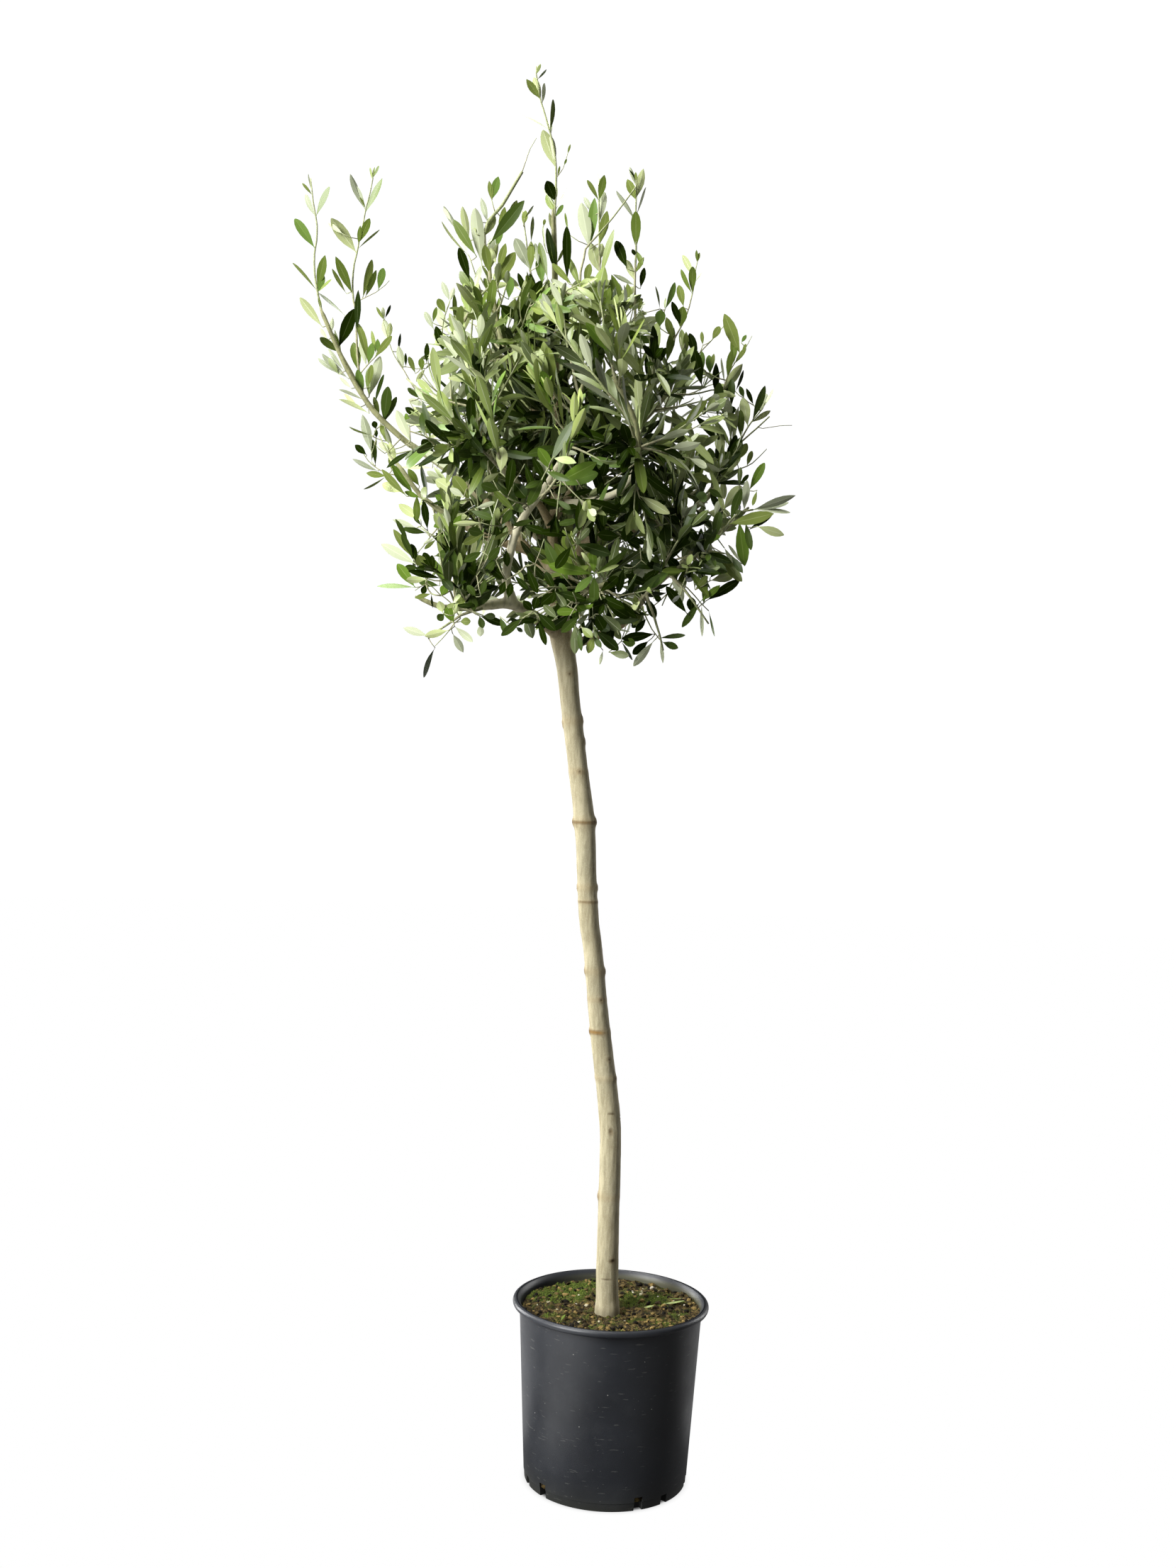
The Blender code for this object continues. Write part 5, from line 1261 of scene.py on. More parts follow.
def bark_relief(obj, relief):
    """Raises the rings, knots and scars of the trunk, and notes where each colour goes."""
    mesh = obj.data
    count = len(mesh.vertices)
    points = np.empty(count * 3, np.float32)
    mesh.vertices.foreach_get("co", points)
    points = points.reshape(-1, 3).astype(float)
    normals = np.empty(count * 3, np.float32)
    mesh.vertices.foreach_get("normal", normals)
    normals = normals.reshape(-1, 3)
    height = points[:, 2]
    middle, radius = trunk_middle(height)
    on_trunk = ease((1.000 - height) / 0.020)
    turn = np.degrees(np.arctan2(points[:, 0] - middle, -points[:, 1]))
    raised = np.zeros(count)
    dark = np.zeros(count)
    warm = np.zeros(count)
    for at, half, out in NODE_RINGS:
        ring = np.exp(-(((height - at) / half) ** 2))
        raised += out * ring
        warm += 0.16 * ring
    for at, where, width, out in KNOTS:
        away = (turn - where + 180.0) % 360.0 - 180.0
        across = np.radians(away) * radius
        near = np.sqrt(across**2 + (height - at) ** 2) / width
        raised += out * np.exp(-(near**2)) - 0.0009 * np.exp(-((near / 0.38) ** 2))
        dark += 0.95 * np.exp(-((near / 0.42) ** 2)) + 0.22 * np.exp(-(((near - 0.9) / 0.25) ** 2))
        warm += 0.30 * np.exp(-(near**2))
    for at, where, wide, high, deep, warmth in SCARS:
        away = (turn - where + 180.0) % 360.0 - 180.0
        across = np.radians(away) * radius / wide
        near = across**4 + ((height - at) / high) ** 2
        mark = np.exp(-near)
        rim = np.exp(-((near - 1.3) ** 2) / 0.3)
        raised += 0.5 * deep * rim - deep * mark
        warm += warmth * mark
        dark += (0.8 - 0.5 * warmth) * mark + 0.25 * rim
    grain = np.array([
        noise.fractal(Vector((x * 260.0, y * 260.0, z * 60.0)), 1.0, 2.0, 3) for x, y, z in points
    ])
    lumps = np.array([noise.noise(Vector((x * 60.0, y * 60.0, z * 28.0))) for x, y, z in points])
    moved = raised * on_trunk + relief * grain + 2.0 * relief * lumps
    foot = ease((0.2120 - height) / 0.0070)
    moved *= 1.0 - foot
    points += normals * moved[:, None]
    points[:, 2] = np.maximum(points[:, 2], TRUNK_FOOT - BARK_FOOT + 0.001)
    mesh.vertices.foreach_set("co", points.astype(np.float32).ravel())
    # painted shade: fork_shade darkens the bark in patches at the fork, under the crown; the bark is also darker
    # towards its foot in the soil
    fork_shade = np.exp(-(((height - 1.045) / 0.030) ** 2)) * 0.25
    speckle = np.clip(grain - 0.45, 0.0, 1.0) * 0.5
    in_front = ease((-0.035 - points[:, 1]) / 0.030)
    far_out = ease((np.hypot(points[:, 0] - CROWN_MIDDLE.x, points[:, 1]) - 0.080) / 0.080)
    dark = dark * on_trunk + fork_shade * (grain > 0.15) + speckle + 0.35 * ease((0.2130 - height) / 0.012)
    # painted light: the boughs in front are less brown (young) and painted paler (pale), as they stand in the light;
    # the boughs far out turn green instead
    note(
        mesh,
        dark=np.clip(dark, 0.0, 1.0),
        warm=np.clip(warm * on_trunk, 0.0, 1.0),
        young=ease((height - 0.985) / 0.060) * (1.0 - 0.85 * np.maximum(in_front, far_out)),
        pale=0.80 * in_front * ease((height - 1.02) / 0.05),
        green=0.85 * far_out * ease((height - 1.12) / 0.10) * (1.0 - in_front),
    )
    mesh.update()


# ---------------------------------------------------------------- growth
def in_own_space(mass, point, radius=0.0):
    """Whether the point, with so much round it, is on the mass's side half way to every other mass."""
    own = SITES[mass]
    return all(
        (point - (own + site) / 2).dot((site - own).normalized()) < -radius - CELL_MARGIN
        for other, site in SITES.items()
        if other != mass
    )


def segment_distance(a, b, c, d):
    """The shortest distance between the segments ab and cd."""
    u, v, w = b - a, d - c, a - c
    uu, uv, vv, uw, vw = u.dot(u), u.dot(v), v.dot(v), u.dot(w), v.dot(w)
    det = uu * vv - uv * uv
    s = held((uv * vw - vv * uw) / det) if det > 1e-12 else 0.0
    t = (uv * s + vw) / vv
    if t < 0.0 or t > 1.0:
        t = held(t)
        s = held((uv * t - uw) / uu)
    return (w + s * u - t * v).length


def clear_of_limbs(a, b, capsules, margin):
    return all(segment_distance(a, b, c, d) > radius + margin for c, d, radius in capsules)


def crown_aim(k):
    """The k-th aim: directions spread evenly round the crown, each pushed out to its ragged edge."""
    azimuth = 2 * math.pi * ((k * AIM_TURN) % 1.0)
    rise = 1.0 - 2.0 * ((k * AIM_RISE) % 1.0)
    level = math.sqrt(1.0 - rise * rise)
    near, far = CROWN_REACH
    reach = near + (far - near) * random.Random(k).random() ** REACH_POWER
    height = CROWN_ABOVE if rise > 0 else CROWN_BELOW
    if rise > 0:
        level = level ** CROWN_TAPER
    out = Vector((CROWN_ACROSS * level * math.cos(azimuth), CROWN_DEEP * level * math.sin(azimuth),
                  height * rise))
    return CROWN_MIDDLE + reach * out, rise


def shoot_curve(stem, aim):
    """Start, bend and end of a shoot that leaves the stem at a slant and bends up towards its aim."""
    foot, tip = stem[0].xyz, stem[-1].xyz
    run = tip - foot
    along = (aim - foot).dot(run) / run.length_squared
    aside = (aim - foot - along * run).length / run.length
    first, last = SHOOT_PLACES
    place = held(along - SHOOT_SLANT * aside, first, last) * (len(stem) - 1)
    whole = min(int(place), len(stem) - 2)
    start = stem[whole].xyz.lerp(stem[whole + 1].xyz, place - whole)
    way = aim - start
    bend = start + Vector((BEND_OUT * way.x, BEND_OUT * way.y, BEND_UP * way.z))
    return start, bend, aim


def on_curve(curve, t):
    start, bend, end = curve
    return (1 - t) ** 2 * start + 2 * t * (1 - t) * bend + t * t * end


def allowed_share(mass, curve, capsules, loose):
    """How much of the curve may grow: to where it would leave its space or meet a limb."""
    parts = max(2, round((curve[2] - curve[0]).length / TWIG_STEP))
    points = [on_curve(curve, i / parts) for i in range(parts + 1)]
    for i, (a, b) in enumerate(zip(points, points[1:])):
        inside = loose or in_own_space(mass, b, TWIG_RADIUS)
        if not inside or not clear_of_limbs(a, b, capsules if i else (), LIMB_MARGIN):
            return i / parts
    return 1.0


def stem_of(mass, paths):
    """The mass's stem, from just inside its bough's tip."""
    bough, line, _, _ = MASSES[mass]
    tip, before = paths[bough][-1], paths[bough][-2]
    along = (tip.xyz - before.xyz).normalized()
    knots = [tip.xyz + along * GAP, *(Vector(p) for p in line)]
    radius = tip.w * STEM_SHARE
    count = len(knots) - 1
    return smoothed([
        Vector((*p, radius + (STEM_TIP_RADIUS - radius) * i / count)) for i, p in enumerate(knots)
    ], RING_STEP)


def seen_in_front(points):
    """x and z of the points as they show on the middle plane from the front."""
    nearer = FRONT_DISTANCE / (FRONT_DISTANCE + points[:, 1])
    return FRONT_X + (points[:, 0] - FRONT_X) * nearer, FRONT_Z + (points[:, 2] - FRONT_Z) * nearer


def in_outline(points):
    """Which points show inside the crown's outline from the front."""
    x, z = seen_in_front(points)
    inside = np.zeros(len(points), bool)
    for (ax, az), (bx, bz) in zip(CROWN_OUTLINE, CROWN_OUTLINE[1:] + CROWN_OUTLINE[:1]):
        crosses = (az > z) != (bz > z)
        inside ^= crosses & (x < ax + (z - az) * (bx - ax) / (bz - az if bz != az else 1.0))
    return inside


def seen_at(x, z, y):
    """The point at that depth that shows at x and z, in millimetres, on the middle plane."""
    further = (FRONT_DISTANCE + y) / FRONT_DISTANCE
    return Vector((FRONT_X + (x / 1000 - FRONT_X) * further, y, FRONT_Z + (z / 1000 - FRONT_Z) * further))


def within(points, circles, margin=0.0):
    """Which points show inside any of the circles (x, z, radius) in millimetres, from the front."""
    x, z = seen_in_front(points)
    at = np.array(circles, float)
    away = np.hypot(x[:, None] * 1000 - at[:, 0], z[:, None] * 1000 - at[:, 1])
    return (away < at[:, 2] + margin).any(axis=1)


def own_places():
    """Circles over the leaves set inside the crown, which the rest leave in view."""
    return [
        (x + 0.55 * across, z + 0.55 * up, 0.30 * math.hypot(across, up))
        for mass in FRONT_MASSES for rows in OWN_LEAVES[mass][1].values() for x, z, across, up, _ in rows
    ]


def left_open(points):
    """Which points would hide the sky, a limb or a leaf that shows from the front."""
    hides = within(points, SKY_GAPS, 3.5)
    hides |= within(points, OPEN_FRONT) & (points[:, 1] < OPEN_DEPTH)
    return hides | within(points, own_places()) & (points[:, 1] < OWN_DEPTH)


class Twig:
    """A shoot or side twig: its middle line, and how it carries its leaves."""

    def __init__(self, path, radii, is_long, tint, shaded=0.0):
        self.radii = radii
        self.shaded = shaded
        self.is_long = is_long
        self.tint = tint
        self.follow(path)

    def follow(self, path):
        self.path = path
        self.lengths = [0.0]
        for a, b in zip(path, path[1:]):
            self.lengths.append(self.lengths[-1] + (b - a).length)
        self.total = self.lengths[-1]

    def cut_at_outline(self):
        """Ends the twig where it would pass the crown's outline; says whether enough is left."""
        points = np.array([tuple(p) for p in self.path])
        inside = in_outline(points) & ~(within(points, OPEN_FRONT) & (points[:, 1] < OPEN_DEPTH))
        if not inside.all():
            first = int(np.argmin(inside))
            if first < 3:
                return False
            self.follow(self.path[:first])
        return True

    def at(self, place):
        """The point so far along it, and the direction there."""
        i = max(k for k in range(len(self.path) - 1) if self.lengths[k] <= place)
        along = (self.path[i + 1] - self.path[i]).normalized()
        return self.path[i] + along * (place - self.lengths[i]), along

    def limb(self):
        first, last = self.radii
        return [
            Vector((*p, first + (last - first) * (run / self.total) ** 0.8))
            for p, run in zip(self.path, self.lengths)
        ]


def crooked(path, rng, amount):
    """The path with the slight turns that a twig makes at each node."""
    made = [path[0]]
    side = (path[1] - path[0]).orthogonal().normalized()
    for i in range(1, len(path) - 1):
        along = (path[i + 1] - path[i - 1]).normalized()
        side = square(Matrix.Rotation(rng.uniform(1.2, 2.2), 3, along) @ side, along)
        made.append(path[i] + side * rng.uniform(0.2, 1.0) * amount)
    return [*made, path[-1]]


def dealt_tint(height, rng):
    """A tint for a spray at that height in the crown."""
    place = held((height - TINTS_FROM) / TINTS_RISE) * (len(TINT_SHARES) - 1)
    whole = min(int(place), len(TINT_SHARES) - 2)
    shares = [a + (b - a) * (place - whole) for a, b in zip(TINT_SHARES[whole], TINT_SHARES[whole + 1])]
    return rng.choices(range(len(TINT_NAMES)), shares)[0]


def side_twigs(mass, shoot, settings, capsules, rng):
    """The finer twigs of a shoot, turned round it in steps, shorter towards its tip."""
    made = []
    place = settings.side_step * rng.uniform(0.5, 1.1)
    turn = rng.uniform(0.0, 2 * math.pi)
    last = shoot.total * (0.45 if shoot.is_long else 1.0) - 0.024
    while place < last:
        start, along = shoot.at(place)
        side = Matrix.Rotation(turn, 3, along) @ along.orthogonal().normalized()
        rise = 0.10 + 0.30 * max(0.0, along.z)
        way = (0.72 * along + 0.66 * side + rise * UP).normalized()
        length = settings.side_length * rng.uniform(0.55, 1.35) * (1.0 - 0.35 * place / shoot.total)
        parts = max(3, round(length / TWIG_PART))
        path = [start]
        bend = Vector((rng.uniform(-0.1, 0.1), rng.uniform(-0.1, 0.1), rng.uniform(-0.02, 0.16) * (0.3 + rise)))
        for _ in range(parts):
            way = (way + bend + 0.05 * along).normalized()
            path.append(path[-1] + way * length / parts)
        inside = in_own_space(mass, path[-1], -0.030)
        if inside and clear_of_limbs(path[1], path[-1], capsules, 0.001):
            dealt = rng.random() >= TWIG_KEEPS_TINT
            tint = dealt_tint(path[-1].z - shoot.shaded, rng) if dealt else shoot.tint
            made.append(Twig(crooked(path, rng, 0.0007), SIDE_RADII, False, tint, shoot.shaded))
        place += settings.side_step * rng.uniform(0.75, 1.35) * (1.5 if shoot.is_long else 1.0)
        turn += SIDE_TURN
    return made


def leaf_on(start, along, out, size, tint, rng, settings, is_long):
    """One leaf: where it is rooted, how it lies, its size and how it curls."""
    out = Matrix.Rotation(rng.gauss(0.0, 0.30), 3, along) @ out
    level = 1.0 - max(0.0, along.z)
    angle = settings.spread * (0.80 + 0.85 * level + 0.45 * is_long) * rng.uniform(0.60, 1.40)
    direction = math.cos(angle) * along + math.sin(angle) * out
    direction = (direction + (0.12 - 0.20 * level) * UP).normalized()
    outward = Vector((start.x - CROWN_MIDDLE.x, start.y - CROWN_MIDDLE.y, 0.0)).normalized()
    face = along + 0.25 * UP + 0.55 * level * outward
    face += 0.34 * Vector((rng.uniform(-1, 1), rng.uniform(-1, 1), rng.uniform(-0.5, 0.5)))
    face = Matrix.Rotation(rng.gauss(0.0, 0.28), 3, direction) @ square(face, direction)
    low = held((LOW_LEAVES - start.z) / 0.16)
    length = settings.length * size * rng.uniform(0.84, 1.14) * (1.0 - 0.14 * low)
    width = settings.width * (0.40 + 0.60 * size) * rng.uniform(0.80, 1.16) * (1.0 + 0.04 * low)
    return {
        "root": start - 0.0006 * direction, "direction": direction, "face": face,
        "length": length, "width": width, "tint": tint,
        "arch": rng.gauss(-0.12, 0.28), "fold": rng.uniform(0.10, 0.45), "twist": rng.gauss(0.0, 0.20),
        "blunt": rng.random(),
    }


def leaves_of(twig, settings, rng):
    """Pairs of leaves, each square to the last, small and close together at the tip."""
    made = []
    side = (twig.path[1] - twig.path[0]).orthogonal().normalized()
    turn = rng.uniform(0.0, math.pi)
    step = settings.long_step if twig.is_long else settings.pair_step
    place = rng.uniform(0.5, 0.9) * step
    while place < twig.total - 0.012:
        start, along = twig.at(place)
        side = square(side, along)
        across = along.cross(side)
        share = place / twig.total
        size = 0.80 + 0.28 * math.sin(math.pi * min(1.0, share * 1.15)) - 0.16 * share + 0.10 * twig.is_long
        for angle in (turn, turn + math.pi):
            if rng.random() < MISSING_LEAVES[twig.is_long]:
                continue
            out = math.cos(angle) * side + math.sin(angle) * across
            tint = twig.tint if rng.random() < LEAF_KEEPS_TINT else dealt_tint(start.z - twig.shaded, rng)
            made.append(leaf_on(start, along, out, size, tint, rng, settings, twig.is_long))
        turn += math.pi / 2 + rng.gauss(0.0, 0.12)
        place += step * rng.uniform(0.80, 1.20) * (1.0 if twig.is_long else 1.0 - 0.30 * share)
    along = (twig.path[-1] - twig.path[-2]).normalized()
    across = along.orthogonal().normalized()
    young = TINT_NAMES.index("young") if rng.random() < (0.1 if twig.shaded else 0.5) else twig.tint
    for back, size in TIP_PAIRS:
        turn += math.pi / 2
        for angle in (turn, turn + math.pi):
            out = Matrix.Rotation(angle, 3, along) @ across
            leaf = leaf_on(twig.path[-1] - back * along, along, out, size, young, rng, settings, twig.is_long)
            leaf["direction"] = (leaf["direction"] + 0.8 * along).normalized()
            leaf["face"] = square(leaf["face"], leaf["direction"])
            made.append(leaf)
    return made


def set_leaf(root, row, side, tint, rng):
    """One leaf of the crown's edge, as it shows from the front."""
    x, z, across, up, width = row
    tip = seen_at(x + across, z + up, root.y)
    tip.y -= side * rng.uniform(0.02, 0.36) * (tip - root).length
    tip = seen_at(x + across, z + up, tip.y)
    direction = (tip - root).normalized()
    face = Vector((FRONT_X, -FRONT_DISTANCE, FRONT_Z)) - root
    face = square(face, direction) * side
    length = (tip - root).length
    real = max(width / 1000, min(0.0105, 0.24 * length))
    tilt = math.acos(min(1.0, width / 1000 / real)) * rng.choice((-1, 1))
    face = Matrix.Rotation(tilt, 3, direction) @ face
    return {
        "root": root, "direction": direction, "face": face, "length": length, "width": real * 0.96,
        "tint": tint, "arch": rng.gauss(0.0, 0.20), "fold": rng.uniform(0.08, 0.30),
        "twist": rng.gauss(0.0, 0.10), "blunt": rng.random(),
    }


def edge_growth(mass, grown):
    """The twigs and leaves that stand clear at the crown's edge, with stalks back to the nearest twig."""
    twigs = []
    for depth, first, last, line in OWN_TWIGS.get(mass, ()):
        path = smoothed([Vector((*seen_at(x, z, depth), 0.0)) for x, z in line], 0.010)
        twigs.append(Twig([p.xyz for p in path], (first, last), False, 0))
    knots = [p for twig in [*grown, *twigs] for p in twig.path]
    for twig in twigs:
        knots += [a.lerp(b, share) for a, b in zip(twig.path, twig.path[1:]) for share in (0.25, 0.5, 0.75)]
    knots = np.array([tuple(p) for p in knots])
    depth, by_tint = OWN_LEAVES.get(mass, (0.0, {}))
    waiting = [
        (kind, row, random.Random(f"{mass}-{kind}-{number}"))
        for kind, rows in by_tint.items() for number, row in enumerate(rows)
    ]
    carried_by = [-1] * len(knots)
    stalks, leaves = [], []
    while waiting:  # the one nearest to a twig first, so that stalks branch from one another
        roots = np.array([tuple(seen_at(row[0], row[1], depth)) for _, row, _ in waiting])
        away = np.linalg.norm(roots[:, None] - knots[None], axis=2)
        pick, knot = np.unravel_index(np.argmin(away), away.shape)
        kind, row, rng = waiting.pop(pick)
        nearest = Vector(knots[knot])
        if away[pick, knot] < AT_TWIG:
            root = nearest
        else:
            root = seen_at(row[0], row[1], depth + rng.uniform(-0.012, 0.012))
            knot = int(np.argmin(np.linalg.norm(knots - np.array(root), axis=1)))
            nearest = Vector(knots[knot])
            middle = nearest.lerp(root, 0.55) + Vector((0.0, 0.0, -0.06 * (root - nearest).length))
            carried_by += [len(stalks)] * 2
            stalks.append([carried_by[knot], 1, [nearest, middle, root]])
            knots = np.vstack([knots, [tuple(middle), tuple(root)]])
        tint, side = TINT_LETTERS.index(kind[0]), 1 if kind[1] == "+" else -1
        leaves.append(set_leaf(root, row, side, tint, rng))
    for carrier, load, path in reversed(stalks):
        if carrier >= 0:
            stalks[carrier][1] += load
        thick = STALK_RADIUS * min(STALKS_SWELL, 0.75 + 0.25 * math.sqrt(load))
        twigs.append(Twig(path, (thick, thick * 0.9), False, 0))
    return twigs, leaves


def nearest_limb(mass, aim, stem, paths):
    """The bough, or the mass's own stem, that passes nearest to the aim."""
    boughs = [path for name, path in paths.items() if name != "trunk"]
    return min([stem, *boughs], key=lambda path: (nearest_on(path, aim) - aim).length)


def grow(mass, paths, capsules, aims, settings):
    """The mass's stem, shoots and side twigs, with the leaves of each."""
    stem = stem_of(mass, paths)
    own = OWN_SHOOTS.get(mass, ())
    twigs = []
    for number, (aim, kind) in enumerate(aims):
        rng = random.Random(f"{mass}-{number}")
        is_long = kind == "long"
        if is_long and any((Vector(line[-1]) - aim).length < REDRAWN for _, line in own):
            continue
        limb = nearest_limb(mass, aim, stem, paths) if kind == "inner" else stem
        curve = shoot_curve(limb, aim)
        share = allowed_share(mass, curve, capsules, kind != "crown")
        end = on_curve(curve, share)
        if (end - curve[0]).length <= SHORTEST_SHOOT * (0.6 if kind == "inner" else 1.0):
            continue
        parts = max(3, round((end - curve[0]).length / TWIG_PART))
        path = [on_curve(curve, share * i / parts) for i in range(parts + 1)]
        if kind == "crown" and share == 1.0:
            path.append(path[-1] + (path[-1] - path[-2]).normalized() * TWIG_PART)
        shaded = SHADED_BY if kind == "inner" else 0.0
        tint = dealt_tint(path[-1].z - shaded, rng)
        radii = LONG_RADII if is_long else SHOOT_RADII
        shoot = Twig(crooked(path, rng, 0.0010), radii, is_long, tint, shaded)
        twigs.append(shoot)
        twigs += side_twigs(mass, shoot, settings, capsules, rng)
    twigs = [twig for twig in twigs if twig.cut_at_outline()]
    leaves = []
    for number, twig in enumerate(twigs):
        leaves += leaves_of(twig, settings, random.Random(f"{mass}-leaves-{number}"))
    for number, (kind, line) in enumerate(own):
        rng = random.Random(f"{mass}-own-{number}")
        path = crooked([p.xyz for p in smoothed([Vector((*p, 0.0)) for p in line], TWIG_PART)], rng, 0.0008)
        shoot = Twig(path, OWN_RADII, kind == "long", dealt_tint(path[-1].z + 0.05, rng))
        twigs.append(shoot)
        leaves += leaves_of(shoot, settings, rng)
    edge_twigs, edge_leaves = edge_growth(mass, twigs)
    return stem, [*twigs, *edge_twigs], leaves, edge_leaves


def all_aims():
    """What every mass's shoots grow towards: its long tips, the crown's edge and its inside."""
    aims = {name: [(Vector(p), "long") for p in parts[3]] for name, parts in MASSES.items()}
    for k in range(1, AIMS + 1):
        aim, rise = crown_aim(k)
        owner = min(SITES, key=lambda name: (SITES[name] - aim).length)
        if rise > TRUNK_CONE:
            aims[owner].append((aim, "crown"))
    for name, tips in EDGE_SHOOTS.items():
        aims[name] += [(Vector(tip), "edge") for tip in tips]
    near, far = INNER_REACH
    for k in range(1, INNER_AIMS + 1):
        aim, rise = crown_aim(k + AIMS)
        share = near + (far - near) * random.Random(k).random()
        aim = CROWN_MIDDLE + (aim - CROWN_MIDDLE) * share
        owner = min(SITES, key=lambda name: (SITES[name] - aim).length)
        if rise > TRUNK_CONE:
            aims[owner].append((aim, "inner"))
    return aims


# ---------------------------------------------------------------- leaves as arrays
def leaf_template():
    """Stations and columns of one leaf, its faces, and the finish that each face takes."""
    stations = len(LEAF_OUTLINE)
    upper = [[row * 4 + column for column in range(4)] for row in range(stations)]
    base = stations * 4
    under = [[upper[row][0], base + row * 2, base + row * 2 + 1, upper[row][3]] for row in range(stations)]
    faces, parts = [], []
    for row in range(stations - 1):
        for column in range(3):
            on_rib = 1 if column == 1 else 0
            a, b = upper[row][column : column + 2], upper[row + 1][column : column + 2]
            faces += [(a[0], a[1], b[1]), (a[0], b[1], b[0])]
            a, b = under[row][column : column + 2], under[row + 1][column : column + 2]
            faces += [(a[1], a[0], b[1]), (b[1], a[0], b[0])]
            parts += [on_rib, on_rib, 2 + on_rib, 2 + on_rib]
    for row, turned_round in ((0, False), (stations - 1, True)):
        a, b = upper[row], under[row]
        ring = (a[0], b[1], b[2], a[3], a[2], a[1])
        faces.append(ring[::-1] if turned_round else ring)
        parts.append(3)
    along, pointed, blunt = np.array(LEAF_OUTLINE).T
    columns = np.array(LEAF_COLUMNS)
    u = np.concatenate([np.repeat(along, 4), np.repeat(along, 2)])
    w = np.stack([np.concatenate([np.repeat(half, 4), np.repeat(half, 2)]) for half in (pointed, blunt)])
    v = np.concatenate([np.tile(columns, stations), np.tile(columns[1:3], stations)])
    s = np.concatenate([np.tile((0.0, 1.0, 1.0, 0.0), stations), np.tile((-1.0, -1.0), stations)])
    return u, w, v, s, faces, np.array(parts)


def leaf_arrays(leaves):
    """Points and faces of all the leaves, each with its own curl, and the finish of every face."""
    u, w, v, s, faces, parts = leaf_template()

    def column(key):
        return np.array([leaf[key] for leaf in leaves], float)

    root, direction, face = (np.array([tuple(leaf[k]) for leaf in leaves]) for k in ("root", "direction", "face"))
    length, width, arch, fold, twist = (column(k)[:, None] for k in ("length", "width", "arch", "fold", "twist"))
    across = np.cross(direction, face)
    blunt = column("blunt")[:, None]
    w = w[0] * (1.0 - blunt) + w[1] * blunt
    bend = np.where(np.abs(arch) < 0.02, 0.02, arch)
    forward = length * np.sin(bend * u) / bend
    upward = length * (1.0 - np.cos(bend * u)) / bend
    turn = bend * u
    half = 0.5 * width * w
    lift = np.abs(v) * half * np.sin(fold) - 0.25 * np.abs(v) ** 3 * half * fold
    lift += s * 0.5 * LEAF_THICKNESS * np.minimum(1.0, 0.5 + w)
    aside = v * half * np.cos(fold)
    spin = twist * u
    aside, lift = aside * np.cos(spin) - lift * np.sin(spin), aside * np.sin(spin) + lift * np.cos(spin)
    forward = forward - lift * np.sin(turn)
    upward = upward + lift * np.cos(turn)
    points = (
        root[:, None, :] + forward[..., None] * direction[:, None, :]
        + upward[..., None] * face[:, None, :] + aside[..., None] * across[:, None, :]
    )
    count = len(u)
    tint = np.array([leaf["tint"] for leaf in leaves])
    by_part = np.stack([tint * MATERIALS_A_TINT + part for part in range(MATERIALS_A_TINT)], axis=1)
    finishes = by_part[:, parts].ravel()
    all_faces = [tuple(k * count + i for i in f) for k in range(len(leaves)) for f in faces]
    return points.reshape(-1, 3), all_faces, finishes, points


def kept_leaves(leaves, limbs):
    """Leaves inside the solids' box and the crown's outline whose blades pass clear of every limb."""
    *_, points = leaf_arrays(leaves)
    low, high = np.array(CAD_LOW) + 0.0005, np.array(CAD_HIGH) - 0.0005
    inside = ((points > low) & (points < high)).all(axis=(1, 2))
    root = np.array([tuple(leaf["root"]) for leaf in leaves])
    way = np.array([tuple(leaf["direction"] * leaf["length"]) for leaf in leaves])
    inside &= in_outline(root + 0.7 * way)
    for share in (0.3, 0.5, 0.7, 0.9):
        inside &= ~left_open(root + share * way)
    clear = np.ones(len(leaves), bool)
    for share in (0.35, 0.6, 0.85):
        at = root + way * share
        for a, b, radius in limbs:
            run = b - a
            along = np.clip(((at - a) @ run) / (run @ run), 0.0, 1.0)
            away = np.linalg.norm(at - a - along[:, None] * run, axis=1)
            clear &= away > radius + 0.0025
    return [leaf for leaf, good in zip(leaves, inside & clear) if good]


# ---------------------------------------------------------------- pot
def wall_radius(height):
    share = height / (POT_HEIGHT - RIM_BAND)
    return WALL_FOOT_RADIUS + (WALL_TOP_RADIUS - WALL_FOOT_RADIUS) * share


def arc(middle, radius, start, end, parts):
    """Points round part of a circle in the (radius, height) plane."""
    return [
        (middle[0] + radius * math.cos(math.radians(start + (end - start) * i / parts)),
         middle[1] + radius * math.sin(math.radians(start + (end - start) * i / parts)))
        for i in range(parts + 1)
    ]


def spun(name, profile, segments):
    """A closed body turned about the Z axis from a closed line of (radius, height) points."""
    deselect()
    bpy.ops.mesh.primitive_plane_add(size=0.01, location=(0.0, 0.0, 0.0))
    obj = bpy.context.object
    obj.name = name
    bpy.ops.object.mode_set(mode="EDIT")
    bpy.ops.mesh.select_all(action="SELECT")
    bpy.ops.mesh.merge(type="CENTER")
    bpy.ops.transform.translate(value=(profile[0][0], 0.0, profile[0][1]))
    for (r, z), (next_r, next_z) in zip(profile, profile[1:]):
        bpy.ops.mesh.extrude_region_move(
            TRANSFORM_OT_translate={"value": (next_r - r, 0.0, next_z - z)})
    bpy.ops.mesh.select_all(action="SELECT")
    bpy.ops.mesh.spin(steps=segments, angle=2 * math.pi, center=(0.0, 0.0, 0.0), axis=(0.0, 0.0, 1.0))
    bpy.ops.mesh.select_all(action="SELECT")
    bpy.ops.mesh.remove_doubles(threshold=0.00002)
    bpy.ops.mesh.normals_make_consistent(inside=False)
    bpy.ops.object.mode_set(mode="OBJECT")
    return obj


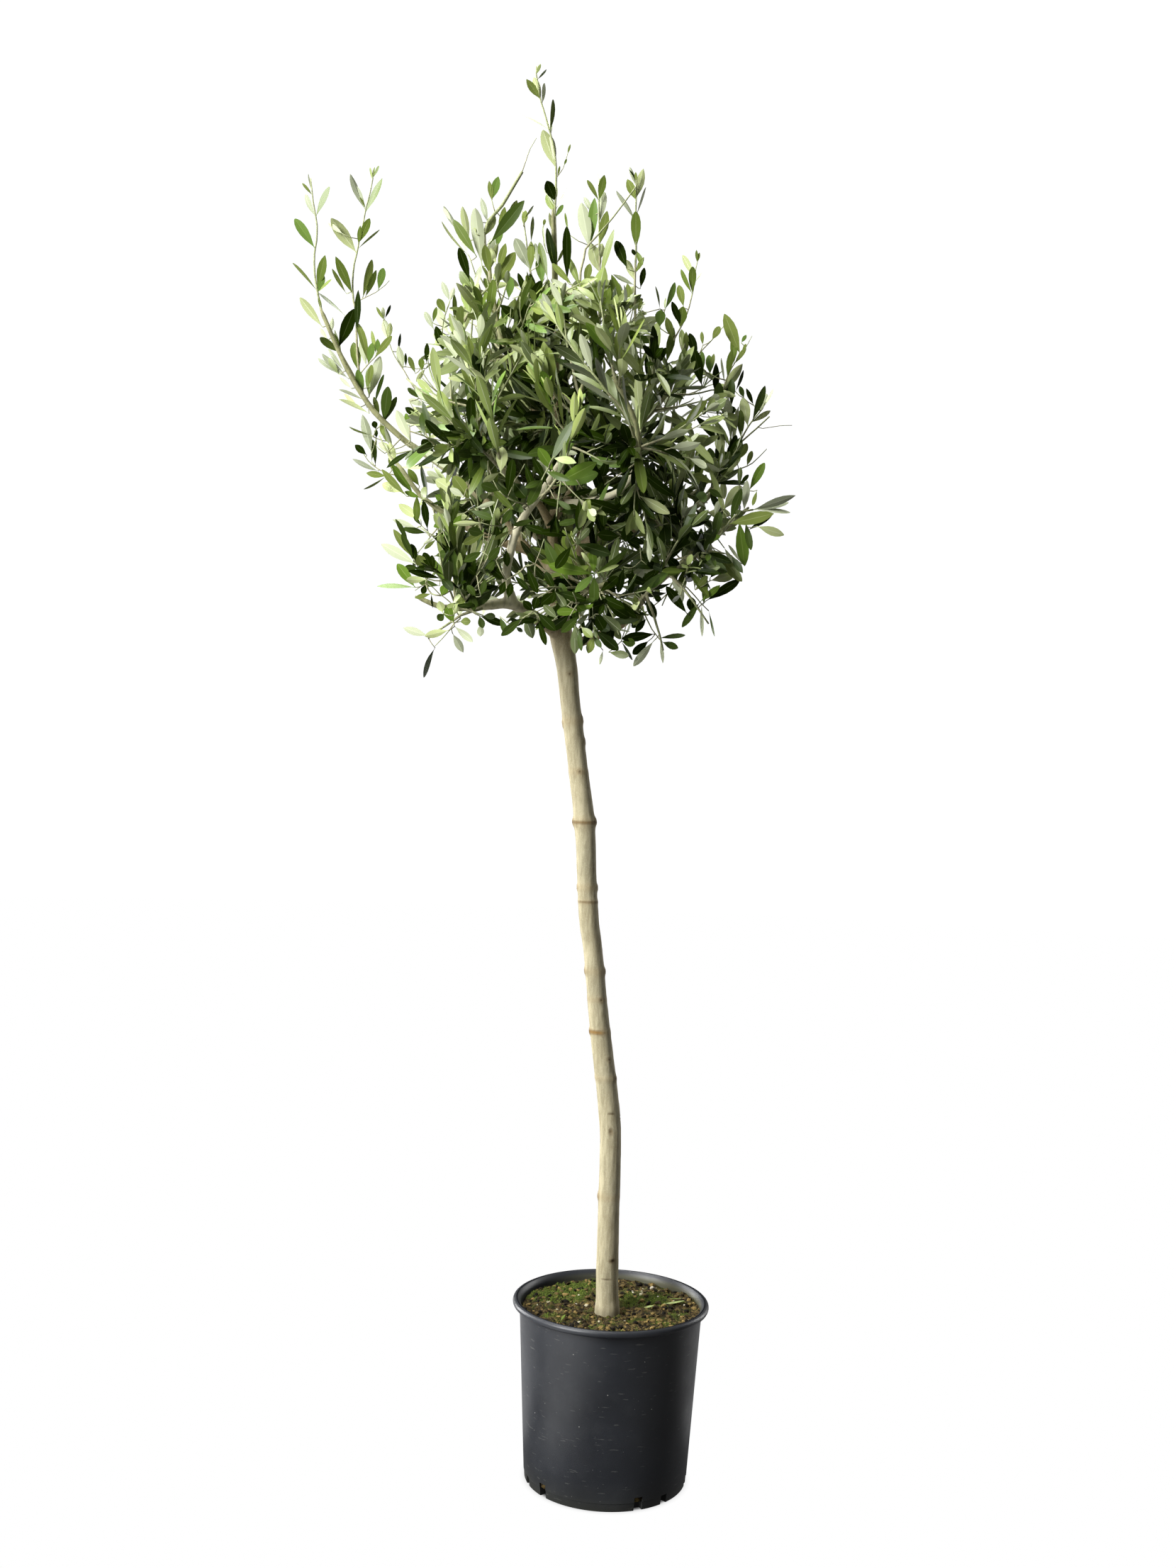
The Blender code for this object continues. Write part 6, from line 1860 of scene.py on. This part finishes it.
def opening_cutter(turn, size):
    """A block across the foot ring, turned so many degrees round from the front."""
    width, height = size
    deep = FOOT_WIDTH * 2
    deselect()
    bpy.ops.mesh.primitive_cube_add(size=1.0)
    cutter = bpy.context.object
    cutter.scale = (width, deep, height + 0.004)
    place = Matrix.Rotation(math.radians(turn), 4, "Z") @ Vector(
        (0.0, deep / 2 - WALL_FOOT_RADIUS - 0.004, (height - 0.004) / 2))
    cutter.location = place
    cutter.rotation_euler.z = math.radians(turn)
    bpy.ops.object.transform_apply(location=True, rotation=True, scale=True)
    return cutter


def pot_profile():
    """The pot's section, from the top of the rim down the outside, across the foot and up inside."""
    band = POT_HEIGHT - RIM_BAND
    foot = WALL_FOOT_RADIUS
    roll = 0.0042
    outer = arc((RIM_RADIUS - roll, POT_HEIGHT - roll), roll, 90.0, -38.0, 7)
    lower = [
        (RIM_RADIUS - 0.0030, band + 0.0010), (RIM_RADIUS - 0.0042, band + 0.0001),
        (WALL_TOP_RADIUS + 0.0012, band), (WALL_TOP_RADIUS + 0.0003, band - 0.0006),
    ]
    wall = [(wall_radius(z), z) for z in (0.190, 0.150, 0.110, 0.070, 0.035, 0.016)]
    step = wall_radius(FOOT_STEP_HEIGHT)
    ledge = [
        (step, FOOT_STEP_HEIGHT), (step - FOOT_STEP * 0.8, FOOT_STEP_HEIGHT - 0.0004),
        (step - FOOT_STEP, FOOT_STEP_HEIGHT - 0.0010),
        (foot - FOOT_STEP, 0.0012), (foot - FOOT_STEP - 0.0004, 0.0003), (foot - FOOT_STEP - 0.0012, 0.0),
    ]
    under = [
        (foot - FOOT_WIDTH, 0.0), (foot - FOOT_WIDTH - 0.002, FLOOR_LIFT), (PAD_RADIUS + 0.002, FLOOR_LIFT),
        (PAD_RADIUS, 0.0), (0.0, 0.0),
    ]
    inner = WALL_TOP_RADIUS - WALL
    inside = [
        (0.0, FLOOR_TOP), (wall_radius(FLOOR_TOP) - WALL, FLOOR_TOP), (wall_radius(0.190) - WALL, 0.190),
        (inner, band), (inner + 0.0006, band + 0.0020), (WALL_TOP_RADIUS + 0.0006, POT_HEIGHT - 0.0022),
    ]
    lip = arc((WALL_TOP_RADIUS + 0.0036, POT_HEIGHT - 0.0024), 0.0024, 160.0, 100.0, 3)
    return [*outer, *lower, *wall, *ledge, *under, *inside, *lip]


class OLIVE_OT_pot(Operator):
    """Model the nursery pot with its rolled rim and the openings in its foot"""

    bl_idname = "olive.pot"
    bl_label = "Pot"

    def execute(self, context):
        settings = context.scene.olive_pot
        pot = spun("nursery_pot", pot_profile(), 144)
        openings = [(side * turn, size) for side in (-1, 1) for turns, size in OPENINGS for turn in turns]
        for turn, size in openings:
            cutter = opening_cutter(FRONT_FOOT_TURN + turn, size)
            applied(pot, "BOOLEAN", operation="DIFFERENCE", solver="EXACT", object=cutter)
            bpy.data.objects.remove(cutter)
        only(pot)
        bpy.ops.object.shade_smooth_by_angle(angle=math.radians(34))
        mesh = pot.data
        grime, shine = [], []
        for vert in mesh.vertices:
            inside = math.hypot(vert.co.x, vert.co.y) < wall_radius(vert.co.z) - WALL * 0.6
            high = inside and vert.co.z > SOIL_TOP - 0.030
            # patch: the back right of the inside, which faces the key light; the wall is painted lighter there, with
            # dust, and shines more. The outside is lighter towards the bottom.
            patch = max(0.0, math.cos(math.atan2(vert.co.y, vert.co.x) - math.radians(48)))
            low = max(0.0, 1.0 - vert.co.z / 0.022) * 0.20
            grime.append((0.02 + 0.80 * patch) if high else low)
            shine.append((0.06 + 0.30 * patch) if inside else 1.0)
        note(mesh, grime=grime, shine=shine)
        settle(dressed(pot, [plastic_finish(settings)]), "pot", slot="pot_plastic")
        return {"FINISHED"}


# ---------------------------------------------------------------- soil
MOSS_PATCHES = (  # x, y, radius, how thick it grows
    (-0.050, 0.064, 0.034, 1.0), (-0.080, 0.036, 0.024, 0.9), (-0.018, 0.082, 0.024, 0.8),
    (0.028, 0.042, 0.022, 0.8), (0.056, 0.036, 0.022, 0.7), (0.032, -0.034, 0.013, 0.5),
    (0.062, -0.054, 0.014, 0.5), (-0.074, -0.030, 0.012, 0.4), (0.082, -0.018, 0.012, 0.4),
    (-0.018, -0.066, 0.012, 0.4), (0.016, -0.090, 0.014, 0.5),
)


FALLEN = (  # x, y, turn, length, width, number of its tint
    (0.066, 0.018, -10.0, 0.027, 0.0072, 6), (0.074, 0.030, -35.0, 0.020, 0.0050, 2),
    (0.041, 0.000, -8.0, 0.013, 0.0066, 6), (-0.060, -0.046, 70.0, 0.014, 0.0042, 2),
)
CRUMB_SHADES = (0.05, 0.22, 0.80, 1.80)
PEBBLE_COLOURS = ((0.42, 0.38, 0.26), (0.30, 0.26, 0.17), (0.52, 0.48, 0.38))


def moss_share(x, y):
    """How mossy the ground is there, from 0 to 1."""
    share = 0.0
    for at_x, at_y, radius, thick in MOSS_PATCHES:
        away = math.hypot(x - at_x, y - at_y) / radius
        share = max(share, thick * (1.25 - away))
    ragged = 0.55 * noise.noise(Vector((x * 120.0, y * 120.0, 0.3)))
    return held(1.6 * (share + ragged))


def unevenness(x, y):
    """The small lumps and clods there, about -1 in a hollow and 1.5 on a clod."""
    small = noise.fractal(Vector((x * 95.0, y * 95.0, 1.7)), 0.9, 2.1, 5)
    return 0.75 * small + 1.5 * max(0.0, noise.noise(Vector((x * 170.0, y * 170.0, 4.0))))


def ground(x, y, lumps):
    """The height of the soil: the solid's broad lumps, a dip round the trunk, and small lumps."""
    radius, angle = math.hypot(x, y), math.atan2(y, x)
    broad = sum(high * math.sin(count * angle + turn * radius) for high, count, turn in SOIL_LUMPS)
    broad += SOIL_FALL * math.sin(angle + SOIL_FALL_TURN)
    broad *= held((radius - SOIL_PATCH_RADIUS) / 0.02)
    dip = SOIL_DIP * math.exp(-(((radius - 0.004) / 0.052) ** 2))
    return SOIL_TOP + 0.0004 + broad - dip + lumps * unevenness(x, y)


class OLIVE_OT_soil(Operator):
    """Model the lumpy soil that fills the pot"""

    bl_idname = "olive.soil"
    bl_label = "Soil"

    def execute(self, context):
        settings = context.scene.olive_soil
        floor = FLOOR_TOP + GAP
        rings = [(0.0, SOIL_TOP)]
        wall = wall_radius(SOIL_TOP) - WALL - GAP
        rings += [(wall * i / 72, SOIL_TOP) for i in range(1, 73)]
        rings += [(wall_radius(0.12) - WALL - GAP, 0.12), (wall_radius(floor) - WALL - GAP, floor), (0.0, floor)]
        soil = spun("potting_soil", rings, 220)
        mesh = soil.data
        moss, hollow = [], []
        for vert in mesh.vertices:
            top = vert.co.z > SOIL_TOP - 0.0001
            moss.append(moss_share(vert.co.x, vert.co.y) if top else 0.0)
            # painted shade: the ground is darker in its hollows
            hollow.append(held(-0.1 - 2.2 * unevenness(vert.co.x, vert.co.y), 0.0, 0.85) if top else 0.0)
            if top:
                vert.co.z = ground(vert.co.x, vert.co.y, settings.roughness)
        note(mesh, moss=moss, hollow=hollow)
        only(soil)
        bpy.ops.object.shade_smooth_by_angle(angle=math.radians(60))
        settle(dressed(soil, [soil_finish(settings)]), "soil", slot="soil")
        return {"FINISHED"}


def lump_shape(subdivisions):
    """Points and faces of a small ball, to be copied."""
    deselect()
    bpy.ops.mesh.primitive_ico_sphere_add(subdivisions=subdivisions, radius=1.0)
    obj = bpy.context.object
    points = np.array([tuple(v.co) for v in obj.data.vertices])
    faces = [tuple(p.vertices) for p in obj.data.polygons]
    bpy.data.objects.remove(obj)
    return points, faces


def scattered(rng, low=0.020, high=0.1075):
    """A point on the ground, even over its area and clear of the trunk."""
    while True:
        radius = math.sqrt(rng.uniform(0.0, 1.0)) * high
        angle = rng.uniform(0.0, 2 * math.pi)
        x, y = radius * math.cos(angle), radius * math.sin(angle)
        if math.hypot(x + 0.004, y) > low:
            return x, y


def scattered_lumps(name, count, sizes, subdivisions, colours, seed, lumps, flat=0.7, places=None):
    """Many uneven lumps on the ground, joined in one mesh."""
    rng = random.Random(seed)
    shape, shape_faces = lump_shape(subdivisions)
    points, faces, finishes = [], [], []
    for number in range(count):
        x, y = places[number] if places else scattered(rng)
        size = rng.uniform(0.0, 1.0) ** 3.2 * (sizes[1] - sizes[0]) + sizes[0]
        turn = np.array(Matrix.Rotation(rng.uniform(0, 6.28), 3, Vector((rng.random(), rng.random(), rng.random()))))
        jitter = 1.0 + np.array([rng.uniform(-0.24, 0.24) for _ in shape])[:, None]
        grown = (shape * jitter * (size * rng.uniform(0.7, 1.3), size, size * rng.uniform(0.5, 1.0))) @ turn.T
        grown[:, 2] *= flat
        grown += (x, y, ground(x, y, lumps) + size * 0.22)
        base = len(points)
        points += grown.tolist()
        faces += [tuple(base + i for i in f) for f in shape_faces]
        finishes += [rng.randrange(len(colours))] * len(shape_faces)
    return dressed(mesh_from_arrays(name, points, faces, finishes, smooth=subdivisions > 1), [
        speckled_finish(f"{name}_{number}", colour, 0.9, 420.0) for number, colour in enumerate(colours)
    ])


class OLIVE_OT_ground_litter(Operator):
    """Lay crumbs, pebbles, moss and fallen leaves on the soil"""

    bl_idname = "olive.ground_litter"
    bl_label = "Ground litter"

    def execute(self, context):
        settings = context.scene.olive_soil
        lumps = settings.roughness
        crumb_colours = [times(settings.earth, shade) for shade in CRUMB_SHADES]
        crumbs = scattered_lumps(
            "soil_crumbs", settings.crumbs, (0.0006, 0.0042), 1, crumb_colours, 5, lumps)
        settle(crumbs, slot="soil")
        rng = random.Random(12)
        gravel = [(0.046 + rng.gauss(0, 0.012), 0.062 + rng.gauss(0, 0.007)) for _ in range(settings.pebbles // 3)]
        gravel += [scattered(rng, 0.03, 0.10) for _ in range(settings.pebbles - len(gravel))]
        pebbles = scattered_lumps(
            "soil_pebbles", len(gravel), (0.0012, 0.0034), 2, PEBBLE_COLOURS, 8, lumps, 0.8, gravel)
        settle(pebbles, slot="soil")
        settle(self.moss(settings), slot="soil")
        settle(self.fallen_leaves(lumps), slot="leaf_silver")
        return {"FINISHED"}

    def moss(self, settings):
        """Short blades that stand close together where the ground is mossy."""
        rng = random.Random(3)
        points, faces, finishes = [], [], []
        grown = 0
        for _ in range(settings.tufts * 12):
            x, y = scattered(rng, 0.019)
            if moss_share(x, y) < rng.uniform(0.15, 1.0):
                continue
            if grown == settings.tufts:
                break
            grown += 1
            z = ground(x, y, settings.roughness) - 0.0004
            tall = rng.uniform(0.0010, 0.0030)
            lean_x, lean_y = rng.gauss(0, 0.0008), rng.gauss(0, 0.0008)
            turn = rng.uniform(0, 6.28)
            base = len(points)
            for k in range(3):
                angle = turn + k * 2.094
                points.append((x + 0.00045 * math.cos(angle), y + 0.00045 * math.sin(angle), z))
            points.append((x + lean_x, y + lean_y, z + tall))
            faces += [(base, base + 2, base + 1), (base, base + 1, base + 3), (base + 1, base + 2, base + 3),
                      (base + 2, base, base + 3)]
            finishes += [rng.randrange(3)] * 4
        return dressed(mesh_from_arrays("soil_moss", points, faces, finishes), [
            plain_finish(f"moss_{number}", times(settings.moss, share), 0.9, 0.2)
            for number, share in enumerate((0.7, 1.2, 1.9))
        ])

    def fallen_leaves(self, lumps):
        """Three dry leaves and a pale flake that lie on the ground."""
        fallen = []
        for x, y, turn, length, width, tint in FALLEN:
            way = Vector((math.cos(math.radians(turn)), math.sin(math.radians(turn)), 0.06)).normalized()
            fallen.append({
                "root": Vector((x, y, ground(x, y, lumps) + 0.0030)), "direction": way,
                "face": square(Vector((0.10, -0.30, 1.0)), way),
                "length": length, "width": width, "tint": tint, "arch": 0.35, "fold": 0.3, "twist": 0.3,
                "blunt": 0.3,
            })
        points, faces, finishes, _ = leaf_arrays(fallen)
        materials = leaf_finishes()
        for material in materials:
            material.name = "fallen_" + material.name
        return dressed(mesh_from_arrays("fallen_leaves", points, faces, finishes), materials)


# ---------------------------------------------------------------- bark
class OLIVE_OT_bark(Operator):
    """Model the bark of the trunk and boughs as one piece, with its rings, knots and scars"""

    bl_idname = "olive.bark"
    bl_label = "Bark"

    def execute(self, context):
        settings = context.scene.olive_bark
        paths = limb_paths()
        limbs = JoinedTubes()
        trunk = trunk_path(BARK_STEP)
        trunk.insert(0, trunk[0].copy())
        trunk[0].z = TRUNK_FOOT - BARK_FOOT
        for point in trunk:
            point.w *= 1.0 - FOOT_SLIMMER * math.exp(-(((point.z - TRUNK_FOOT) / 0.022) ** 2))
        limbs.add(trunk, 28)
        for name in BOUGHS:
            limbs.add(collared(paths[name]), 14)
        bark = limbs.made("bark")
        applied(bark, "REMESH", mode="VOXEL", voxel_size=settings.voxel)
        applied(bark, "SMOOTH", factor=0.5, iterations=6)
        bark_relief(bark, settings.relief)
        only(bark)
        bpy.ops.object.shade_smooth()
        settle(dressed(bark, [bark_finish(settings)]), "trunk", *BOUGHS, slot="trunk_bark")
        return {"FINISHED"}


# ---------------------------------------------------------------- foliage
class OLIVE_OT_foliage(Operator):
    """Grow the twigs and leaves of every mass"""

    bl_idname = "olive.foliage"
    bl_label = "Twigs and leaves"

    def execute(self, context):
        settings = context.scene.olive_leaf
        paths = limb_paths()
        capsules = [
            (a.xyz, b.xyz, max(a.w, b.w)) for path in paths.values() for a, b in zip(path, path[1:])
        ]
        limbs = [(np.array(a), np.array(b), radius) for a, b, radius in capsules]
        aims = all_aims()
        leaf_materials = leaf_finishes()
        twig_materials = [speckled_finish(*row) for row in TWIG_FINISHES]
        for mass in MASSES:
            stem, twigs, leaves, edge_leaves = grow(mass, paths, capsules, aims[mass], settings)
            leaves = kept_leaves(leaves, limbs) + edge_leaves
            self.twig_piece(mass, paths, stem, twigs, twig_materials)
            points, faces, finishes, _ = leaf_arrays(leaves)
            piece = dressed(mesh_from_arrays(mass + "_blades", points, faces, finishes), leaf_materials)
            only(piece)
            bpy.ops.object.shade_smooth_by_angle(angle=math.radians(62))
            settle(piece, mass, slot="leaf_green")
        return {"FINISHED"}

    def twig_piece(self, mass, paths, stem, twigs, materials):
        """The stem and all its twigs, joined."""
        bough = MASSES[mass][0]
        tip, before = paths[bough][-1], paths[bough][-2]
        back = tip.copy()
        back.xyz = tip.xyz - (tip.xyz - before.xyz).normalized() * 0.006
        tubes = JoinedTubes()
        fine = smoothed([back, *stem], 0.012)
        for point in fine:
            point.w *= 1.0 + 0.06 * noise.noise(point.xyz * 120.0)
        end = fine[-1].copy()
        end.xyz += (fine[-1].xyz - fine[-2].xyz).normalized() * 0.010
        end.w *= 0.45
        tubes.add([*fine, end], 8, 0)
        for twig in twigs:
            tubes.add(twig.limb(), 6 if twig.radii[0] > 0.0015 else 5, 1, (0.45, 2))
        piece = dressed(tubes.made(mass + "_twigs"), materials)
        settle(piece, mass, slot="bough_bark")


# ---------------------------------------------------------------- stage
SOFT_LIGHTS = (  # name, place, size, share of the key light's power, what it points at
    ("key_light", (-2.5, -1.9, 2.2), (1.3, 2.2), 1.0, (0.0, 0.0, 0.9)),
    ("top_light", (-0.7, 0.2, 3.4), (1.8, 1.8), 0.50, (-0.1, 0.0, 1.2)),
    ("back_light", (-2.2, 1.6, 1.0), (0.7, 2.0), 0.30, (0.0, 0.0, 0.9)),
    ("edge_light", (2.1, 1.7, 1.0), (0.6, 2.0), 0.12, (0.0, 0.0, 0.9)),
)
FLOOR_GLOW = (  # light that comes up off the pale floor: name, place, share of the key light's power
    ("floor_left", (-0.52, -0.42), 0.0085), ("floor_back_left", (-0.50, 0.42), 0.0040),
    ("floor_back_right", (0.52, 0.40), 0.0022), ("floor_right", (0.45, -0.52), 0.0008),
)


def soft_light(name, place, size, power, aim):
    data = bpy.data.lights.new(name, "AREA")
    data.shape = "RECTANGLE"
    data.size, data.size_y = size
    data.energy = power
    obj = bpy.data.objects.new(name, data)
    obj.location = place
    obj.rotation_euler = (Vector(aim) - Vector(place)).to_track_quat("-Z", "Y").to_euler()
    bpy.context.scene.collection.objects.link(obj)
    return obj


def glowing(name, strength):
    """A white surface that gives off light."""
    finish = Finish(name, 1.0, 0.0)
    finish.colour((0.0, 0.0, 0.0))
    finish.shader.inputs["Emission Color"].default_value = (1.0, 1.0, 1.0, 1.0)
    finish.shader.inputs["Emission Strength"].default_value = strength
    return finish


def floor_finish():
    """White paper, glowing evenly, with a painted shadow where the pot stands on it."""
    finish = glowing("floor_paper", 1.0)
    finish.place = finish.node("TexCoord")
    away = finish.node("VectorMath", operation="LENGTH")
    finish.links.new(finish.place.outputs["Object"], away.inputs[0])
    foot = WALL_FOOT_RADIUS
    shade = finish.ramp(away.outputs["Value"], ((foot * 0.93, 0.004), (foot * 0.99, 0.90), (foot * 1.06, 1.0)))
    finish.links.new(shade, finish.shader.inputs["Emission Strength"])
    return finish.material


class OLIVE_OT_stage(Operator):
    """Set the pale floor, the backdrop, the soft light and the camera"""

    bl_idname = "olive.stage"
    bl_label = "Stage"

    def execute(self, context):
        settings = context.scene.olive_stage
        deselect()
        bpy.ops.mesh.primitive_circle_add(vertices=96, radius=9.0, fill_type="NGON", location=(0.0, 0.0, -0.0004))
        floor = bpy.context.object
        floor.name = "floor"
        floor.data.materials.append(floor_finish())
        bpy.ops.mesh.primitive_uv_sphere_add(segments=48, ring_count=24, radius=8.9)
        backdrop = bpy.context.object
        backdrop.name = "backdrop"
        backdrop.data.materials.append(glowing("backdrop_paper", 1.05).material)
        for piece in (floor, backdrop):
            piece.visible_diffuse = False
            piece.visible_glossy = False
            piece.visible_shadow = False
        world = bpy.data.worlds.new("studio")
        world.use_nodes = True
        surroundings = world.node_tree.nodes["Background"]
        surroundings.inputs["Color"].default_value = (1.0, 1.0, 1.0, 1.0)
        surroundings.inputs["Strength"].default_value = settings.fill
        context.scene.world = world
        for name, place, size, share, aim in SOFT_LIGHTS:
            soft_light(name, place, size, settings.key * share, aim)
        for name, place, share in FLOOR_GLOW:
            glow = soft_light(name, (*place, 0.001), (0.7, 0.7), settings.key * share, (*place, 1.0))
            glow.visible_camera = False
        camera_data = bpy.data.cameras.new("camera")
        camera_data.lens = settings.lens
        camera_data.sensor_width = 36.0
        camera = bpy.data.objects.new("camera", camera_data)
        camera.location = (FRONT_X, -FRONT_DISTANCE, FRONT_Z)
        camera.rotation_euler = (math.radians(90.0), math.radians(CAMERA_ROLL), 0.0)
        context.scene.collection.objects.link(camera)
        context.scene.camera = camera
        context.scene.view_settings.view_transform = "Standard"
        return {"FINISHED"}


# ---------------------------------------------------------------- panel and main
OPERATORS = (OLIVE_OT_pot, OLIVE_OT_soil, OLIVE_OT_ground_litter, OLIVE_OT_bark, OLIVE_OT_foliage, OLIVE_OT_stage)
GROUPS = {
    "olive_pot": PotSettings,
    "olive_soil": SoilSettings,
    "olive_bark": BarkSettings,
    "olive_leaf": LeafSettings,
    "olive_stage": StageSettings,
}


class OLIVE_PT_panel(Panel):
    """Lists the tree's pieces and their settings"""

    bl_idname = "OLIVE_PT_panel"
    bl_label = "Potted Olive Tree"
    bl_space_type = "VIEW_3D"
    bl_region_type = "UI"
    bl_category = "Olive Tree"

    def draw(self, context):
        for name, group in GROUPS.items():
            box = self.layout.box()
            for setting in group.__annotations__:
                box.prop(getattr(context.scene, name), setting)
        for operator in OPERATORS:
            self.layout.operator(operator.bl_idname)


def register():
    for group in (*GROUPS.values(), *OPERATORS, OLIVE_PT_panel):
        bpy.utils.register_class(group)
    for name, group in GROUPS.items():
        setattr(bpy.types.Scene, name, PointerProperty(type=group))


def unregister():
    for name in GROUPS:
        delattr(bpy.types.Scene, name)
    for group in (OLIVE_PT_panel, *reversed(OPERATORS), *reversed(GROUPS.values())):
        bpy.utils.unregister_class(group)


def main():
    register()
    bpy.ops.olive.pot()
    bpy.ops.olive.soil()
    bpy.ops.olive.ground_litter()
    bpy.ops.olive.bark()
    bpy.ops.olive.foliage()
    bpy.ops.olive.stage()


if __name__ == "__main__":
    main()
